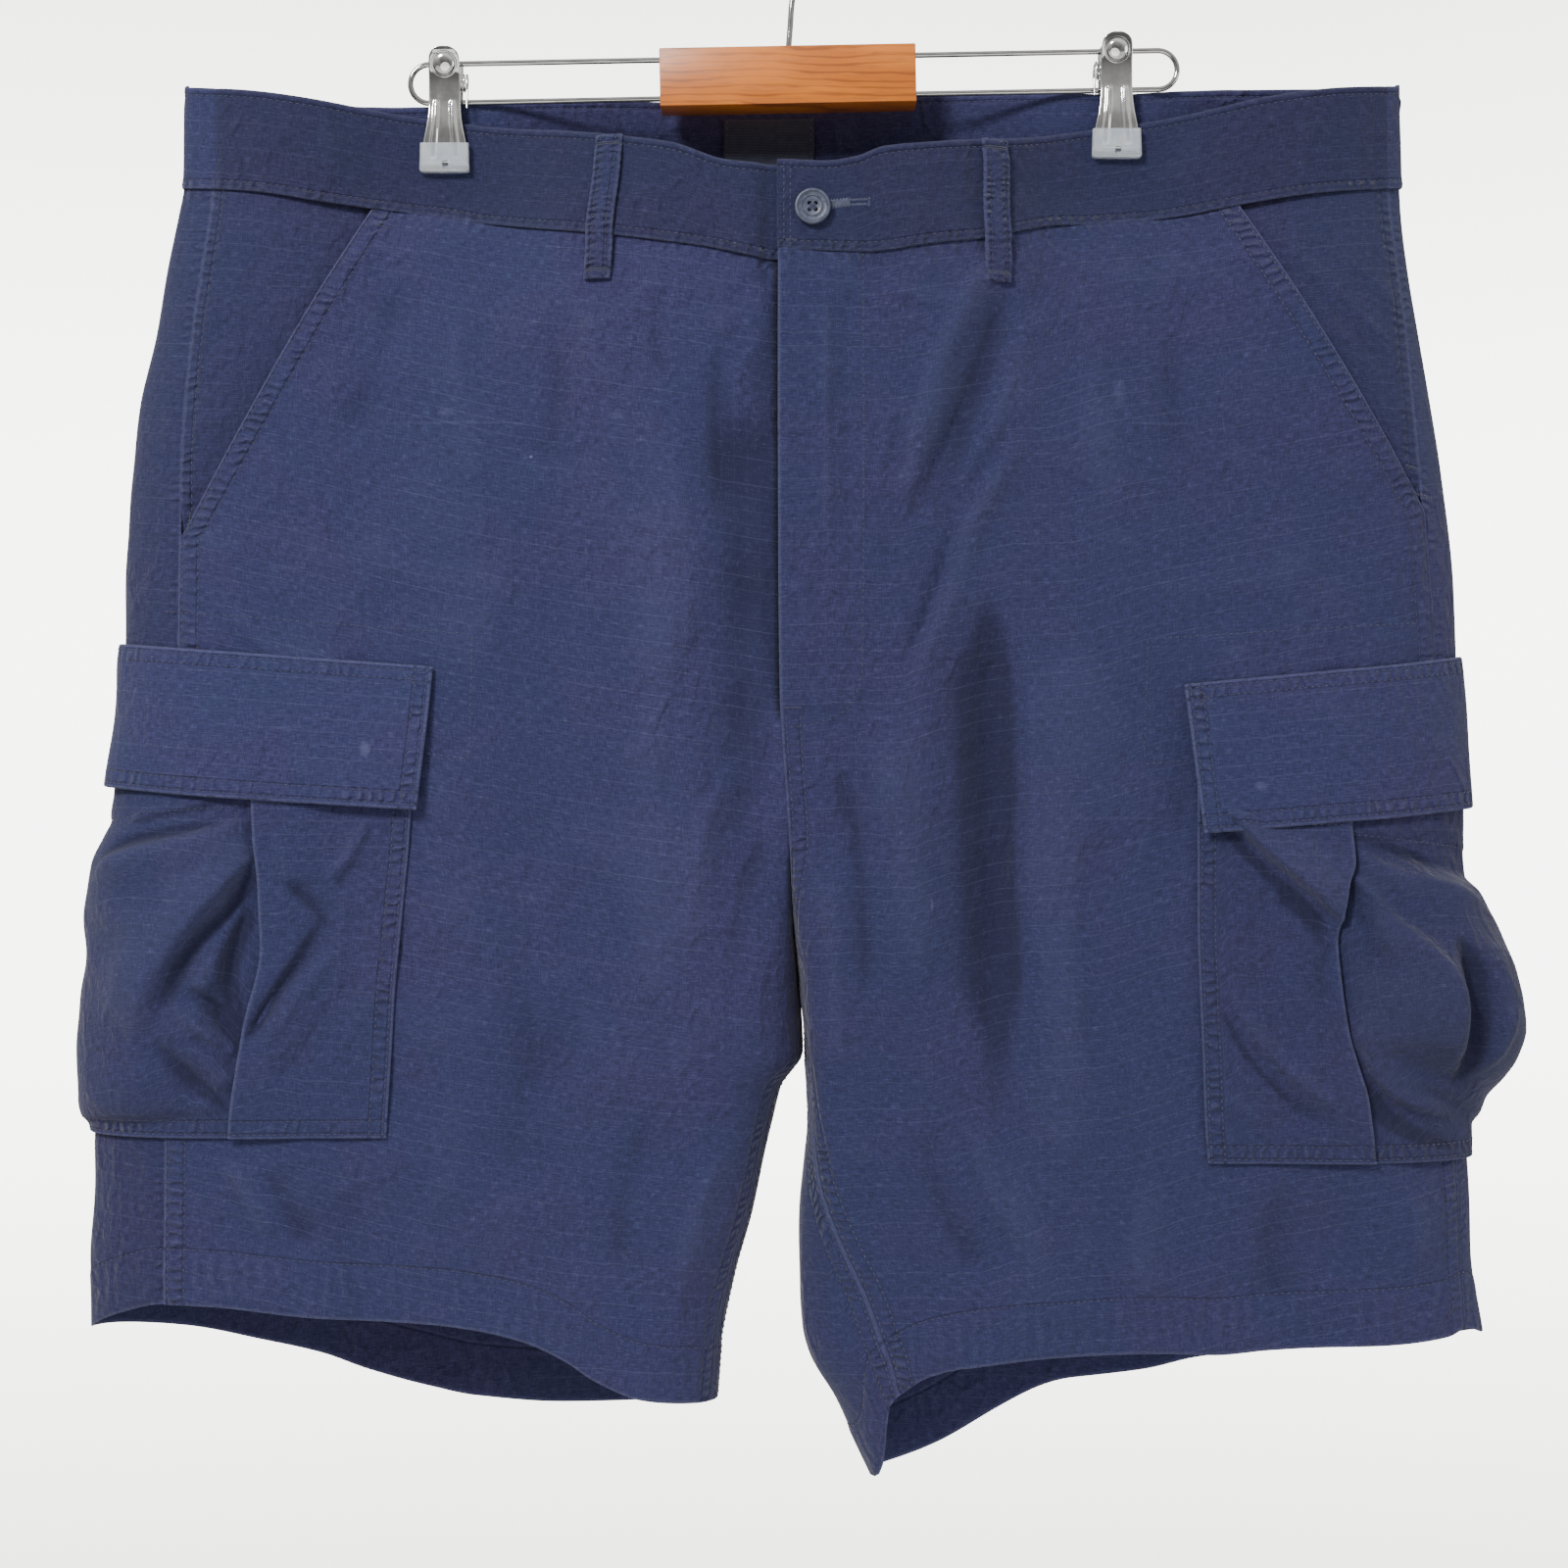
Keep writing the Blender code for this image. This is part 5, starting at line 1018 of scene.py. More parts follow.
frontMarks = {
    "right": ((-160, -241, 4.5, 2.6, 0.16), (-80, -244, 5.0, 2.2, 0.14),
              (-120, -262, 1.1, 1.0, 0.8), (-156, -246, 46.0, 0.8, 0.12),
              (-60, -330, 16.0, 0.7, 0.06), (-232, -314, 14.0, 1.0, 0.08)),
    "left": ((154, -232, 4.5, 9.5, 0.10), (172, -246, 21.0, 0.8, 0.13),
             (150, -430, 30.0, 0.9, 0.09), (206, -352, 9.0, 3.0, 0.07),
             (66, -470, 1.0, 4.0, 0.25)),
}
# the left front is painted a little darker than the right: painted shade on the side away from
# the light
frontCloth = {
    "right": clothMaterial("navy cotton, right front", frontSeams + [
        {"on": "right", "near": 2.0, "far": 7.6, "from": 372.0, "to": 900.0, "pitch": 4.6},
        # painted shadow along the upper part of the fly edge
        {"on": "right", "shadow": 4.6, "from": 208.0, "to": 216.0}], marks=frontMarks["right"]),
    "left": clothMaterial("navy cotton, left front", frontSeams + [
        {"on": "right", "near": 2.2, "far": 8.6, "from": 214.0, "to": 900.0, "pitch": 4.6},
        {"on": "right", "near": 1.0, "far": 14.0, "from": -20.0, "to": 214.0, "rows": (),
         "pitch": 9.0, "pucker": 0.3}], 0.94, frontMarks["left"]),
}

panels = {}
for leg in legs.values():
    panels["front_" + leg["side"]] = makeFront(leg)
print("fronts sewn")

# backs wrap round the outer folds to the side seams, and round the inner folds below
back = {"rows": 180, "sideCells": 10, "cells": 100, "innerCells": 8, "thick": 1.2,
        "inseamRows": (2.0, 8.0), "waves": (0.6, 36.0, 95.0),
        "seeds": {"right": 21, "left": 22}}
backCreases = {
    "right": (
        (((-30, -180), (-44, -240), (-36, -330)), 9.0, -1.9, 0.3),
        (((-70, -170), (-88, -240), (-76, -320)), 10.0, 1.9, 0.3),
        (((-128, -168), (-120, -230), (-140, -300)), 10.0, -1.6, 0.25),
        (((-190, -160), (-206, -230), (-196, -310)), 12.0, 1.6, 0.2),
        (((-250, -180), (-238, -240), (-262, -300)), 9.0, -1.4, 0.2),
        (((-20, -360), (-54, -420), (-70, -500)), 8.0, 2.3, 0.4),
        (((-12, -400), (-40, -450), (-50, -530)), 6.5, -2.2, 0.4),
        (((-110, -350), (-130, -420), (-124, -500)), 13.0, -1.5, 0.2),
        (((-170, -420), (-156, -500), (-176, -590)), 12.0, 1.5, 0.2),
        (((-60, -560), (-84, -610), (-80, -670)), 9.0, 2.0, 0.3),
        (((-110, -580), (-104, -630), (-124, -680)), 9.0, -1.7, 0.3),
        (((-200, -600), (-214, -640), (-206, -680)), 10.0, 1.4, 0.2),
    ),
    "left": (
        (((40, -180), (54, -250), (44, -340)), 9.0, 1.9, 0.3),
        (((84, -172), (76, -236), (96, -320)), 10.0, -1.8, 0.3),
        (((140, -166), (152, -230), (136, -300)), 11.0, 1.7, 0.25),
        (((204, -168), (190, -240), (212, -310)), 12.0, -1.6, 0.2),
        (((256, -190), (246, -250), (266, -310)), 9.0, 1.4, 0.2),
        (((24, -352), (58, -420), (70, -500)), 8.0, -2.3, 0.4),
        (((14, -404), (44, -456), (52, -530)), 6.5, 2.2, 0.4),
        (((120, -360), (140, -430), (128, -510)), 13.0, 1.5, 0.2),
        (((180, -420), (168, -500), (188, -590)), 12.0, -1.5, 0.2),
        (((70, -570), (92, -620), (88, -680)), 9.0, -2.0, 0.3),
        (((124, -580), (116, -640), (136, -690)), 9.0, 1.7, 0.3),
        (((214, -600), (226, -640), (218, -680)), 10.0, -1.4, 0.2),
    ),
}
backSeams = [
    {"on": "bottom", "near": 3.0, "far": 25.5, "rows": (25.5,), "pitch": 7.5, "pucker": 0.35},
    {"on": "top", "near": 0.2, "far": 6.0, "rows": (), "pitch": 6.5, "pucker": 0.7,
     "wear": 0.0},
    {"on": "right", "near": 2.0, "far": 8.0, "pitch": 4.8},
    {"on": "left", "near": 0.5, "far": 5.0, "rows": (), "pitch": 4.8, "pucker": 0.6},
]
# the right back is painted darker than the left: painted shade where it wraps round the outer
# fold
backCloth = {side: clothMaterial("navy cotton, " + side + " back", backSeams, shade)
             for side, shade in (("right", 0.84), ("left", 0.95))}


def makeBack(leg):
    side = leg["side"]
    level = stepsDown(back["rows"])
    width = abs(legAt(leg, "outer", hang["middleZ"]))
    sideSeam = seamShare(leg, "sideSeam", level) - halfSeam / width
    inseam = seamShare(leg, "inseam", level)
    pastEnd = np.where(level > hang["crotchLevel"], (1.0 - inseam) * width - halfSeam, 0.0)
    pastStart = np.minimum(0.0, pastEnd - hang["backStrip"])
    steps = stepsAcross(back["sideCells"])
    sidePart = formPoint(leg, "front",
                         sideSeam * (1.0 - np.cos(math.pi / 2.0 * (1.0 - steps))), level)
    even = stepsAcross(back["cells"])
    curved = 0.5 - 0.5 * np.cos(math.pi * even)
    across = 0.5 * even + 0.5 * curved
    backPart = formPoint(leg, "back", (1.0 + pastStart / width)
                         * (across * 0.65 + 0.35 * curved), level)
    turn = 1.0 - np.cos(math.pi / 2.0 * stepsAcross(back["innerCells"]))
    innerPart = pastFold(leg, pastStart + (pastEnd - pastStart) * turn, level)
    points = np.concatenate([sidePart, backPart[:, 1:], innerPart[:, 1:]], axis=1)
    x, z = points[..., 0], points[..., 2]
    middle = np.array([0.5 * legAt(leg, "outer", hang["middleZ"]), 0.0, 0.0])
    away = measured(points)
    creases = creaseField(backCreases[side], x, z)
    creases = creases + softWaves(back["seeds"][side], x, z, *back["waves"])
    calm = ease((away["left"] - 20.0) / 45.0) * ease(away["right"] / 22.0)
    calm = calm * ease(away["top"] / 12.0) * (0.35 + 0.65 * ease(away["bottom"] / 30.0))
    hem = foldedHem(away)
    lift = creases * calm + hem
    panel = panelFrom(points, (points - middle) * (0.0, 1.0, 0.0), lift)
    # fold: crease heights and part of the drape folds, painted darker in their valleys as painted
    # shade
    panel["fold"] = creases * calm + relief(largeFolds["back"], x, z) * 0.35
    name = "shorts_back_" + side
    piece = sewShell(name, panel, back["thick"], backCloth[side])
    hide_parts("back_" + side)
    for row in back["inseamRows"]:
        stitchAlong(name, *lineAcross(panel, "right", row))
    stitchAlong(name, *lineAcross(panel, "bottom", front["hemHeight"]))
    return panel, piece


for leg in legs.values():
    panels["back_" + leg["side"]] = makeBack(leg)
print("backs sewn")

# the facings that show inside the slanted pockets
facing = {"rows": 70, "cells": 40, "thick": 1.1, "under": 11.0, "sink": 2.3, "row": 5.0,
          "waves": (0.3, 20.0, 50.0), "seed": 31}
facingCreases = {
    "right": ((((-256, -240), (-268, -246), (-276, -246)), 3.0, 1.2, 0.3),
              (((-226, -180), (-248, -206), (-270, -250)), 6.0, 1.0, 0.2),
              (((-240, -160), (-256, -190), (-276, -222)), 5.0, -0.9, 0.2)),
    "left": ((((222, -152), (250, -180), (284, -212)), 6.0, 1.5, 0.3),
             (((228, -166), (256, -196), (288, -230)), 4.5, -1.4, 0.3),
             (((244, -158), (270, -176), (290, -198)), 5.0, 1.1, 0.2)),
}
# the facings are painted darker: painted shade inside the pocket openings
facingCloth = clothMaterial("navy cotton, pocket facing", [
    {"on": "left", "near": 0.4, "far": 6.0, "rows": (5.0,), "pitch": 5.0}], 0.80)


def makeFacing(leg):
    side = leg["side"]
    (topX, topZ), (endX, endZ) = front["slant"][side]
    across = stepsAcross(facing["cells"])
    down = stepsDown(facing["rows"])
    seamX = legAt(leg, "sideSeam", hang["cornerZ"]) + halfSeam * leg["inward"]
    top = edgeHeight(waistSeam[side], seamX * (1.0 - across)
                     + (topX + facing["under"] * leg["inward"]) * across)
    z = top * (1.0 - down) + (endZ - 1.0) * down
    seamX = legAt(leg, "sideSeam", z) + halfSeam * leg["inward"]
    slope = np.clip((z - topZ) / (endZ - topZ), 0.0, 1.0)
    slantX = topX + (endX - topX) * slope
    x = seamX * (1.0 - across) + (slantX + facing["under"] * leg["inward"]) * across
    points = onForm(leg, "front", x, z)
    openWidth = (slantX - seamX) * leg["inward"]
    spare = np.maximum(0.0, 10.0 - openWidth)
    reached = ((x - seamX) * leg["inward"] + spare) / (openWidth - 1.0 + spare)
    away = measured(points)
    creases = creaseField(facingCreases[side], x, z)
    creases = creases + softWaves(facing["seed"], x, z, *facing["waves"])
    creases = creases * ease(away["left"] / 8.0) * ease(away["top"] / 8.0)
    lift = -facing["sink"] * ease(reached) + creases * (1.0 - 0.6 * ease(reached))
    panel = panelFrom(points, (0.0, -1.0, 0.0), lift)
    # fold: crease heights, painted darker in their valleys as painted shade
    panel["fold"] = creases
    name = "pocket_facing_" + side
    piece = sewShell(name, panel, facing["thick"], facingCloth, weaveFrom="left")
    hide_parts("facing_" + side)
    stitchAlong(name, *lineAcross(panel, "left", facing["row"]))
    return panel, piece


for leg in legs.values():
    panels["facing_" + leg["side"]] = makeFacing(leg)
print("pocket facings sewn")

# waistband, folded double, stitched near both long edges
band = {"rows": 26, "cells": 150, "backCells": 160, "thick": 1.3, "gap": -1.3, "proud": 1.6,
        "puckers": 0.75, "puckerCount": 46, "lowRidge": 0.45, "topRidge": 0.3,
        "gripped": 0.82, "gripHalf": 13.0, "gripFade": 8.0, "upperRow": 3.2,
        "lowerRow": 3.6, "seamX": 12.8, "endRows": (2.6, 5.6)}
bandSeams = [
    {"on": "top", "near": 3.2, "far": 3.4, "rows": (3.2,), "pitch": 6.0, "pucker": 0.4,
     "wear": 0.8},
    {"on": "bottom", "near": 0.4, "far": 3.6, "rows": (3.6,), "pitch": 6.0, "wear": 1.1},
]
# both bands are shaded copies of the cotton, the front band much darker: painted shade
bandCloth = {
    "front": clothMaterial("navy cotton, waistband", bandSeams, 0.66),
    "back": clothMaterial("navy cotton, back waistband", bandSeams, 0.95),
}


def bandPoints(leg, face, x, down):
    if face == "front":
        top = edgeHeight(bandTop[leg["side"]], x)
        bottom = edgeHeight(waistSeam[leg["side"]], x) + band["gap"]
    else:
        top = edgeHeight(bandTop["back"], x)
        outer = legAt(leg, "outer", hang["cornerZ"])
        share = (x - outer) / (backCentreX - outer)
        bottom = heightAt(leg, "back", np.clip(share, 0.0, 1.0), 0.0) + band["gap"]
    z = top * (1.0 - down) + bottom * down
    return onForm(leg, face, x, z)


# small upright puckers, held in at the two rows of stitches
def bandPuckers(seed, x, down, size):
    dice = random.Random(seed)
    total = np.zeros(np.broadcast(x, down).shape)
    for _ in range(band["puckerCount"]):
        centre = dice.uniform(-290.0, 300.0)
        lean = dice.uniform(-5.0, 5.0)
        wide = dice.uniform(2.4, 6.5)
        tall = dice.uniform(-1.0, 1.0)
        middle, reach = dice.uniform(0.3, 0.75), dice.uniform(0.22, 0.5)
        shape = np.exp(-((x - centre - lean * (down - 0.5)) / wide) ** 2)
        total = total + tall * shape * np.exp(-((down - middle) / reach) ** 2)
    return size * total


def finishBand(name, points, hint, lift, down, look, nodes, seed):
    x = points[..., 0]
    away = measured(points)
    puckers = bandPuckers(seed, x, down, band["puckers"])
    edge = band["lowRidge"] * np.exp(-((away["bottom"] - 2.0) / 2.0) ** 2)
    edge = edge + band["topRidge"] * np.exp(-((away["top"] - 1.2) / 1.6) ** 2)
    gripped = sum(np.exp(-(np.maximum(np.abs(x - place) - band["gripHalf"], 0.0)
                           / band["gripFade"]) ** 2) for place in hang["clipX"])
    panel = panelFrom(points, hint, lift + (band["proud"] + puckers + edge)
                      * (1.0 - band["gripped"] * gripped))
    # fold: the puckers and edge ridges, doubled, so that the pucker valleys get painted shade
    panel["fold"] = puckers * 2.0 + edge * 2.0
    piece = sewShell(name, panel, band["thick"], look, weaveFrom="left")
    for node in nodes:
        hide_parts(node)
    inside = dict(panel, points=panel["points"] - panel["normal"] * band["thick"],
                  normal=-panel["normal"])
    for face in (panel, inside):
        stitchAlong(name, *lineAcross(face, "top", band["upperRow"]))
        stitchAlong(name, *lineAcross(face, "bottom", band["lowerRow"]))
    return panel, piece


def makeBands():
    down = stepsDown(band["rows"])
    hint = (0.0, -1.0, 0.0)
    start = legAt(legs["right"], "sideSeam", hang["bandZ"]) + halfSeam
    steps = np.linspace(0.0, 15.0, band["cells"] + 1)
    x = np.interp(steps, (0.0, 11.0, 12.0, 15.0), (start, -17.0, -7.0, 44.0))[None, :]
    points = bandPoints(legs["right"], "front", x, down)
    under = -3.4 * ease((x + 17.0) / 8.0) + 0.9 * np.exp(-((x + 24.0) / 6.0) ** 2) * down
    made = {"right": finishBand("waistband_front_right", points, hint, under, down,
                                bandCloth["front"], ["waistband_front_right"], 41)}
    end = legAt(legs["left"], "sideSeam", hang["bandZ"]) - halfSeam
    x = (-4.9 + (end + 4.9) * np.linspace(0.0, 1.0, band["cells"] + 1))[None, :]
    points = bandPoints(legs["left"], "front", x, down)
    lip = 0.5 * np.exp(-((x + 4.9) / 3.0) ** 2) + 0.0 * down
    made["left"] = finishBand("waistband_front_left", points, hint, lip, down,
                              bandCloth["front"], ["waistband_front_left"], 42)
    for row in band["endRows"]:
        stitchAlong("waistband_front_left", *lineAcross(made["left"][0], "left", row))
    for side, leg in legs.items():
        outer = legAt(leg, "outer", hang["bandZ"])
        seam = legAt(leg, "sideSeam", hang["bandZ"]) - halfSeam * leg["inward"]
        end = band["seamX"] - halfSeam * leg["inward"]
        turn = 1.0 - np.cos(np.linspace(math.pi / 2.0, 0.0, 13))
        frontX = outer + (seam - outer) * turn[None, :]
        even = np.linspace(0.0, 1.0, band["backCells"] + 1)
        share = even + 0.12 * (np.cos(math.pi * even) - 1.0 + 2.0 * even)
        share = np.clip(share - 0.26 * np.sin(math.pi * even) * (1.0 - even), 0.0, 1.0)
        backX = outer + (end - outer) * share[None, :]
        line = np.concatenate([bandPoints(leg, "front", frontX, down)[:, :-1],
                               bandPoints(leg, "back", backX, down)], axis=1)
        name = "waistband_back_" + side
        made["back_" + side] = finishBand(name, line, line * (0.0, 1.0, 0.0),
                                          np.zeros(line.shape[:2]), down,
                                          bandCloth["back"], [name], 43 + len(side))
    return made


bands = makeBands()
for word, pair in bands.items():
    panels["band_" + word] = pair
print("waistband sewn")

# cargo pockets: a flat front part, and a full part behind its pleat
pocket = {
    "top": {"right": -404.0, "left": -414.0}, "bottom": {"right": -577.6, "left": -589.4},
    "frontEdge": {"right": 152.0, "left": 137.0}, "backEdge": {"right": -74.0, "left": -92.0},
    "pleatLift": 5.6, "pleatUnder": 9.0, "foldHeight": 1.4, "laidOn": 0.9, "thick": 1.2,
    "rows": 120, "flatCells": 56, "fullCells": 130, "mouthHem": 19.0,
    "slope": {"right": (10.0, 8.0), "left": (14.0, 30.0)},
    "hemLine": {"right": (17.5, 27.0), "left": (22.0, 32.0)}, "rowsIn": (1.5, 7.6),
    "flatWaves": (0.3, 24.0, 60.0), "flatSeed": 51, "fullWaves": (0.5, 22.0, 60.0),
    "fullSeed": 52,
}
pleatColumns = ("z", "pleat", "bulge")
pleats = {
    "right": (
        (-404.0, 79.0, 0.4), (-420.0, 79.0, 0.5), (-431.0, 80.0, 1.0), (-440.0, 81.0, 4.4),
        (-454.0, 84.0, 8.7), (-472.0, 87.0, 9.8), (-495.0, 89.5, 8.4), (-523.0, 85.0, 7.7),
        (-547.0, 82.0, 7.9), (-564.0, 80.5, 6.6), (-571.0, 80.2, 4.6), (-575.0, 80.0, 1.2),
        (-577.6, 80.0, 0.4),
    ),
    "left": (
        (-414.0, 68.0, 0.4), (-431.0, 68.0, 0.5), (-450.0, 67.0, 0.8), (-460.0, 69.0, 1.6),
        (-468.0, 70.0, 7.4), (-476.0, 71.8, 10.6), (-488.0, 74.0, 14.4), (-506.0, 73.0, 20.0),
        (-528.0, 70.5, 20.8), (-547.0, 67.0, 18.0), (-556.0, 65.2, 13.5), (-564.0, 64.4, 7.4),
        (-571.0, 63.9, 4.6), (-576.0, 63.4, 1.2), (-589.4, 63.0, 0.4),
    ),
}
pocketFolds = {
    "right": ((78.0, -446.0, 14.0, -540.0, 11.0, 1.0), (62.0, -430.0, 18.0, -466.0, 9.0, 1.0),
              (80.0, -510.0, 30.0, -566.0, 10.0, 1.0)),
    "left": ((64.0, -442.0, 26.0, -470.0, 9.0, 1.0), (68.0, -500.0, 26.0, -552.0, 10.0, 1.0),
             (34.0, -462.0, 20.0, -560.0, 11.0, 1.0)),
}
# creases on the flat parts, by X and height
flatCreases = {
    "right": (
        (((-186, -428), (-196, -447), (-210, -466)), 4.5, -3.0, 0.3),
        (((-194, -428), (-203, -445), (-215, -461)), 5.0, 2.4, 0.3),
        (((-208, -472), (-225, -495), (-239, -514), (-255, -540)), 4.5, -4.6, 0.35),
        (((-202, -484), (-218, -501), (-232, -520), (-244, -540)), 6.0, 2.4, 0.0),
        (((-234, -460), (-224, -466), (-215, -474), (-209, -486)), 3.6, -3.2, 0.2),
        (((-194, -498), (-211, -518), (-225, -539), (-242, -556)), 6.0, -1.7, 0.3),
        (((-184, -504), (-200, -524), (-216, -548)), 6.0, 1.1, 0.2),
        (((-236, -440), (-232, -455), (-232, -470)), 4.0, 1.4, 0.0),
        (((-178, -540), (-196, -552), (-214, -566)), 5.0, -1.0, 0.2),
        (((-240, -459), (-225, -462), (-212, -460)), 3.0, -1.2, 0.0),
    ),
    "left": (
        (((186, -410), (212, -437), (225, -449), (240, -462), (270, -492)), 9.5, 8.6, 0.72),
        (((226, -462), (237, -471), (250, -482)), 4.0, -2.4, 0.0),
        (((192, -506), (203, -527), (218, -549), (236, -564), (262, -578)), 5.0, -3.2, 0.3),
        (((200, -504), (217, -532), (238, -553), (262, -570)), 6.5, 2.4, 0.2),
        (((252, -484), (246, -502), (250, -520)), 4.0, -1.8, 0.0),
        (((221, -499), (238, -516), (254, -534)), 6.0, 1.2, 0.0),
        (((196, -460), (210, -475), (228, -484)), 6.0, -1.2, 0.2),
        (((184, -540), (206, -562), (226, -576)), 6.0, 1.0, 0.2),
    ),
}
# creases on the full parts, by distance along the cloth and height
fullCreases = {
    "right": (
        (((90, -436), (71, -461), (58, -489), (51, -507), (42, -548)), 8.0, 6.4, -0.6),
        (((90, -440), (77, -466), (63, -487), (52, -526)), 5.0, -5.0, 0.2),
        (((84, -456), (74, -483), (69, -500), (64, -520)), 6.0, 3.2, -0.4),
        (((88, -460), (79, -483), (76, -500), (80, -520), (90, -538)), 4.8, -5.4, 0.0),
        (((92, -543), (78, -528), (69, -515), (62, -506)), 4.2, -5.2, 0.2),
        (((86, -541), (73, -533), (64, -524), (58, -512)), 4.0, 2.6, -0.4),
        (((86, -568), (71, -557), (60, -542), (50, -530)), 4.5, -3.2, 0.2),
        (((88, -556), (72, -546), (60, -532)), 5.0, 2.2, 0.0),
        (((84, -558), (75, -564), (62, -560)), 2.8, 1.6, 0.2),
        (((18, -462), (30, -449), (54, -440), (70, -433), (86, -428)), 6.0, 3.6, -0.5),
        (((20, -448), (38, -440), (55, -436), (72, -429)), 3.6, -3.0, 0.0),
        (((45, -465), (40, -498), (34, -532)), 16.0, 2.0, 0.0),
        (((28, -431), (46, -425), (68, -419)), 4.0, 3.4, -0.5),
        (((-20, -440), (-34, -480), (-30, -530)), 9.0, 1.6, 0.2),
        (((-52, -450), (-46, -500), (-56, -550)), 8.0, -1.5, 0.2),
    ),
    "left": (
        (((84, -440), (69, -455), (57, -476), (46, -495), (41, -512), (38, -552)),
         8.0, 6.4, 0.6),
        (((38, -480), (35, -509), (34, -530), (33, -556)), 4.4, -9.0, -0.3),
        (((26, -492), (23, -513), (25, -532), (32, -554)), 5.0, 4.4, 0.4),
        (((70, -456), (66, -468), (62, -486), (60, -500)), 4.0, -3.8, 0.0),
        (((80, -441), (66, -447), (52, -455), (34, -461), (18, -470)), 5.5, 4.2, 0.5),
        (((78, -436), (62, -440), (48, -447), (28, -456)), 3.6, -2.6, 0.0),
        (((84, -526), (68, -535), (60, -552), (53, -560), (22, -572)), 6.5, 6.4, -0.66),
        (((84, -538), (68, -548), (58, -566), (48, -573), (24, -582)), 3.6, -3.2, 0.0),
        (((63, -498), (57, -515), (54, -541)), 14.0, 2.6, 0.0),
        (((78, -486), (72, -500), (74, -520)), 4.0, -1.6, 0.0),
        (((12, -470), (8, -510), (14, -548)), 10.0, 2.0, 0.0),
        (((-50, -440), (-40, -500), (-56, -560)), 9.0, 1.8, 0.2),
    ),
}
flatSeams = [
    {"on": "left", "near": 1.5, "far": 7.6, "pitch": 5.0},
    {"on": "bottom", "near": 1.5, "far": 7.6, "pitch": 5.0},
    {"on": "top", "near": 2.0, "far": 19.0, "rows": (19.0,), "pitch": 7.0, "pucker": 0.5},
    {"on": "right", "near": 0.2, "far": 1.2, "rows": (), "pucker": 0.0, "wear": 1.0},
]
fullSeams = [
    {"on": "right", "near": 1.5, "far": 7.6, "pitch": 5.0},
    {"on": "bottom", "near": 1.5, "far": 7.6, "pitch": 5.0},
    {"on": "top", "near": 2.0, "far": 22.0, "rows": (), "pitch": 8.0, "pucker": 0.35,
     "wear": 0.0},
]
# the pocket parts are painted darker, the left pocket and the full parts most: painted shade on
# the side away from the light
flatCloth = {side: clothMaterial("navy cotton, flat pocket, " + side, flatSeams, shade)
             for side, shade in (("right", 0.96), ("left", 0.88))}
fullCloth = {side: clothMaterial("navy cotton, full pocket, " + side, fullSeams, shade)
             for side, shade in (("right", 0.93), ("left", 0.80))}


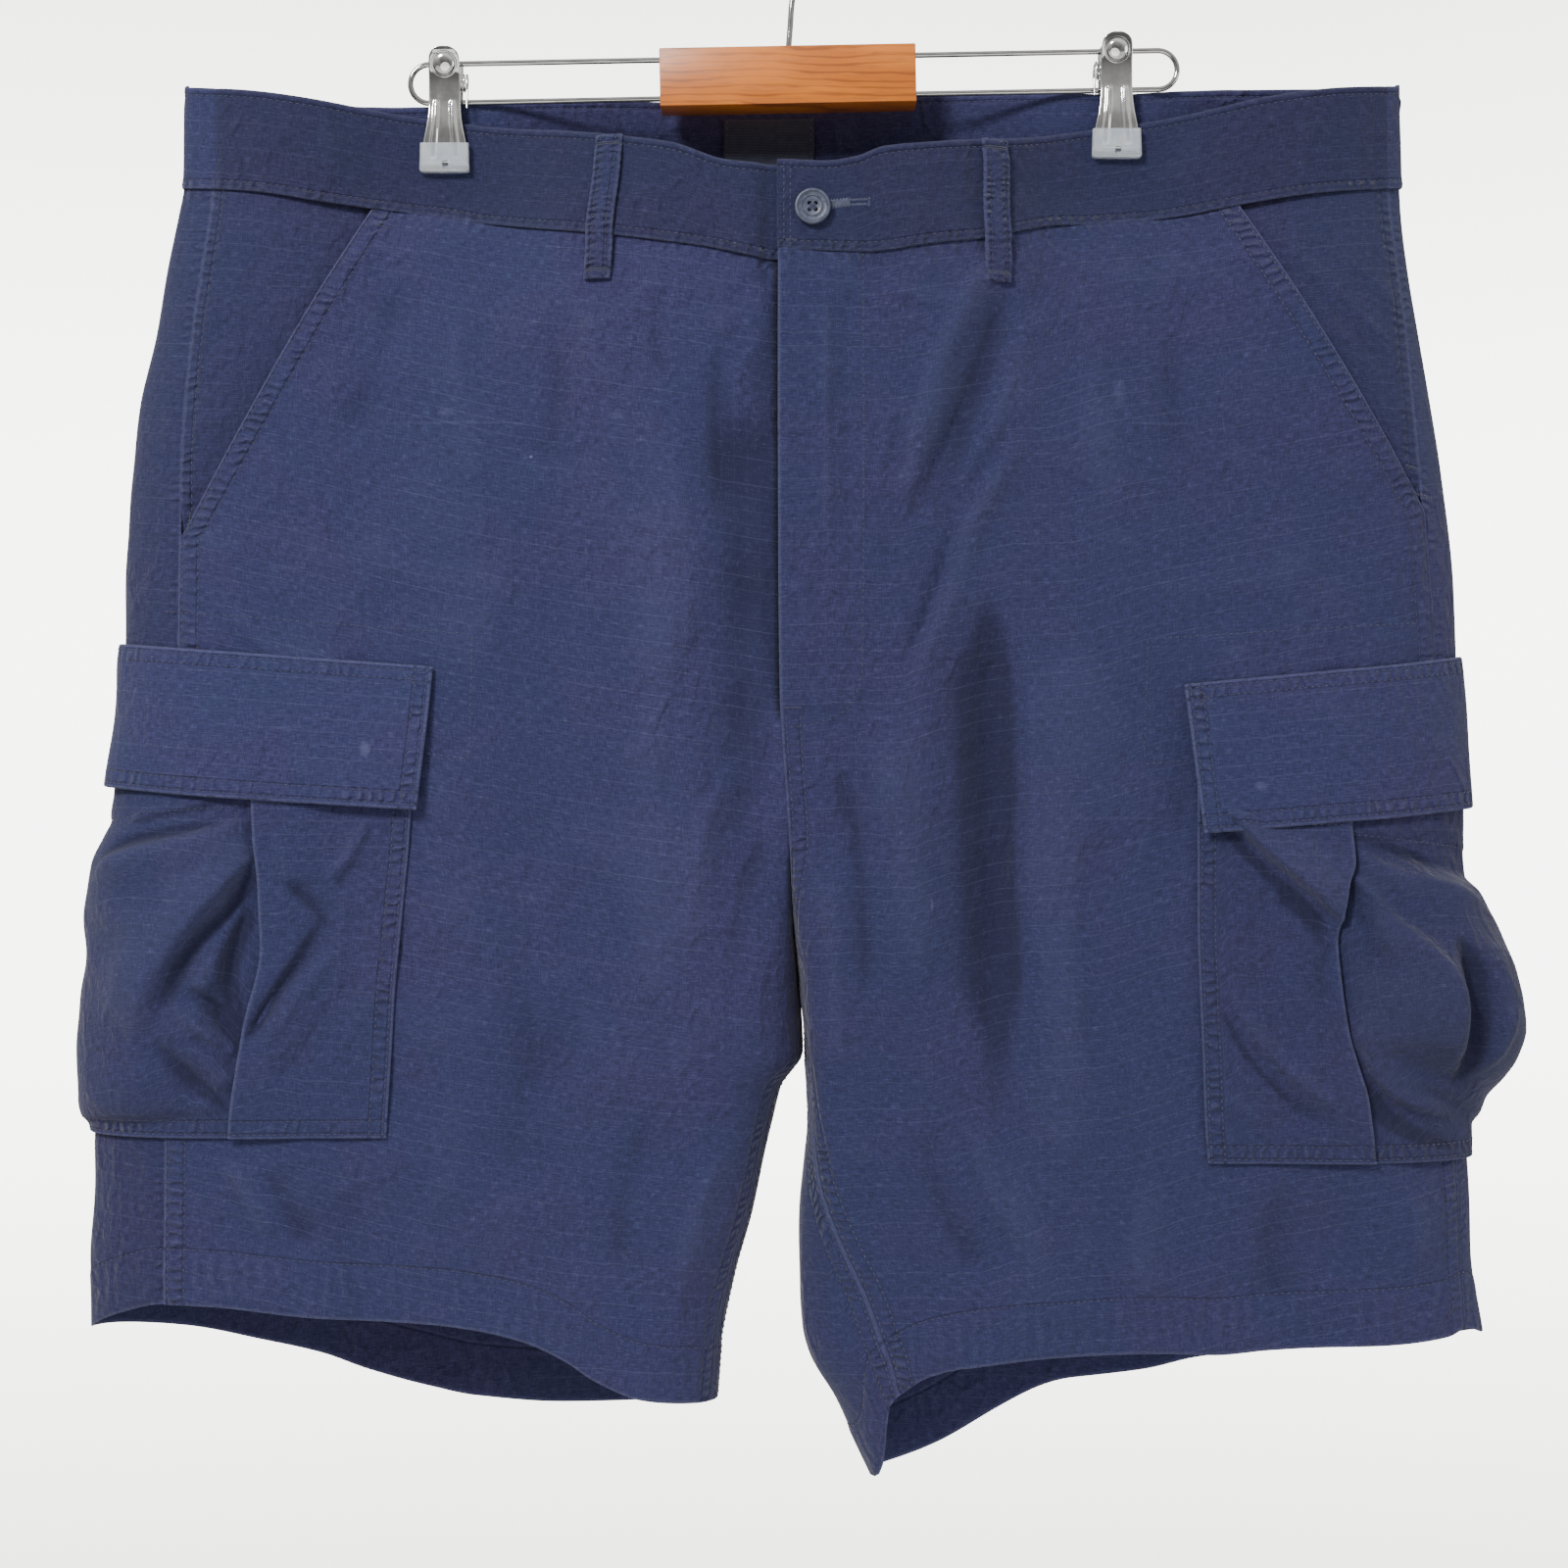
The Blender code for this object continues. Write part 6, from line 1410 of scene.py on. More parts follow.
def makePocket(leg):
    side = leg["side"]
    top, bottom = pocket["top"][side], pocket["bottom"][side]
    least = pocket["laidOn"] + pocket["thick"]
    overFull = least + 0.3 + pocket["thick"] + 0.6
    down = stepsDown(pocket["rows"])
    z = top + (bottom - top) * down
    pleat = read(pleats[side], pleatColumns, "pleat", z)
    openLow = ease((z - bottom) / 26.0)
    openTop = ease((top - z - 14.0) / 30.0)

    across = stepsAcross(pocket["flatCells"])
    along = pocket["frontEdge"][side] + (pleat - pocket["frontEdge"][side]) * across
    up = ease((across - 0.42) / 0.4)
    lift = least + (overFull - least) * up
    lift = lift + (pocket["pleatLift"] - overFull) * up * openLow * openTop
    points = around(leg, along, z)
    away = measured(points)
    creases = creaseField(flatCreases[side], points[..., 0], points[..., 2])
    creases = creases + softWaves(pocket["flatSeed"], points[..., 0], points[..., 2],
                                  *pocket["flatWaves"])
    calm = ease(away["left"] / 9.0) * ease(away["bottom"] / 9.0) * ease(away["top"] / 16.0)
    creases = np.maximum(creases, 1.5 - lift)
    hem = 0.7 * ease((pocket["mouthHem"] + 0.6 - away["top"]) / 1.6)
    lip = 0.6 * np.exp(-(away["right"] / 4.0) ** 2)
    panel = panelFrom(points, ringHint(leg, points), lift + creases * calm + hem + lip)
    # fold: crease heights, the edge lip and the painted shade lines, painted darker in the
    # valleys
    panel["fold"] = creases * calm + lip * 2.0 + creaseField(
        shadowLines["flat"][side], points[..., 0], points[..., 2])
    name = "cargo_pocket_" + side
    piece = sewShell(name, panel, pocket["thick"], flatCloth[side], weaveFrom="left")
    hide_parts(name)
    for row in pocket["rowsIn"]:
        stitchAlong(name, *lineAcross(panel, "left", row))
        stitchAlong(name, *lineAcross(panel, "bottom", row))
    stitchAlong(name, *lineAcross(panel, "top", pocket["mouthHem"]))
    made = {"flat": (panel, piece)}

    even = stepsAcross(pocket["fullCells"])
    across = even - 0.03 * np.sin(2.0 * math.pi * even)
    start = pleat + pocket["pleatUnder"]
    along = start + (pocket["backEdge"][side] - start) * across
    behind = pleat - along
    slopeTop, slopeLow = pocket["slope"][side]
    bulge = read(pleats[side], pleatColumns, "bulge", z - np.clip(along / pleat, 0.0, 1.0)
                 * (slopeTop + (slopeLow - slopeTop) * down))
    fromBack = along - pocket["backEdge"][side]
    fullness = ease((behind + 2.0) / 30.0) * ease(fromBack / 50.0)
    puff = 1.0 + 0.4 * np.exp(-((behind - 44.0) / 24.0) ** 2)
    lift = least + bulge * fullness * puff
    lift = lift + pocket["foldHeight"] * relief(pocketFolds[side], along, z) * (
        fullness * openLow * openTop)
    points = around(leg, along, z)
    away = measured(points)
    creases = creaseField(fullCreases[side], along, z)
    creases = creases + softWaves(pocket["fullSeed"], along, z, *pocket["fullWaves"])
    calm = ease((behind + 2.0) / 9.0) * ease(away["right"] / 12.0)
    calm = calm * ease(away["bottom"] / 11.0) * ease((away["top"] - 14.0) / 12.0)
    near, far = pocket["hemLine"][side]
    hemLine = near + (far - near) * np.clip(across / 0.45, 0.0, 1.0)
    hem = 0.6 * ease((hemLine + 0.6 - away["top"]) / 1.6)
    lift = np.maximum(lift + creases * calm, least) + hem
    panel = panelFrom(points, ringHint(leg, points), lift)
    # fold: crease heights and the painted shade lines, painted darker in the valleys
    panel["fold"] = creases * calm + creaseField(shadowLines["full"][side], along, z)
    name = "cargo_bellows_" + side
    piece = sewShell(name, panel, pocket["thick"], fullCloth[side], weaveFrom="left")
    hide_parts(name)
    for row in pocket["rowsIn"]:
        stitchAlong(name, *lineAcross(panel, "right", row))
        stitchAlong(name, *lineAcross(panel, "bottom", row, 9.0))
    stitchAlong(name, *lineAcross(panel, "top", lambda share: near + (far - near)
                                  * min(1.0, share / 0.45)))
    made["full"] = (panel, piece)
    return made


for leg in legs.values():
    made = makePocket(leg)
    panels["pocket_" + leg["side"]] = made["flat"]
    panels["bellows_" + leg["side"]] = made["full"]
print("cargo pockets sewn")

# flaps, folded double, with two rows of stitches round their free edges
flap = {"rows": 40, "cells": 130, "thick": 1.8, "lift": 7.2,
        "flare": {"right": -4.5, "left": -8.5}, "rowsIn": (1.7, 7.2), "topRows": (1.7, 6.4),
        "ripple": 0.7, "waves": (0.6, 34.0, 80.0), "seeds": {"right": 61, "left": 62}}
flapColumns = ("along", "top", "bottom")
flapShape = {
    "right": ((160.0, -360.6, -425.4), (76.0, -354.4, -420.4), (0.0, -348.6, -414.8),
              (-80.0, -351.0, -417.0)),
    "left": ((143.0, -368.6, -436.4), (72.0, -362.0, -430.6), (0.0, -354.6, -424.4),
             (-98.0, -358.0, -427.0)),
}
flapSeam = {"near": 1.7, "far": 7.2, "pitch": 5.4}
flapSeams = [dict(flapSeam, on=word) for word in ("left", "right", "bottom")]
flapSeams.append(dict(flapSeam, on="top", pucker=0.7))
# the flaps are painted lighter than the fronts, the right flap most: painted light
flapCloth = {
    "right": clothMaterial("navy cotton, right flap", flapSeams, 1.08,
                           ((-195, -398, 3.2, 4.6, 0.30), (-232, -388, 12.0, 0.8, 0.10))),
    "left": clothMaterial("navy cotton, left flap", flapSeams, 1.0,
                          ((217, -415, 4.0, 2.6, 0.22), (258, -392, 14.0, 0.7, 0.08))),
}


def makeFlap(leg):
    side = leg["side"]
    rows = flapShape[side]
    frontEnd, backEnd = rows[0][0], rows[-1][0]
    across = stepsAcross(flap["cells"])
    down = stepsDown(flap["rows"])
    along = frontEnd + (backEnd - frontEnd) * across
    top = read(rows, flapColumns, "top", along)
    bottom = read(rows, flapColumns, "bottom", along)
    z = top + (bottom - top) * down
    along = along + flap["flare"][side] * down * np.clip(along / frontEnd, 0.0, 1.0)
    least = pocket["laidOn"] + flap["thick"]
    lift = least + (flap["lift"] - least) * down ** 0.8 + 0.0 * along
    points = around(leg, along, z)
    waves = softWaves(flap["seeds"][side], along, z * 0.6, *flap["waves"])
    ripple = flap["ripple"] * np.sin(along / 13.0 + 2.0 * np.sin(along / 31.0))
    ripple = ripple * ease((down - 0.5) / 0.5)
    panel = panelFrom(points, ringHint(leg, points), lift + waves * ease(down / 0.3) + ripple)
    # fold: waves and ripple, painted darker where they dip as painted shade
    panel["fold"] = waves + ripple
    name = "cargo_flap_" + side
    piece = sewShell(name, panel, flap["thick"], flapCloth[side], weaveFrom="left")
    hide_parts(name)
    for row in flap["rowsIn"]:
        stitchAlong(name, *lineAcross(panel, "left", row))
        stitchAlong(name, *lineAcross(panel, "right", row))
        stitchAlong(name, *lineAcross(panel, "bottom", row))
    for row in flap["topRows"]:
        stitchAlong(name, *lineAcross(panel, "top", row))
    x, z = (float(part) for part in panel["points"][4, 5, (0, 2)])
    for way in (-1.0, 1.0):
        stitchAlong(name, *lineOn(panel, ((x - 3.2, z - 3.2 * way), (x + 3.2, z + 3.2 * way)),
                                  0.8), pitch=1.5, length=1.5)
    return panel, piece


for leg in legs.values():
    panels["flap_" + leg["side"]] = makeFlap(leg)
print("flaps sewn")

# belt loops
loop = {"width": 11.6, "lift": 3.2, "thick": 1.6, "rows": 88, "cells": 14,
        "front": {"belt_loop_front_right": (-82.3, -89.0),
                  "belt_loop_front_left": (94.6, 96.8)},
        "back": {"belt_loop_back_right": -118.0, "belt_loop_centre_back": 3.0,
                 "belt_loop_back_left": 122.0},
        "frontLength": 66.0, "backLength": 62.0, "overBand": 1.3, "bandShare": 0.76,
        "tackDip": 0.5, "wrinkle": 0.22, "tackRows": (3.2, 4.1), "sideRow": 2.6}
# the belt loops are a darker copy of the cotton: painted shade
loopCloth = clothMaterial("navy cotton, belt loop", shade=0.84, seams=[
    {"on": "left", "near": 1.0, "far": 4.4, "rows": (2.6,), "pitch": 3.6, "pucker": 1.1},
    {"on": "right", "near": 1.0, "far": 4.4, "rows": (2.6,), "pitch": 3.6, "pucker": 1.1},
    {"on": "top", "near": 3.0, "far": 4.0, "rows": (3.6,), "pucker": 0.0},
    {"on": "bottom", "near": 2.0, "far": 3.0, "rows": (3.6,), "pucker": 0.0}])


def makeLoop(name, face, topX, bottomX, topZ, length):
    across = np.linspace(-0.5, 0.5, loop["cells"] + 1)[None, :]
    down = stepsDown(loop["rows"])
    leg = legs["right"] if topX < 0.0 else legs["left"]
    x = topX + (bottomX - topX) * down + loop["width"] * across
    x = x + 0.35 * np.sin(down * 9.0 + topX)
    z = topZ - length * down + 0.0 * x
    points = onForm(leg, face, x, z)
    least = pocket["laidOn"] + loop["thick"]
    raised = ease(down / 0.16) * ease((1.0 - down) / 0.16)
    lift = least + (loop["lift"] - least) * raised + 0.5 * np.cos(math.pi * across) - 0.2
    lift = lift + loop["overBand"] * ease((loop["bandShare"] - down) / 0.1)
    tack = np.exp(-((down - 0.06) / 0.02) ** 2) + np.exp(-((down - 0.94) / 0.02) ** 2)
    wrinkle = loop["wrinkle"] * np.sin(down * length * 1.5 + 3.0 * across) * raised
    panel = panelFrom(points, (0.0, -1.0 if face == "front" else 1.0, 0.0),
                      lift - loop["tackDip"] * tack + wrinkle + 0.0 * x)
    panel["fold"] = 1.6 * raised * np.cos(math.pi * across) + wrinkle
    piece = sewShell(name, panel, loop["thick"], loopCloth, weaveFrom="left")
    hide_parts(name)
    for edge in ("left", "right"):
        stitchAlong(name, *lineAcross(panel, edge, loop["sideRow"]), pitch=2.6, length=2.0)
    for edge in ("top", "bottom"):
        for row in loop["tackRows"]:
            stitchAlong(name, *lineAcross(panel, edge, row), pitch=0.9, length=1.8, half=0.34)
    return panel, piece


for name, (topX, bottomX) in loop["front"].items():
    table = bandTop["right" if topX < 0.0 else "left"]
    topZ = float(edgeHeight(table, topX)) - 0.6
    panels[name] = makeLoop(name, "front", topX, bottomX, topZ, loop["frontLength"])
for name, x in loop["back"].items():
    topZ = float(edgeHeight(bandTop["back"], x)) - 0.6
    panels[name] = makeLoop(name, "back", x, x, topZ, loop["backLength"])
print("belt loops sewn")

# the bare label inside the back of the waistband
label = {"x": (-31.6, 12.4), "drop": (8.4, 40.5), "thick": 0.9, "rows": 40, "cells": 56,
         "colour": (0.022, 0.025, 0.044, 1.0), "pale": (0.060, 0.066, 0.096, 1.0)}


def labelMaterial():
    made, tree, shader = newMaterial("charcoal woven label", 0.9)[:3]
    shader.inputs["Specular IOR Level"].default_value = 0.15
    weave = tree.nodes.new("ShaderNodeUVMap")
    weave.uv_map = "weave"
    ribs = tree.nodes.new("ShaderNodeTexWave")
    ribs.bands_direction = "Y"
    ribs.inputs["Scale"].default_value = 420.0
    ribs.inputs["Distortion"].default_value = 1.2
    wire(tree, weave.outputs["UV"], ribs.inputs["Vector"])
    tone = grain(tree, weave.outputs["UV"], 300.0, 3.0, 0.6)
    amount = number(tree, "MULTIPLY", number(tree, "ADD", ribs.outputs["Fac"], tone), 0.5)
    wire(tree, blendColour(tree, spread(tree, amount, 0.2, 0.9), label["colour"],
                           label["pale"]), shader.inputs["Base Color"])
    addBump(tree, shader, ribs.outputs["Fac"], 0.0002, 0.5)
    return made


def makeLabel():
    across = stepsAcross(label["cells"])
    down = stepsDown(label["rows"])
    x = label["x"][0] + (label["x"][1] - label["x"][0]) * across
    top = edgeHeight(bandTop["back"], x) - label["drop"][0]
    z = top - (label["drop"][1] - label["drop"][0]) * down
    x = x + 0.0 * z
    points = onForm(legs["right"], "back", x, z)
    sink = band["proud"] - band["thick"] - 0.5 + 0.25 * np.sin(x / 5.0) * np.sin(z / 6.0)
    panel = panelFrom(points, (0.0, 1.0, 0.0), sink)
    panel["normal"] = -panel["normal"]
    piece = sewShell("waist_label", panel, -label["thick"], labelMaterial(),
                     "left")
    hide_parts("inner_label")
    flipped = dict(panel, points=panel["points"] + panel["normal"] * label["thick"])
    for edge in ("left", "right"):
        stitchAlong("waist_label", *lineAcross(flipped, edge, 1.6))
    return panel, piece


panels["label"] = makeLabel()
print("label sewn")

# hard pieces, modelled in edit mode
def spot(x, y, z):
    return Vector((x * mm, y * mm, (z - rise) * mm))


def enter():
    bpy.ops.object.mode_set(mode="EDIT")


def leave():
    bpy.ops.object.mode_set(mode="OBJECT")


def settle():
    bpy.ops.object.transform_apply(location=True, rotation=True, scale=True)


def begin():
    if bpy.context.object and bpy.context.object.mode != "OBJECT":
        leave()
    bpy.ops.object.select_all(action="DESELECT")


def choose(piece):
    begin()
    piece.select_set(True)
    bpy.context.view_layer.objects.active = piece


def pick(piece, kind, test):
    bpy.ops.mesh.select_mode(type=kind)
    bpy.ops.mesh.select_all(action="DESELECT")
    work = bmesh.from_edit_mesh(piece.data)
    for item in {"VERT": work.verts, "EDGE": work.edges, "FACE": work.faces}[kind]:
        if test(item):
            item.select_set(True)
    bmesh.update_edit_mesh(piece.data)


def extrude(x, y, z):
    bpy.ops.mesh.extrude_region_move(TRANSFORM_OT_translate={"value": (x * mm, y * mm, z * mm)})


def shift(x, y, z):
    bpy.ops.transform.translate(value=(x * mm, y * mm, z * mm))


def inset(width):
    bpy.ops.mesh.inset(thickness=width * mm, depth=0.0)


def tidy():
    bpy.ops.mesh.select_all(action="SELECT")
    bpy.ops.mesh.remove_doubles(threshold=0.00001)
    bpy.ops.mesh.normals_make_consistent(inside=False)


def modify(piece, kind, **values):
    made = piece.modifiers.new(kind.lower(), kind)
    for word, value in values.items():
        setattr(made, word, value)
    if kind == "SUBSURF":
        made.render_levels = made.levels
    bpy.ops.object.modifier_apply(modifier=made.name)


def drill(piece, cutter):
    choose(piece)
    modify(piece, "BOOLEAN", operation="DIFFERENCE", solver="EXACT", object=cutter)
    bpy.data.objects.remove(cutter)


def finishHard(piece, name, look, nodes, angle=40.0):
    choose(piece)
    settle()
    if angle:
        bpy.ops.object.shade_smooth_by_angle(angle=math.radians(angle))
    else:
        bpy.ops.object.shade_smooth()
    piece.name = name
    piece.data.name = name
    piece.data.materials.clear()
    piece.data.materials.append(look)
    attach(piece, "root")
    for node in nodes:
        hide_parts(node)
    return piece


# a round wire along handles, made a mesh
def bendWire(path, radius, smooth=True, sides=3):
    begin()
    bpy.ops.curve.primitive_bezier_curve_add(location=(0.0, 0.0, 0.0))
    made = bpy.context.active_object
    curve = made.data
    curve.dimensions = "3D"
    curve.bevel_depth = radius * mm
    curve.bevel_resolution = sides
    curve.resolution_u = 6
    curve.use_fill_caps = True
    spline = curve.splines[0]
    spline.bezier_points.add(len(path) - 2)
    for point, place in zip(spline.bezier_points, path):
        point.co = spot(*place)
        point.handle_left_type = point.handle_right_type = "AUTO" if smooth else "VECTOR"
    bpy.ops.object.convert(target="MESH")
    made = bpy.context.active_object
    enter()
    tidy()
    leave()
    return made


def joinPieces(pieces):
    begin()
    for piece in pieces:
        piece.select_set(True)
    bpy.context.view_layer.objects.active = pieces[0]
    bpy.ops.object.join()
    return bpy.context.active_object


# materials of the hanger and the button
def steelMaterial(name, shade):
    made, tree, shader, place = newMaterial(name, 0.14)
    shader.inputs["Metallic"].default_value = 1.0
    shader.inputs["Specular Tint"].default_value = (0.22, 0.22, 0.23, 1.0)
    haze = grain(tree, place, 160.0, 3.0, 0.6)
    streak = grain(tree, place, 1.0, 2.0, 0.6, (2400.0, 2400.0, 160.0))
    wire(tree, blendColour(tree, spread(tree, haze, 0.3, 0.7),
                           (0.60 * shade, 0.60 * shade, 0.61 * shade, 1.0),
                           (0.74 * shade, 0.74 * shade, 0.75 * shade, 1.0)),
         shader.inputs["Base Color"])
    rough = number(tree, "ADD", spread(tree, haze, 0.45, 0.8, 0.05, 0.16),
                   spread(tree, streak, 0.55, 0.8, 0.0, 0.08))
    wire(tree, rough, shader.inputs["Roughness"])
    addBump(tree, shader, plus(tree, haze, streak, 0.3), 0.00003, 0.5)
    return made


woodLook = {"light": (0.63, 0.180, 0.016, 1.0), "middle": (0.45, 0.117, 0.011, 1.0),
            "dark": (0.17, 0.040, 0.006, 1.0), "roughness": 0.42, "varnish": 0.16}


def woodMaterial():
    made, tree, shader, place = newMaterial("varnished wood", woodLook["roughness"])
    shader.inputs["Coat Weight"].default_value = woodLook["varnish"]
    shader.inputs["Coat Roughness"].default_value = 0.28
    cloud = grain(tree, place, 1.0, 3.0, 0.55, (14.0, 60.0, 60.0))
    mapping = tree.nodes.new("ShaderNodeMapping")
    mapping.inputs["Scale"].default_value = (0.24, 1.0, 1.0)
    wire(tree, place, mapping.inputs["Vector"])
    rings = tree.nodes.new("ShaderNodeTexWave")
    rings.bands_direction = "Z"
    rings.inputs["Scale"].default_value = 85.0
    rings.inputs["Distortion"].default_value = 10.0
    rings.inputs["Detail"].default_value = 3.0
    rings.inputs["Detail Scale"].default_value = 0.7
    wire(tree, mapping.outputs["Vector"], rings.inputs["Vector"])
    pores = grain(tree, place, 1.0, 3.0, 0.65, (60.0, 1500.0, 1500.0))
    colour = blendColour(tree, spread(tree, cloud, 0.35, 0.7), woodLook["light"],
                         woodLook["middle"])
    faint = number(tree, "MULTIPLY", spread(tree, rings.outputs["Fac"], 0.66, 1.0, 0.0, 0.60),
                   spread(tree, cloud, 0.40, 0.62, 0.25, 1.0))
    colour = blendColour(tree, faint, colour, woodLook["dark"])
    colour = blendColour(tree, spread(tree, pores, 0.52, 0.76, 0.0, 0.55), colour,
                         woodLook["dark"])
    wire(tree, colour, shader.inputs["Base Color"])
    wire(tree, spread(tree, pores, 0.4, 0.8, 0.30, 0.46), shader.inputs["Roughness"])
    addBump(tree, shader, pores, 0.00008, 0.6)
    return made


def plasticMaterial():
    made, tree, shader, place = newMaterial("milky clear plastic", 0.18)
    shader.inputs["Transmission Weight"].default_value = 0.74
    shader.inputs["IOR"].default_value = 1.46
    haze = grain(tree, place, 210.0, 3.0, 0.6)
    wire(tree, blendColour(tree, spread(tree, haze, 0.3, 0.7), (0.80, 0.87, 0.98, 1.0),
                           (0.92, 0.96, 1.00, 1.0)), shader.inputs["Base Color"])
    wire(tree, spread(tree, haze, 0.4, 0.75, 0.05, 0.16), shader.inputs["Roughness"])
    addBump(tree, shader, haze, 0.00008, 0.3)
    return made


def buttonMaterial():
    made, tree, shader, place = newMaterial("blue-grey button", 0.42)
    haze = grain(tree, place, 420.0, 3.0, 0.6)
    wire(tree, blendColour(tree, spread(tree, haze, 0.3, 0.7), (0.042, 0.050, 0.082, 1.0),
                           (0.066, 0.077, 0.120, 1.0)), shader.inputs["Base Color"])
    wire(tree, spread(tree, haze, 0.35, 0.7, 0.32, 0.52), shader.inputs["Roughness"])
    addBump(tree, shader, haze, 0.0001, 0.5)
    return made


steel = steelMaterial("polished steel", 1.0)
wireSteel = steelMaterial("drawn steel wire", 0.58)

hanger = {"tilt": math.radians(1.1), "rodZ": -78.8, "rodGap": 9.2, "wire": 1.3,
          "ends": {"right": -179.5, "left": 184.2}, "intoBlock": 1.5}
block = {"size": (120.8, 18.0, 27.4), "centre": (-0.5, 0.0, -80.1), "edge": 0.55}
hook = {"inside": 22.0, "wire": 1.4, "centreZ": -2.0, "stem": 24.0, "lean": math.radians(4.5),
        "from": -36.0, "to": 206.0, "sweep": 12.0, "foot": (-0.4, -68.0)}


def hangerPoint(x, above):
    return (x - above * math.sin(hanger["tilt"]), 0.0,
            hanger["rodZ"] + x * math.tan(hanger["tilt"]) + above)


def makeBlock():
    begin()
    bpy.ops.mesh.primitive_cube_add(size=1.0, location=spot(*block["centre"]),
                                    rotation=(0.0, -hanger["tilt"], 0.0))
    piece = bpy.context.active_object
    piece.scale = [part * mm for part in block["size"]]
    bpy.ops.object.transform_apply(location=False, rotation=False, scale=True)
    enter()
    bpy.ops.mesh.select_all(action="SELECT")
    bpy.ops.mesh.bevel(offset=block["edge"] * mm, segments=3, affect="EDGES")
    tidy()
    leave()
    settle()
    for way in (-1.0, 1.0):
        for above in (-1.0, 1.0):
            x = block["centre"][0] + way * block["size"][0] / 2.0
            begin()
            bpy.ops.mesh.primitive_cylinder_add(
                vertices=24, radius=1.75 * mm, depth=5.0 * mm,
                location=spot(*hangerPoint(x, above * hanger["rodGap"])),
                rotation=(0.0, math.radians(90.0) - hanger["tilt"], 0.0))
            drill(piece, bpy.context.active_object)
    begin()
    top = block["centre"][2] + block["size"][2] / 2.0
    bpy.ops.mesh.primitive_cylinder_add(vertices=24, radius=1.9 * mm, depth=5.0 * mm,
                                        location=spot(hook["foot"][0], 0.0, top))
    drill(piece, bpy.context.active_object)
    finishHard(piece, "hanger_wood_block", woodMaterial(), ["hanger_block"],
               30.0)


def makeWires():
    along = Vector((math.cos(hanger["tilt"]), 0.0, math.sin(hanger["tilt"])))
    for side, way in (("right", -1.0), ("left", 1.0)):
        near = block["centre"][0] + way * (block["size"][0] / 2.0 - hanger["intoBlock"])
        bend = hanger["ends"][side] - way * hanger["rodGap"]
        reach = along * (bend - near)
        begin()
        bpy.ops.mesh.primitive_circle_add(
            vertices=20, radius=hanger["wire"] * mm, fill_type="NOTHING",
            location=spot(*hangerPoint(near, hanger["rodGap"])),
            rotation=(0.0, math.radians(90.0) - hanger["tilt"], 0.0))
        piece = bpy.context.active_object
        enter()
        bpy.ops.mesh.select_all(action="SELECT")
        extrude(*reach)
        bpy.ops.mesh.spin(steps=28, angle=-way * math.pi, axis=(0.0, 1.0, 0.0),
                          center=spot(*hangerPoint(bend, 0.0)))
        extrude(*(-reach))
        bpy.ops.mesh.select_all(action="SELECT")
        bpy.ops.mesh.fill_holes(sides=0)
        tidy()
        leave()
        finishHard(piece, "hanger_rod_loop_" + side, wireSteel,
                   ["hanger_wire_" + side], 45.0)


def makeHook():
    bend = hook["inside"] + hook["wire"]
    foot = Vector((hook["foot"][0], 0.0, hook["foot"][1]))
    up = Vector((math.sin(hook["lean"]), 0.0, math.cos(hook["lean"])))
    neck = foot + up * (hook["stem"] + 1.4)
    start = math.radians(hook["from"])
    first = Vector((bend * math.cos(start), 0.0, hook["centreZ"] + bend * math.sin(start)))
    low = neck + up * hook["sweep"]
    high = first - Vector((-math.sin(start), 0.0, math.cos(start))) * hook["sweep"]
    path = [foot, foot.lerp(neck, 0.5)]
    for step in range(6):
        share = step / 6.0
        keep = 1.0 - share
        path.append(neck * keep ** 3 + low * 3.0 * keep ** 2 * share
                    + high * 3.0 * keep * share ** 2 + first * share ** 3)
    for step in range(19):
        turn = math.radians(hook["from"] + (hook["to"] - hook["from"]) * step / 18.0)
        path.append(Vector((bend * math.cos(turn), 0.0,
                            hook["centreZ"] + bend * math.sin(turn))))
    piece = bendWire(path, hook["wire"], sides=5)
    begin()
    bpy.ops.mesh.primitive_uv_sphere_add(segments=20, ring_count=12, radius=hook["wire"] * mm,
                                         location=spot(*path[-1]))
    tip = bpy.context.active_object
    settle()
    finishHard(joinPieces([piece, tip]), "hanger_steel_hook", wireSteel,
               ["hanger_hook"], 50.0)


clip = {"heads": {"right": (-162.6, -66.8), "left": (154.8, -60.0)}, "metal": 0.7, "proud": 0.8,
        "cells": 12, "flange": 2.0, "ribs": (26.0, 51.5), "ribHeight": 0.85,
        "drops": (0.0, 0.5, 1.5, 2.8, 4.4, 8.0, 12.0, 16.0, 20.5, 23.4, 24.9, 27.2, 31.0,
                  35.0, 38.0, 41.0, 44.0, 47.0, 50.0, 52.2, 54.0),
        "domeRadius": 6.2, "domeDrop": 8.0, "domeSpan": 4.0, "coil": 3.8, "coilWire": 0.55,
        "coilTurns": 9, "coilSteps": 8, "coilReach": 6.8, "coilOffset": 3.6,
        "padTop": 44.9, "padEnd": 58.6, "padWidth": 23.6, "padStand": (3.1, 7.2)}
jawColumns = ("drop", "half", "stand")
jawTable = (
    (0.0, 1.7, 9.2), (0.5, 3.6, 9.1), (1.5, 5.4, 8.9), (2.8, 6.5, 8.5), (4.4, 7.15, 8.1),
    (8.0, 7.4, 7.0), (15.0, 7.4, 5.1), (24.5, 7.5, 4.8), (31.0, 7.8, 5.2), (38.0, 8.8, 5.5),
    (44.0, 10.1, 5.0), (50.0, 10.7, 4.7), (54.0, 10.8, 4.6),
)


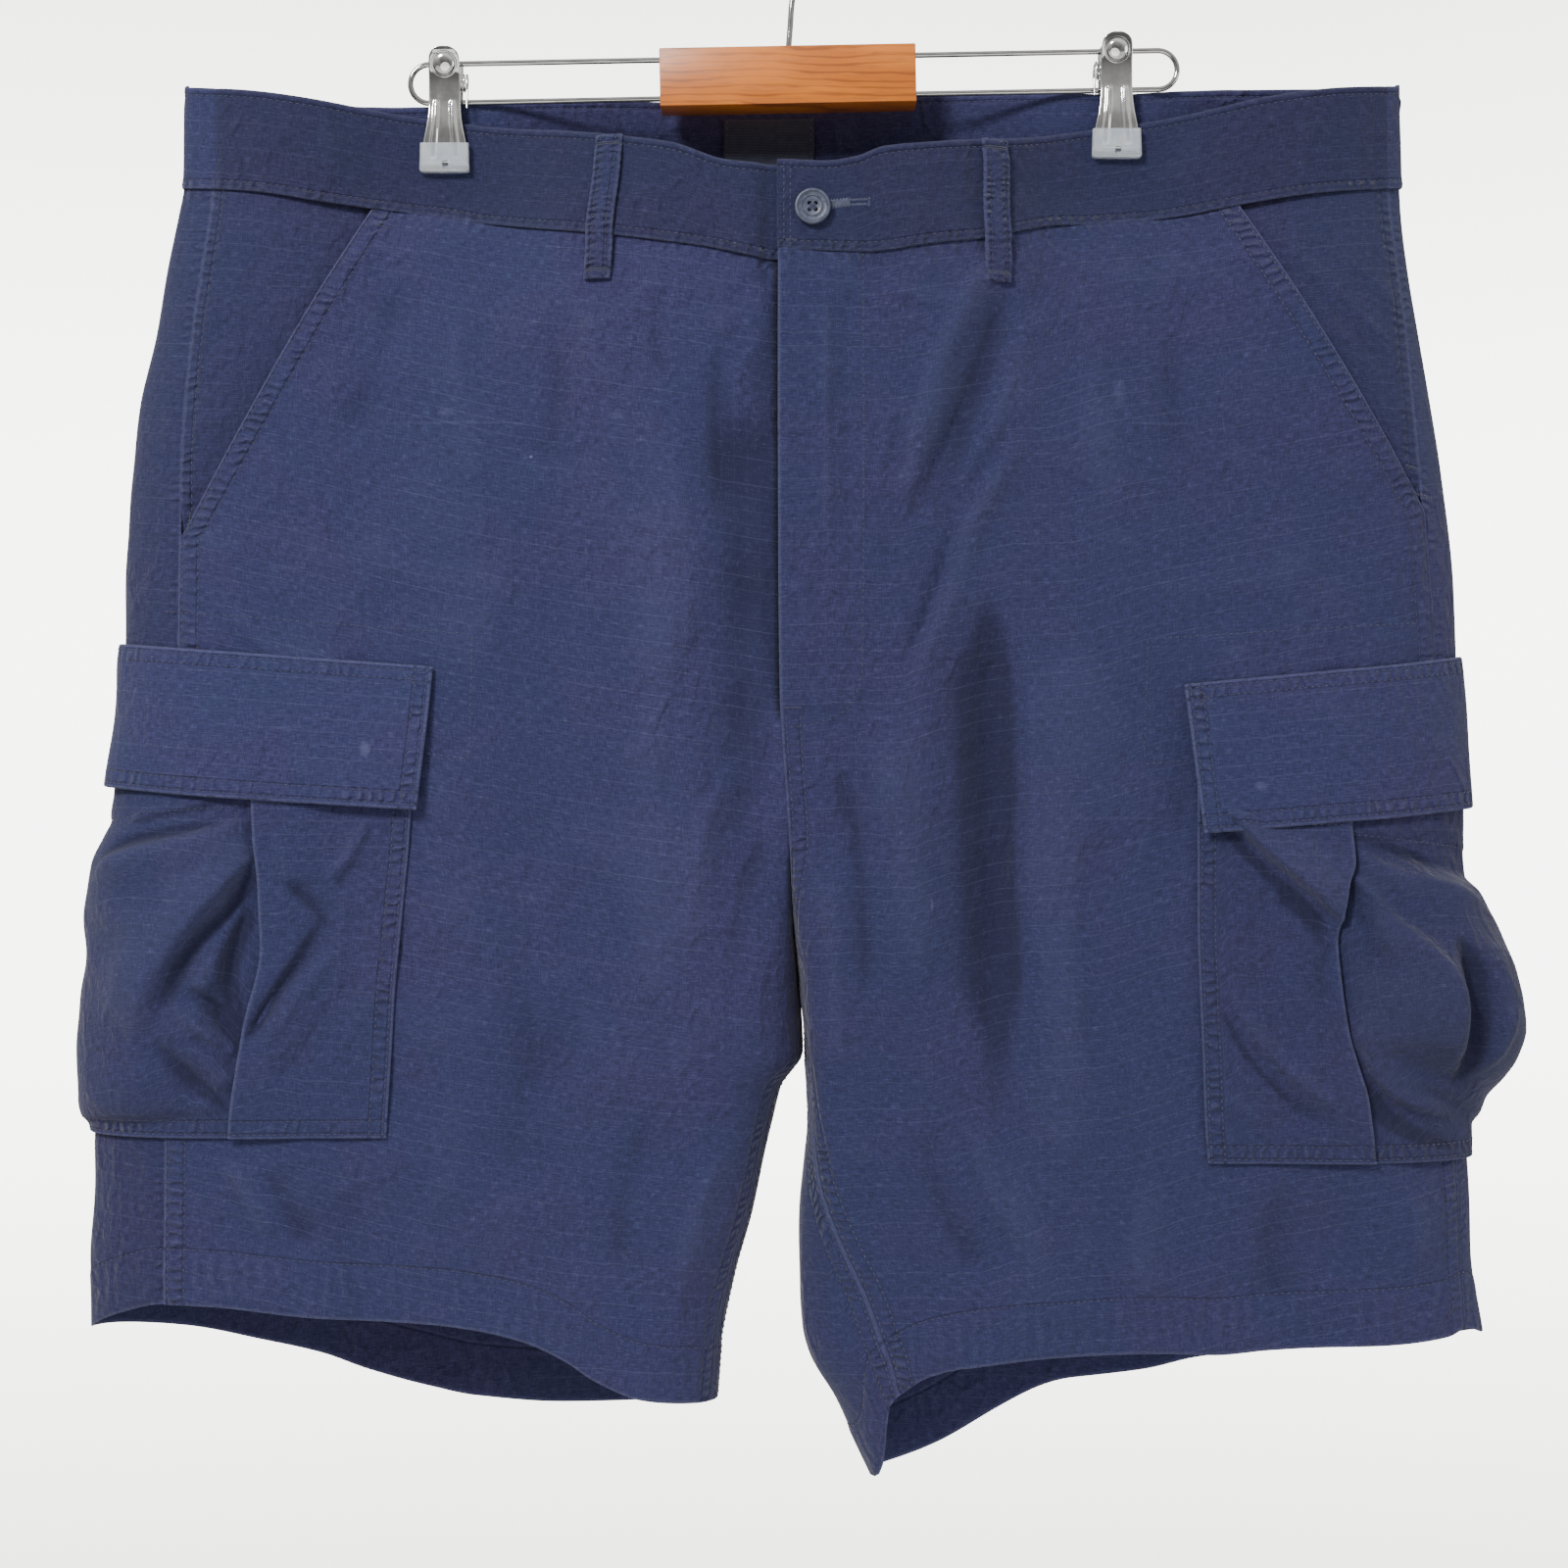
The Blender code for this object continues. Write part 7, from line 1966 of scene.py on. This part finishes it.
def makeJaw():
    rows = [(drop, float(read(jawTable, jawColumns, "half", drop)),
             float(read(jawTable, jawColumns, "stand", drop))) for drop in clip["drops"]]
    begin()
    bpy.ops.mesh.primitive_grid_add(x_subdivisions=clip["cells"], y_subdivisions=1, size=2.0,
                                    rotation=(math.radians(90.0), 0.0, 0.0))
    piece = bpy.context.active_object
    piece.scale = (rows[0][1] * mm, 1.0, 1.0)
    bpy.ops.object.transform_apply(location=False, rotation=True, scale=True)
    enter()
    pick(piece, "VERT", lambda vertex: vertex.co.z > 0.0)
    bpy.ops.mesh.delete(type="VERT")
    bpy.ops.mesh.select_all(action="SELECT")
    bpy.ops.transform.translate(value=(0.0, -(rows[0][2] + clip["proud"]) * mm, 1.0))
    for before, after in zip(rows, rows[1:]):
        extrude(0.0, before[2] - after[2], before[0] - after[0])
        bpy.ops.transform.resize(value=(after[1] / before[1], 1.0, 1.0),
                                 center_override=(0.0, 0.0, 0.0))
    low, high = clip["ribs"]

    def onRib(face):
        middle = face.calc_center_median() / mm
        half = float(read(jawTable, jawColumns, "half", -middle.z))
        return -high < middle.z < -low and 0.333 < abs(middle.x) / half < 0.667

    pick(piece, "FACE", onRib)
    inset(0.45)
    shift(0.0, -clip["ribHeight"], 0.0)
    pick(piece, "EDGE", lambda edge: edge.is_boundary
         and edge.calc_length() > 0.0
         and min(vertex.co.z for vertex in edge.verts) > -(rows[-1][0] - 0.1) * mm
         or edge.is_boundary
         and abs(edge.verts[0].co.z - edge.verts[1].co.z) > 0.2 * mm)
    extrude(0.0, clip["flange"] * 0.35, 0.0)
    extrude(0.0, clip["flange"] * 0.65, 0.0)
    tidy()
    leave()
    modify(piece, "SOLIDIFY", thickness=clip["metal"] * mm, offset=-1.0)
    modify(piece, "SUBSURF", levels=2)
    begin()
    bpy.ops.mesh.primitive_uv_sphere_add(segments=24, ring_count=16, radius=1.25 * mm)
    dot = bpy.context.active_object
    enter()
    pick(dot, "FACE", lambda face: face.calc_center_median().y > 0.0)
    bpy.ops.mesh.delete(type="FACE")
    bpy.ops.mesh.select_all(action="SELECT")
    bpy.ops.mesh.fill_holes(sides=0)
    tidy()
    leave()
    made = [piece]
    for way in (-1.0, 1.0):
        choose(dot)
        bpy.ops.object.duplicate()
        copy = bpy.context.active_object
        copy.location = (way * 3.75 * mm, -(4.7 + clip["proud"]) * mm, -25.2 * mm)
        settle()
        made.append(copy)
    bpy.data.objects.remove(dot)
    return joinPieces(made)


# a pressed dome with a flat brim
def makeDome():
    begin()
    bpy.ops.mesh.primitive_uv_sphere_add(segments=40, ring_count=20,
                                         radius=clip["domeRadius"] * 0.86 * mm,
                                         rotation=(math.radians(90.0), 0.0, 0.0))
    piece = bpy.context.active_object
    piece.scale = (1.0, 1.0, 0.42)
    bpy.ops.object.transform_apply(location=False, rotation=True, scale=True)
    enter()
    pick(piece, "FACE", lambda face: face.calc_center_median().y > 0.0)
    bpy.ops.mesh.delete(type="FACE")
    pick(piece, "EDGE", lambda edge: edge.is_boundary)
    for inward, wider in ((0.45, 1.03), (-0.1, 1.04), (-0.5, 1.05), (0.05, 1.03), (0.75, 1.02)):
        extrude(0.0, inward, 0.0)
        bpy.ops.transform.resize(value=(wider, 1.0, wider), center_override=(0.0, 0.0, 0.0))
    bpy.ops.mesh.select_all(action="SELECT")
    bpy.ops.mesh.fill_holes(sides=0)
    tidy()
    leave()
    return piece


# the pad is a sleeve open at its top, with a hole in its front
def makePad():
    near, far = clip["padStand"]
    tall = clip["padEnd"] - clip["padTop"]
    begin()
    bpy.ops.mesh.primitive_cube_add(size=1.0)
    piece = bpy.context.active_object
    piece.scale = (clip["padWidth"] * mm, (far - near) * mm, tall * mm)
    bpy.ops.object.transform_apply(location=False, rotation=False, scale=True)
    enter()
    pick(piece, "FACE", lambda face: face.normal.z > 0.9)
    bpy.ops.transform.resize(value=(0.965, 0.94, 1.0), center_override=(0.0, 0.0, 0.0))
    pick(piece, "EDGE", lambda edge: abs(edge.verts[0].co.x - edge.verts[1].co.x) < 0.5 * mm
         and abs(edge.verts[0].co.y - edge.verts[1].co.y) > 1.0 * mm
         and edge.verts[0].co.z < 0.0)
    bpy.ops.mesh.bevel(offset=1.6 * mm, segments=4, affect="EDGES")
    pick(piece, "EDGE", lambda edge: edge.calc_face_angle(0.0) > math.radians(60.0)
         and edge.verts[0].co.z + edge.verts[1].co.z < tall * 0.9 * mm)
    bpy.ops.mesh.bevel(offset=0.5 * mm, segments=2, affect="EDGES")
    pick(piece, "FACE", lambda face: face.normal.z > 0.9)
    inset(0.75)
    extrude(0.0, 0.0, -(tall - 3.0))
    tidy()
    leave()
    begin()
    bpy.ops.mesh.primitive_cylinder_add(vertices=24, radius=1.8 * mm, depth=3.0 * mm,
                                        location=(0.5 * mm, -0.5 * (far - near) * mm,
                                                  -0.5 * tall * mm + 3.4 * mm),
                                        rotation=(math.radians(90.0), 0.0, 0.0))
    cutter = bpy.context.active_object
    cutter.scale = (0.8, 1.15, 1.0)
    settle()
    drill(piece, cutter)
    choose(piece)
    piece.location = (0.0, -0.5 * (near + far) * mm,
                      -0.5 * (clip["padTop"] + clip["padEnd"]) * mm)
    settle()
    return piece


def copyTo(source, side, way, name, look, node, angle=40.0):
    x, z = clip["heads"][side]
    choose(source)
    bpy.ops.object.duplicate()
    copy = bpy.context.active_object
    copy.rotation_euler = (0.0, 0.0, math.pi if way > 0.0 else 0.0)
    copy.location = spot(x, 0.0, z)
    return finishHard(copy, name, look, [node], angle)


def makeCoil(side):
    offset = clip["coilOffset"]
    x = clip["heads"][side][0] + (offset if side == "right" else -offset)
    middle = hangerPoint(x, 0.0)
    steps, reach = clip["coilSteps"], clip["coilReach"]
    count = clip["coilTurns"] * steps
    path = [(x - reach, -5.2, middle[2] - 13.0), (x - reach, -clip["coil"], middle[2] - 4.0)]
    for step in range(count + 1):
        turn = 2.0 * math.pi * step / steps + math.pi
        path.append((x - reach + 2.0 * reach * step / count,
                     clip["coil"] * math.cos(turn),
                     middle[2] + clip["coil"] * math.sin(turn)))
    path += [(x + reach, -clip["coil"], middle[2] - 4.0), (x + reach, -5.2, middle[2] - 13.0)]
    finishHard(bendWire(path, clip["coilWire"], sides=2), "clip_spring_" + side, steel,
               ["clip_" + side + "_sleeve"], 60.0)


def makeClips():
    plastic = plasticMaterial()
    jaw, dome, pad = makeJaw(), makeDome(), makePad()
    drop, span = clip["domeDrop"], clip["domeSpan"]
    above = float(read(jawTable, jawColumns, "stand", drop - span))
    below = float(read(jawTable, jawColumns, "stand", drop + span))
    choose(dome)
    dome.rotation_euler = (math.atan2(above - below, 2.0 * span), 0.0, 0.0)
    dome.location = (0.0, -(0.5 * (above + below) + clip["proud"] + 0.25) * mm, -drop * mm)
    settle()
    for side in clip["heads"]:
        for face, way in (("front", -1.0), ("back", 1.0)):
            start = "clip_" + side + "_" + face
            copyTo(jaw, side, way, start + "_stamped_jaw", steel,
                   start + "_jaw", 60.0)
            copyTo(dome, side, way, start + "_dome", steel, start + "_cap",
                   angle=50.0)
            copyTo(pad, side, way, start + "_grip_pad", plastic,
                   start + "_pad", angle=35.0)
        makeCoil(side)
    for source in (jaw, dome, pad):
        bpy.data.objects.remove(source)


makeBlock()
makeWires()
makeHook()
makeClips()
print("hanger made")

button = {"at": (10.8, -149.5), "radius": 8.2, "thick": 3.0, "holes": 1.4, "holeRadius": 1.0,
          "out": 2.1, "span": 8.0}


def makeButton():
    x, z = button["at"]
    leg = legs["left"]
    depth = float(depthAt(leg, "front", x, z))
    below = float(depthAt(leg, "front", x, z - button["span"]))
    above = float(depthAt(leg, "front", x, z + button["span"]))
    lean = math.atan2(above - below, 2.0 * button["span"])
    half = button["thick"] / 2.0
    begin()
    bpy.ops.mesh.primitive_cylinder_add(vertices=64, radius=button["radius"] * mm,
                                        depth=button["thick"] * mm,
                                        rotation=(math.radians(90.0), 0.0, 0.0))
    piece = bpy.context.active_object
    bpy.ops.object.transform_apply(location=False, rotation=True, scale=True)
    enter()
    pick(piece, "EDGE", lambda edge: abs(edge.calc_face_angle(0.0)) > 1.0)
    bpy.ops.mesh.bevel(offset=0.8 * mm, segments=5, affect="EDGES")
    pick(piece, "FACE", lambda face: face.normal.y < -0.9
         and face.calc_center_median().y < -0.99 * half * mm)
    for width, inward in ((0.35, 0.0), (0.5, 0.85), (0.25, 0.15), (1.35, 0.0), (0.2, 0.4),
                          (0.2, 0.0), (0.2, -0.35), (0.3, 0.0), (0.8, 0.25), (1.0, 0.15)):
        inset(width)
        shift(0.0, inward, 0.0)
    tidy()
    leave()
    for acrossWay in (-1.0, 1.0):
        for upWay in (-1.0, 1.0):
            begin()
            bpy.ops.mesh.primitive_cylinder_add(
                vertices=20, radius=button["holeRadius"] * mm, depth=8.0 * mm,
                location=(acrossWay * button["holes"] * mm, 0.0, upWay * button["holes"] * mm),
                rotation=(math.radians(90.0), 0.0, 0.0))
            drill(piece, bpy.context.active_object)
    piece.rotation_euler = (lean, 0.0, 0.0)
    piece.location = spot(x, -depth - button["out"] - half, z)
    finishHard(piece, "waist_button_four_holes", buttonMaterial(),
               ["waist_button"], 40.0)
    strands = []
    front = -depth - button["out"] - half + 0.35
    for way in (-1.0, 1.0):
        for beside in (-0.32, 0.32):
            near = button["holes"] - 0.1
            side = Vector((beside * 0.7, 0.0, -way * beside * 0.7))
            path = [Vector((x - near, front + 1.2, z - way * near)) + side,
                    Vector((x - near * 0.8, front - 0.1, z - way * near * 0.8)) + side,
                    Vector((x, front - 0.42 - 0.1 * way, z)) + side,
                    Vector((x + near * 0.8, front - 0.1, z + way * near * 0.8)) + side,
                    Vector((x + near, front + 1.2, z + way * near)) + side]
            strands.append(bendWire(path, 0.3, sides=2))
    finishHard(joinPieces(strands), "waist_button_thread", navyThread, [], 60.0)


makeButton()
print("button made")

# close zigzags: the buttonhole, and the tacks at the ends of the pockets
def zigzag(piece, panel, start, end, wide, step=0.62, half=0.24):
    start, end = Vector(start), Vector(end)
    along = end - start
    beside = Vector((-along.y, along.x)).normalized() * wide / 2.0
    count = int(along.length / step)
    corners = [tuple(start + along * index / count + beside * (1 - 2 * (index % 2)))
               for index in range(count + 1)]
    leg = math.hypot(wide, along.length / count)
    stitchAlong(piece, *lineOn(panel, corners, 3.0), pitch=leg, length=leg, half=half)


looseThreads = {"waistband_buttonhole": paleThread}
bandLeft = panels["band_left"][0]
for above, wide in ((-1.1, 1.7), (1.1, 1.7)):
    zigzag("waistband_buttonhole", bandLeft, (18.6, -147.8 + above), (36.0, -146.4 + above), wide)
for above in (-0.8, 0.8):
    zigzag("waistband_buttonhole", bandLeft, (18.0, -148.2 + above), (28.0, -146.8 + above), 4.2,
           0.7, 0.3)
zigzag("waistband_buttonhole", bandLeft, (36.7, -148.6), (36.9, -144.2), 1.4)
zigzag("waistband_front_left", bandLeft, (-1.5, -164.2), (4.0, -164.4), 1.6)
for side, ends in (("right", (((-194.5, -151.0), (-186.5, -152.4)),
                              ((-279.0, -297.0), (-277.6, -288.0)))),
                   ("left", (((206.0, -150.5), (214.5, -150.8)),
                             ((291.5, -279.0), (300.0, -281.0)),
                             ((286.5, -266.0), (293.5, -268.0))))):
    for start, end in ends:
        zigzag("shorts_front_" + side, panels["front_" + side][0], start, end, 1.7)

for piece in list(threadLines):
    makeThreads(piece, looseThreads.get(piece, navyThread))
print("stitches laid")


# camera, light and ground
view = {"place": (-0.0023, -1.150, -0.4342), "lens": 55.645, "sensor": 36.0}
studio = {"air": (1.0, 0.985, 0.955), "behind": 6.5, "high": 1.0, "low": 0.28, "camera": 0.55,
          "floorDrop": 1.4, "floorSize": 7.6, "key": (-0.98, -1.60, 0.92), "keySize": 0.55,
          "keyPower": 58.0, "fill": (1.9, -0.8, -0.4), "fillSize": 1.3, "fillPower": 12.0,
          "under": (-0.1, -1.5, -1.15), "underSize": 1.5, "underPower": 9.0}


def makeCamera():
    data = bpy.data.cameras.new("camera")
    data.sensor_width = view["sensor"]
    data.lens = view["lens"]
    data.clip_start = 0.05
    data.clip_end = 50.0
    camera = bpy.data.objects.new("camera", data)
    camera.location = view["place"]
    camera.rotation_euler = (math.radians(90.0), 0.0, 0.0)
    bpy.context.scene.collection.objects.link(camera)
    bpy.context.scene.camera = camera


def makeLight(name, place, aim, size, power, colour):
    data = bpy.data.lights.new(name, "AREA")
    data.shape = "DISK"
    data.size = size
    data.energy = power
    data.color = colour
    lamp = bpy.data.objects.new(name, data)
    lamp.location = place
    lamp.rotation_euler = (Vector(aim) - Vector(place)).to_track_quat("-Z", "Y").to_euler()
    bpy.context.scene.collection.objects.link(lamp)


def makeStudio():
    world = bpy.data.worlds.new("pale room")
    world.use_nodes = True
    tree = world.node_tree
    sky = tree.nodes["Background"]
    sky.inputs["Color"].default_value = (*studio["air"], 1.0)
    outward = tree.nodes.new("ShaderNodeTexCoord").outputs["Generated"]
    way = apartFrom(tree, outward)
    front = spread(tree, way["Z"], -0.3, 0.7, studio["low"], studio["high"])
    shapes = grain(tree, outward, 1.9, 1.0)
    front = number(tree, "MULTIPLY", front, spread(tree, shapes, 0.38, 0.62, 0.82, 1.06))
    front = number(tree, "MULTIPLY", front,
                   spread(tree, way["Y"], -0.97, -0.86, studio["camera"], 1.0))
    wall = spread(tree, number(tree, "ABSOLUTE", way["Z"]), 0.05, 0.40,
                  studio["behind"], studio["behind"] * 0.45)
    seen = spread(tree, way["Y"], 0.78, 0.90)
    wire(tree, number(tree, "ADD", number(tree, "MULTIPLY", wall, seen), front),
         sky.inputs["Strength"])
    bpy.context.scene.world = world
    bpy.ops.object.select_all(action="DESELECT")
    bpy.ops.mesh.primitive_plane_add(size=studio["floorSize"],
                                     location=(0.0, 0.0, -0.78 - studio["floorDrop"]))
    floor = bpy.context.active_object
    floor.name = "floor"
    settle()
    paint, tree, shader, place = newMaterial("pale floor", 0.9)
    tone = grain(tree, place, 3.0, 3.0, 0.5)
    wire(tree, blendColour(tree, tone, (0.70, 0.69, 0.67, 1.0), (0.76, 0.75, 0.73, 1.0)),
         shader.inputs["Base Color"])
    floor.data.materials.append(paint)
    middle = (0.0, 0.0, -0.4)
    makeLight("key", studio["key"], middle, studio["keySize"], studio["keyPower"],
              (1.0, 0.985, 0.96))
    makeLight("fill", studio["fill"], middle, studio["fillSize"], studio["fillPower"],
              (0.94, 0.97, 1.0))
    makeLight("under", studio["under"], (0.0, 0.0, -0.6), studio["underSize"],
              studio["underPower"], (1.0, 0.985, 0.96))


makeCamera()
makeStudio()
print("camera and light set")
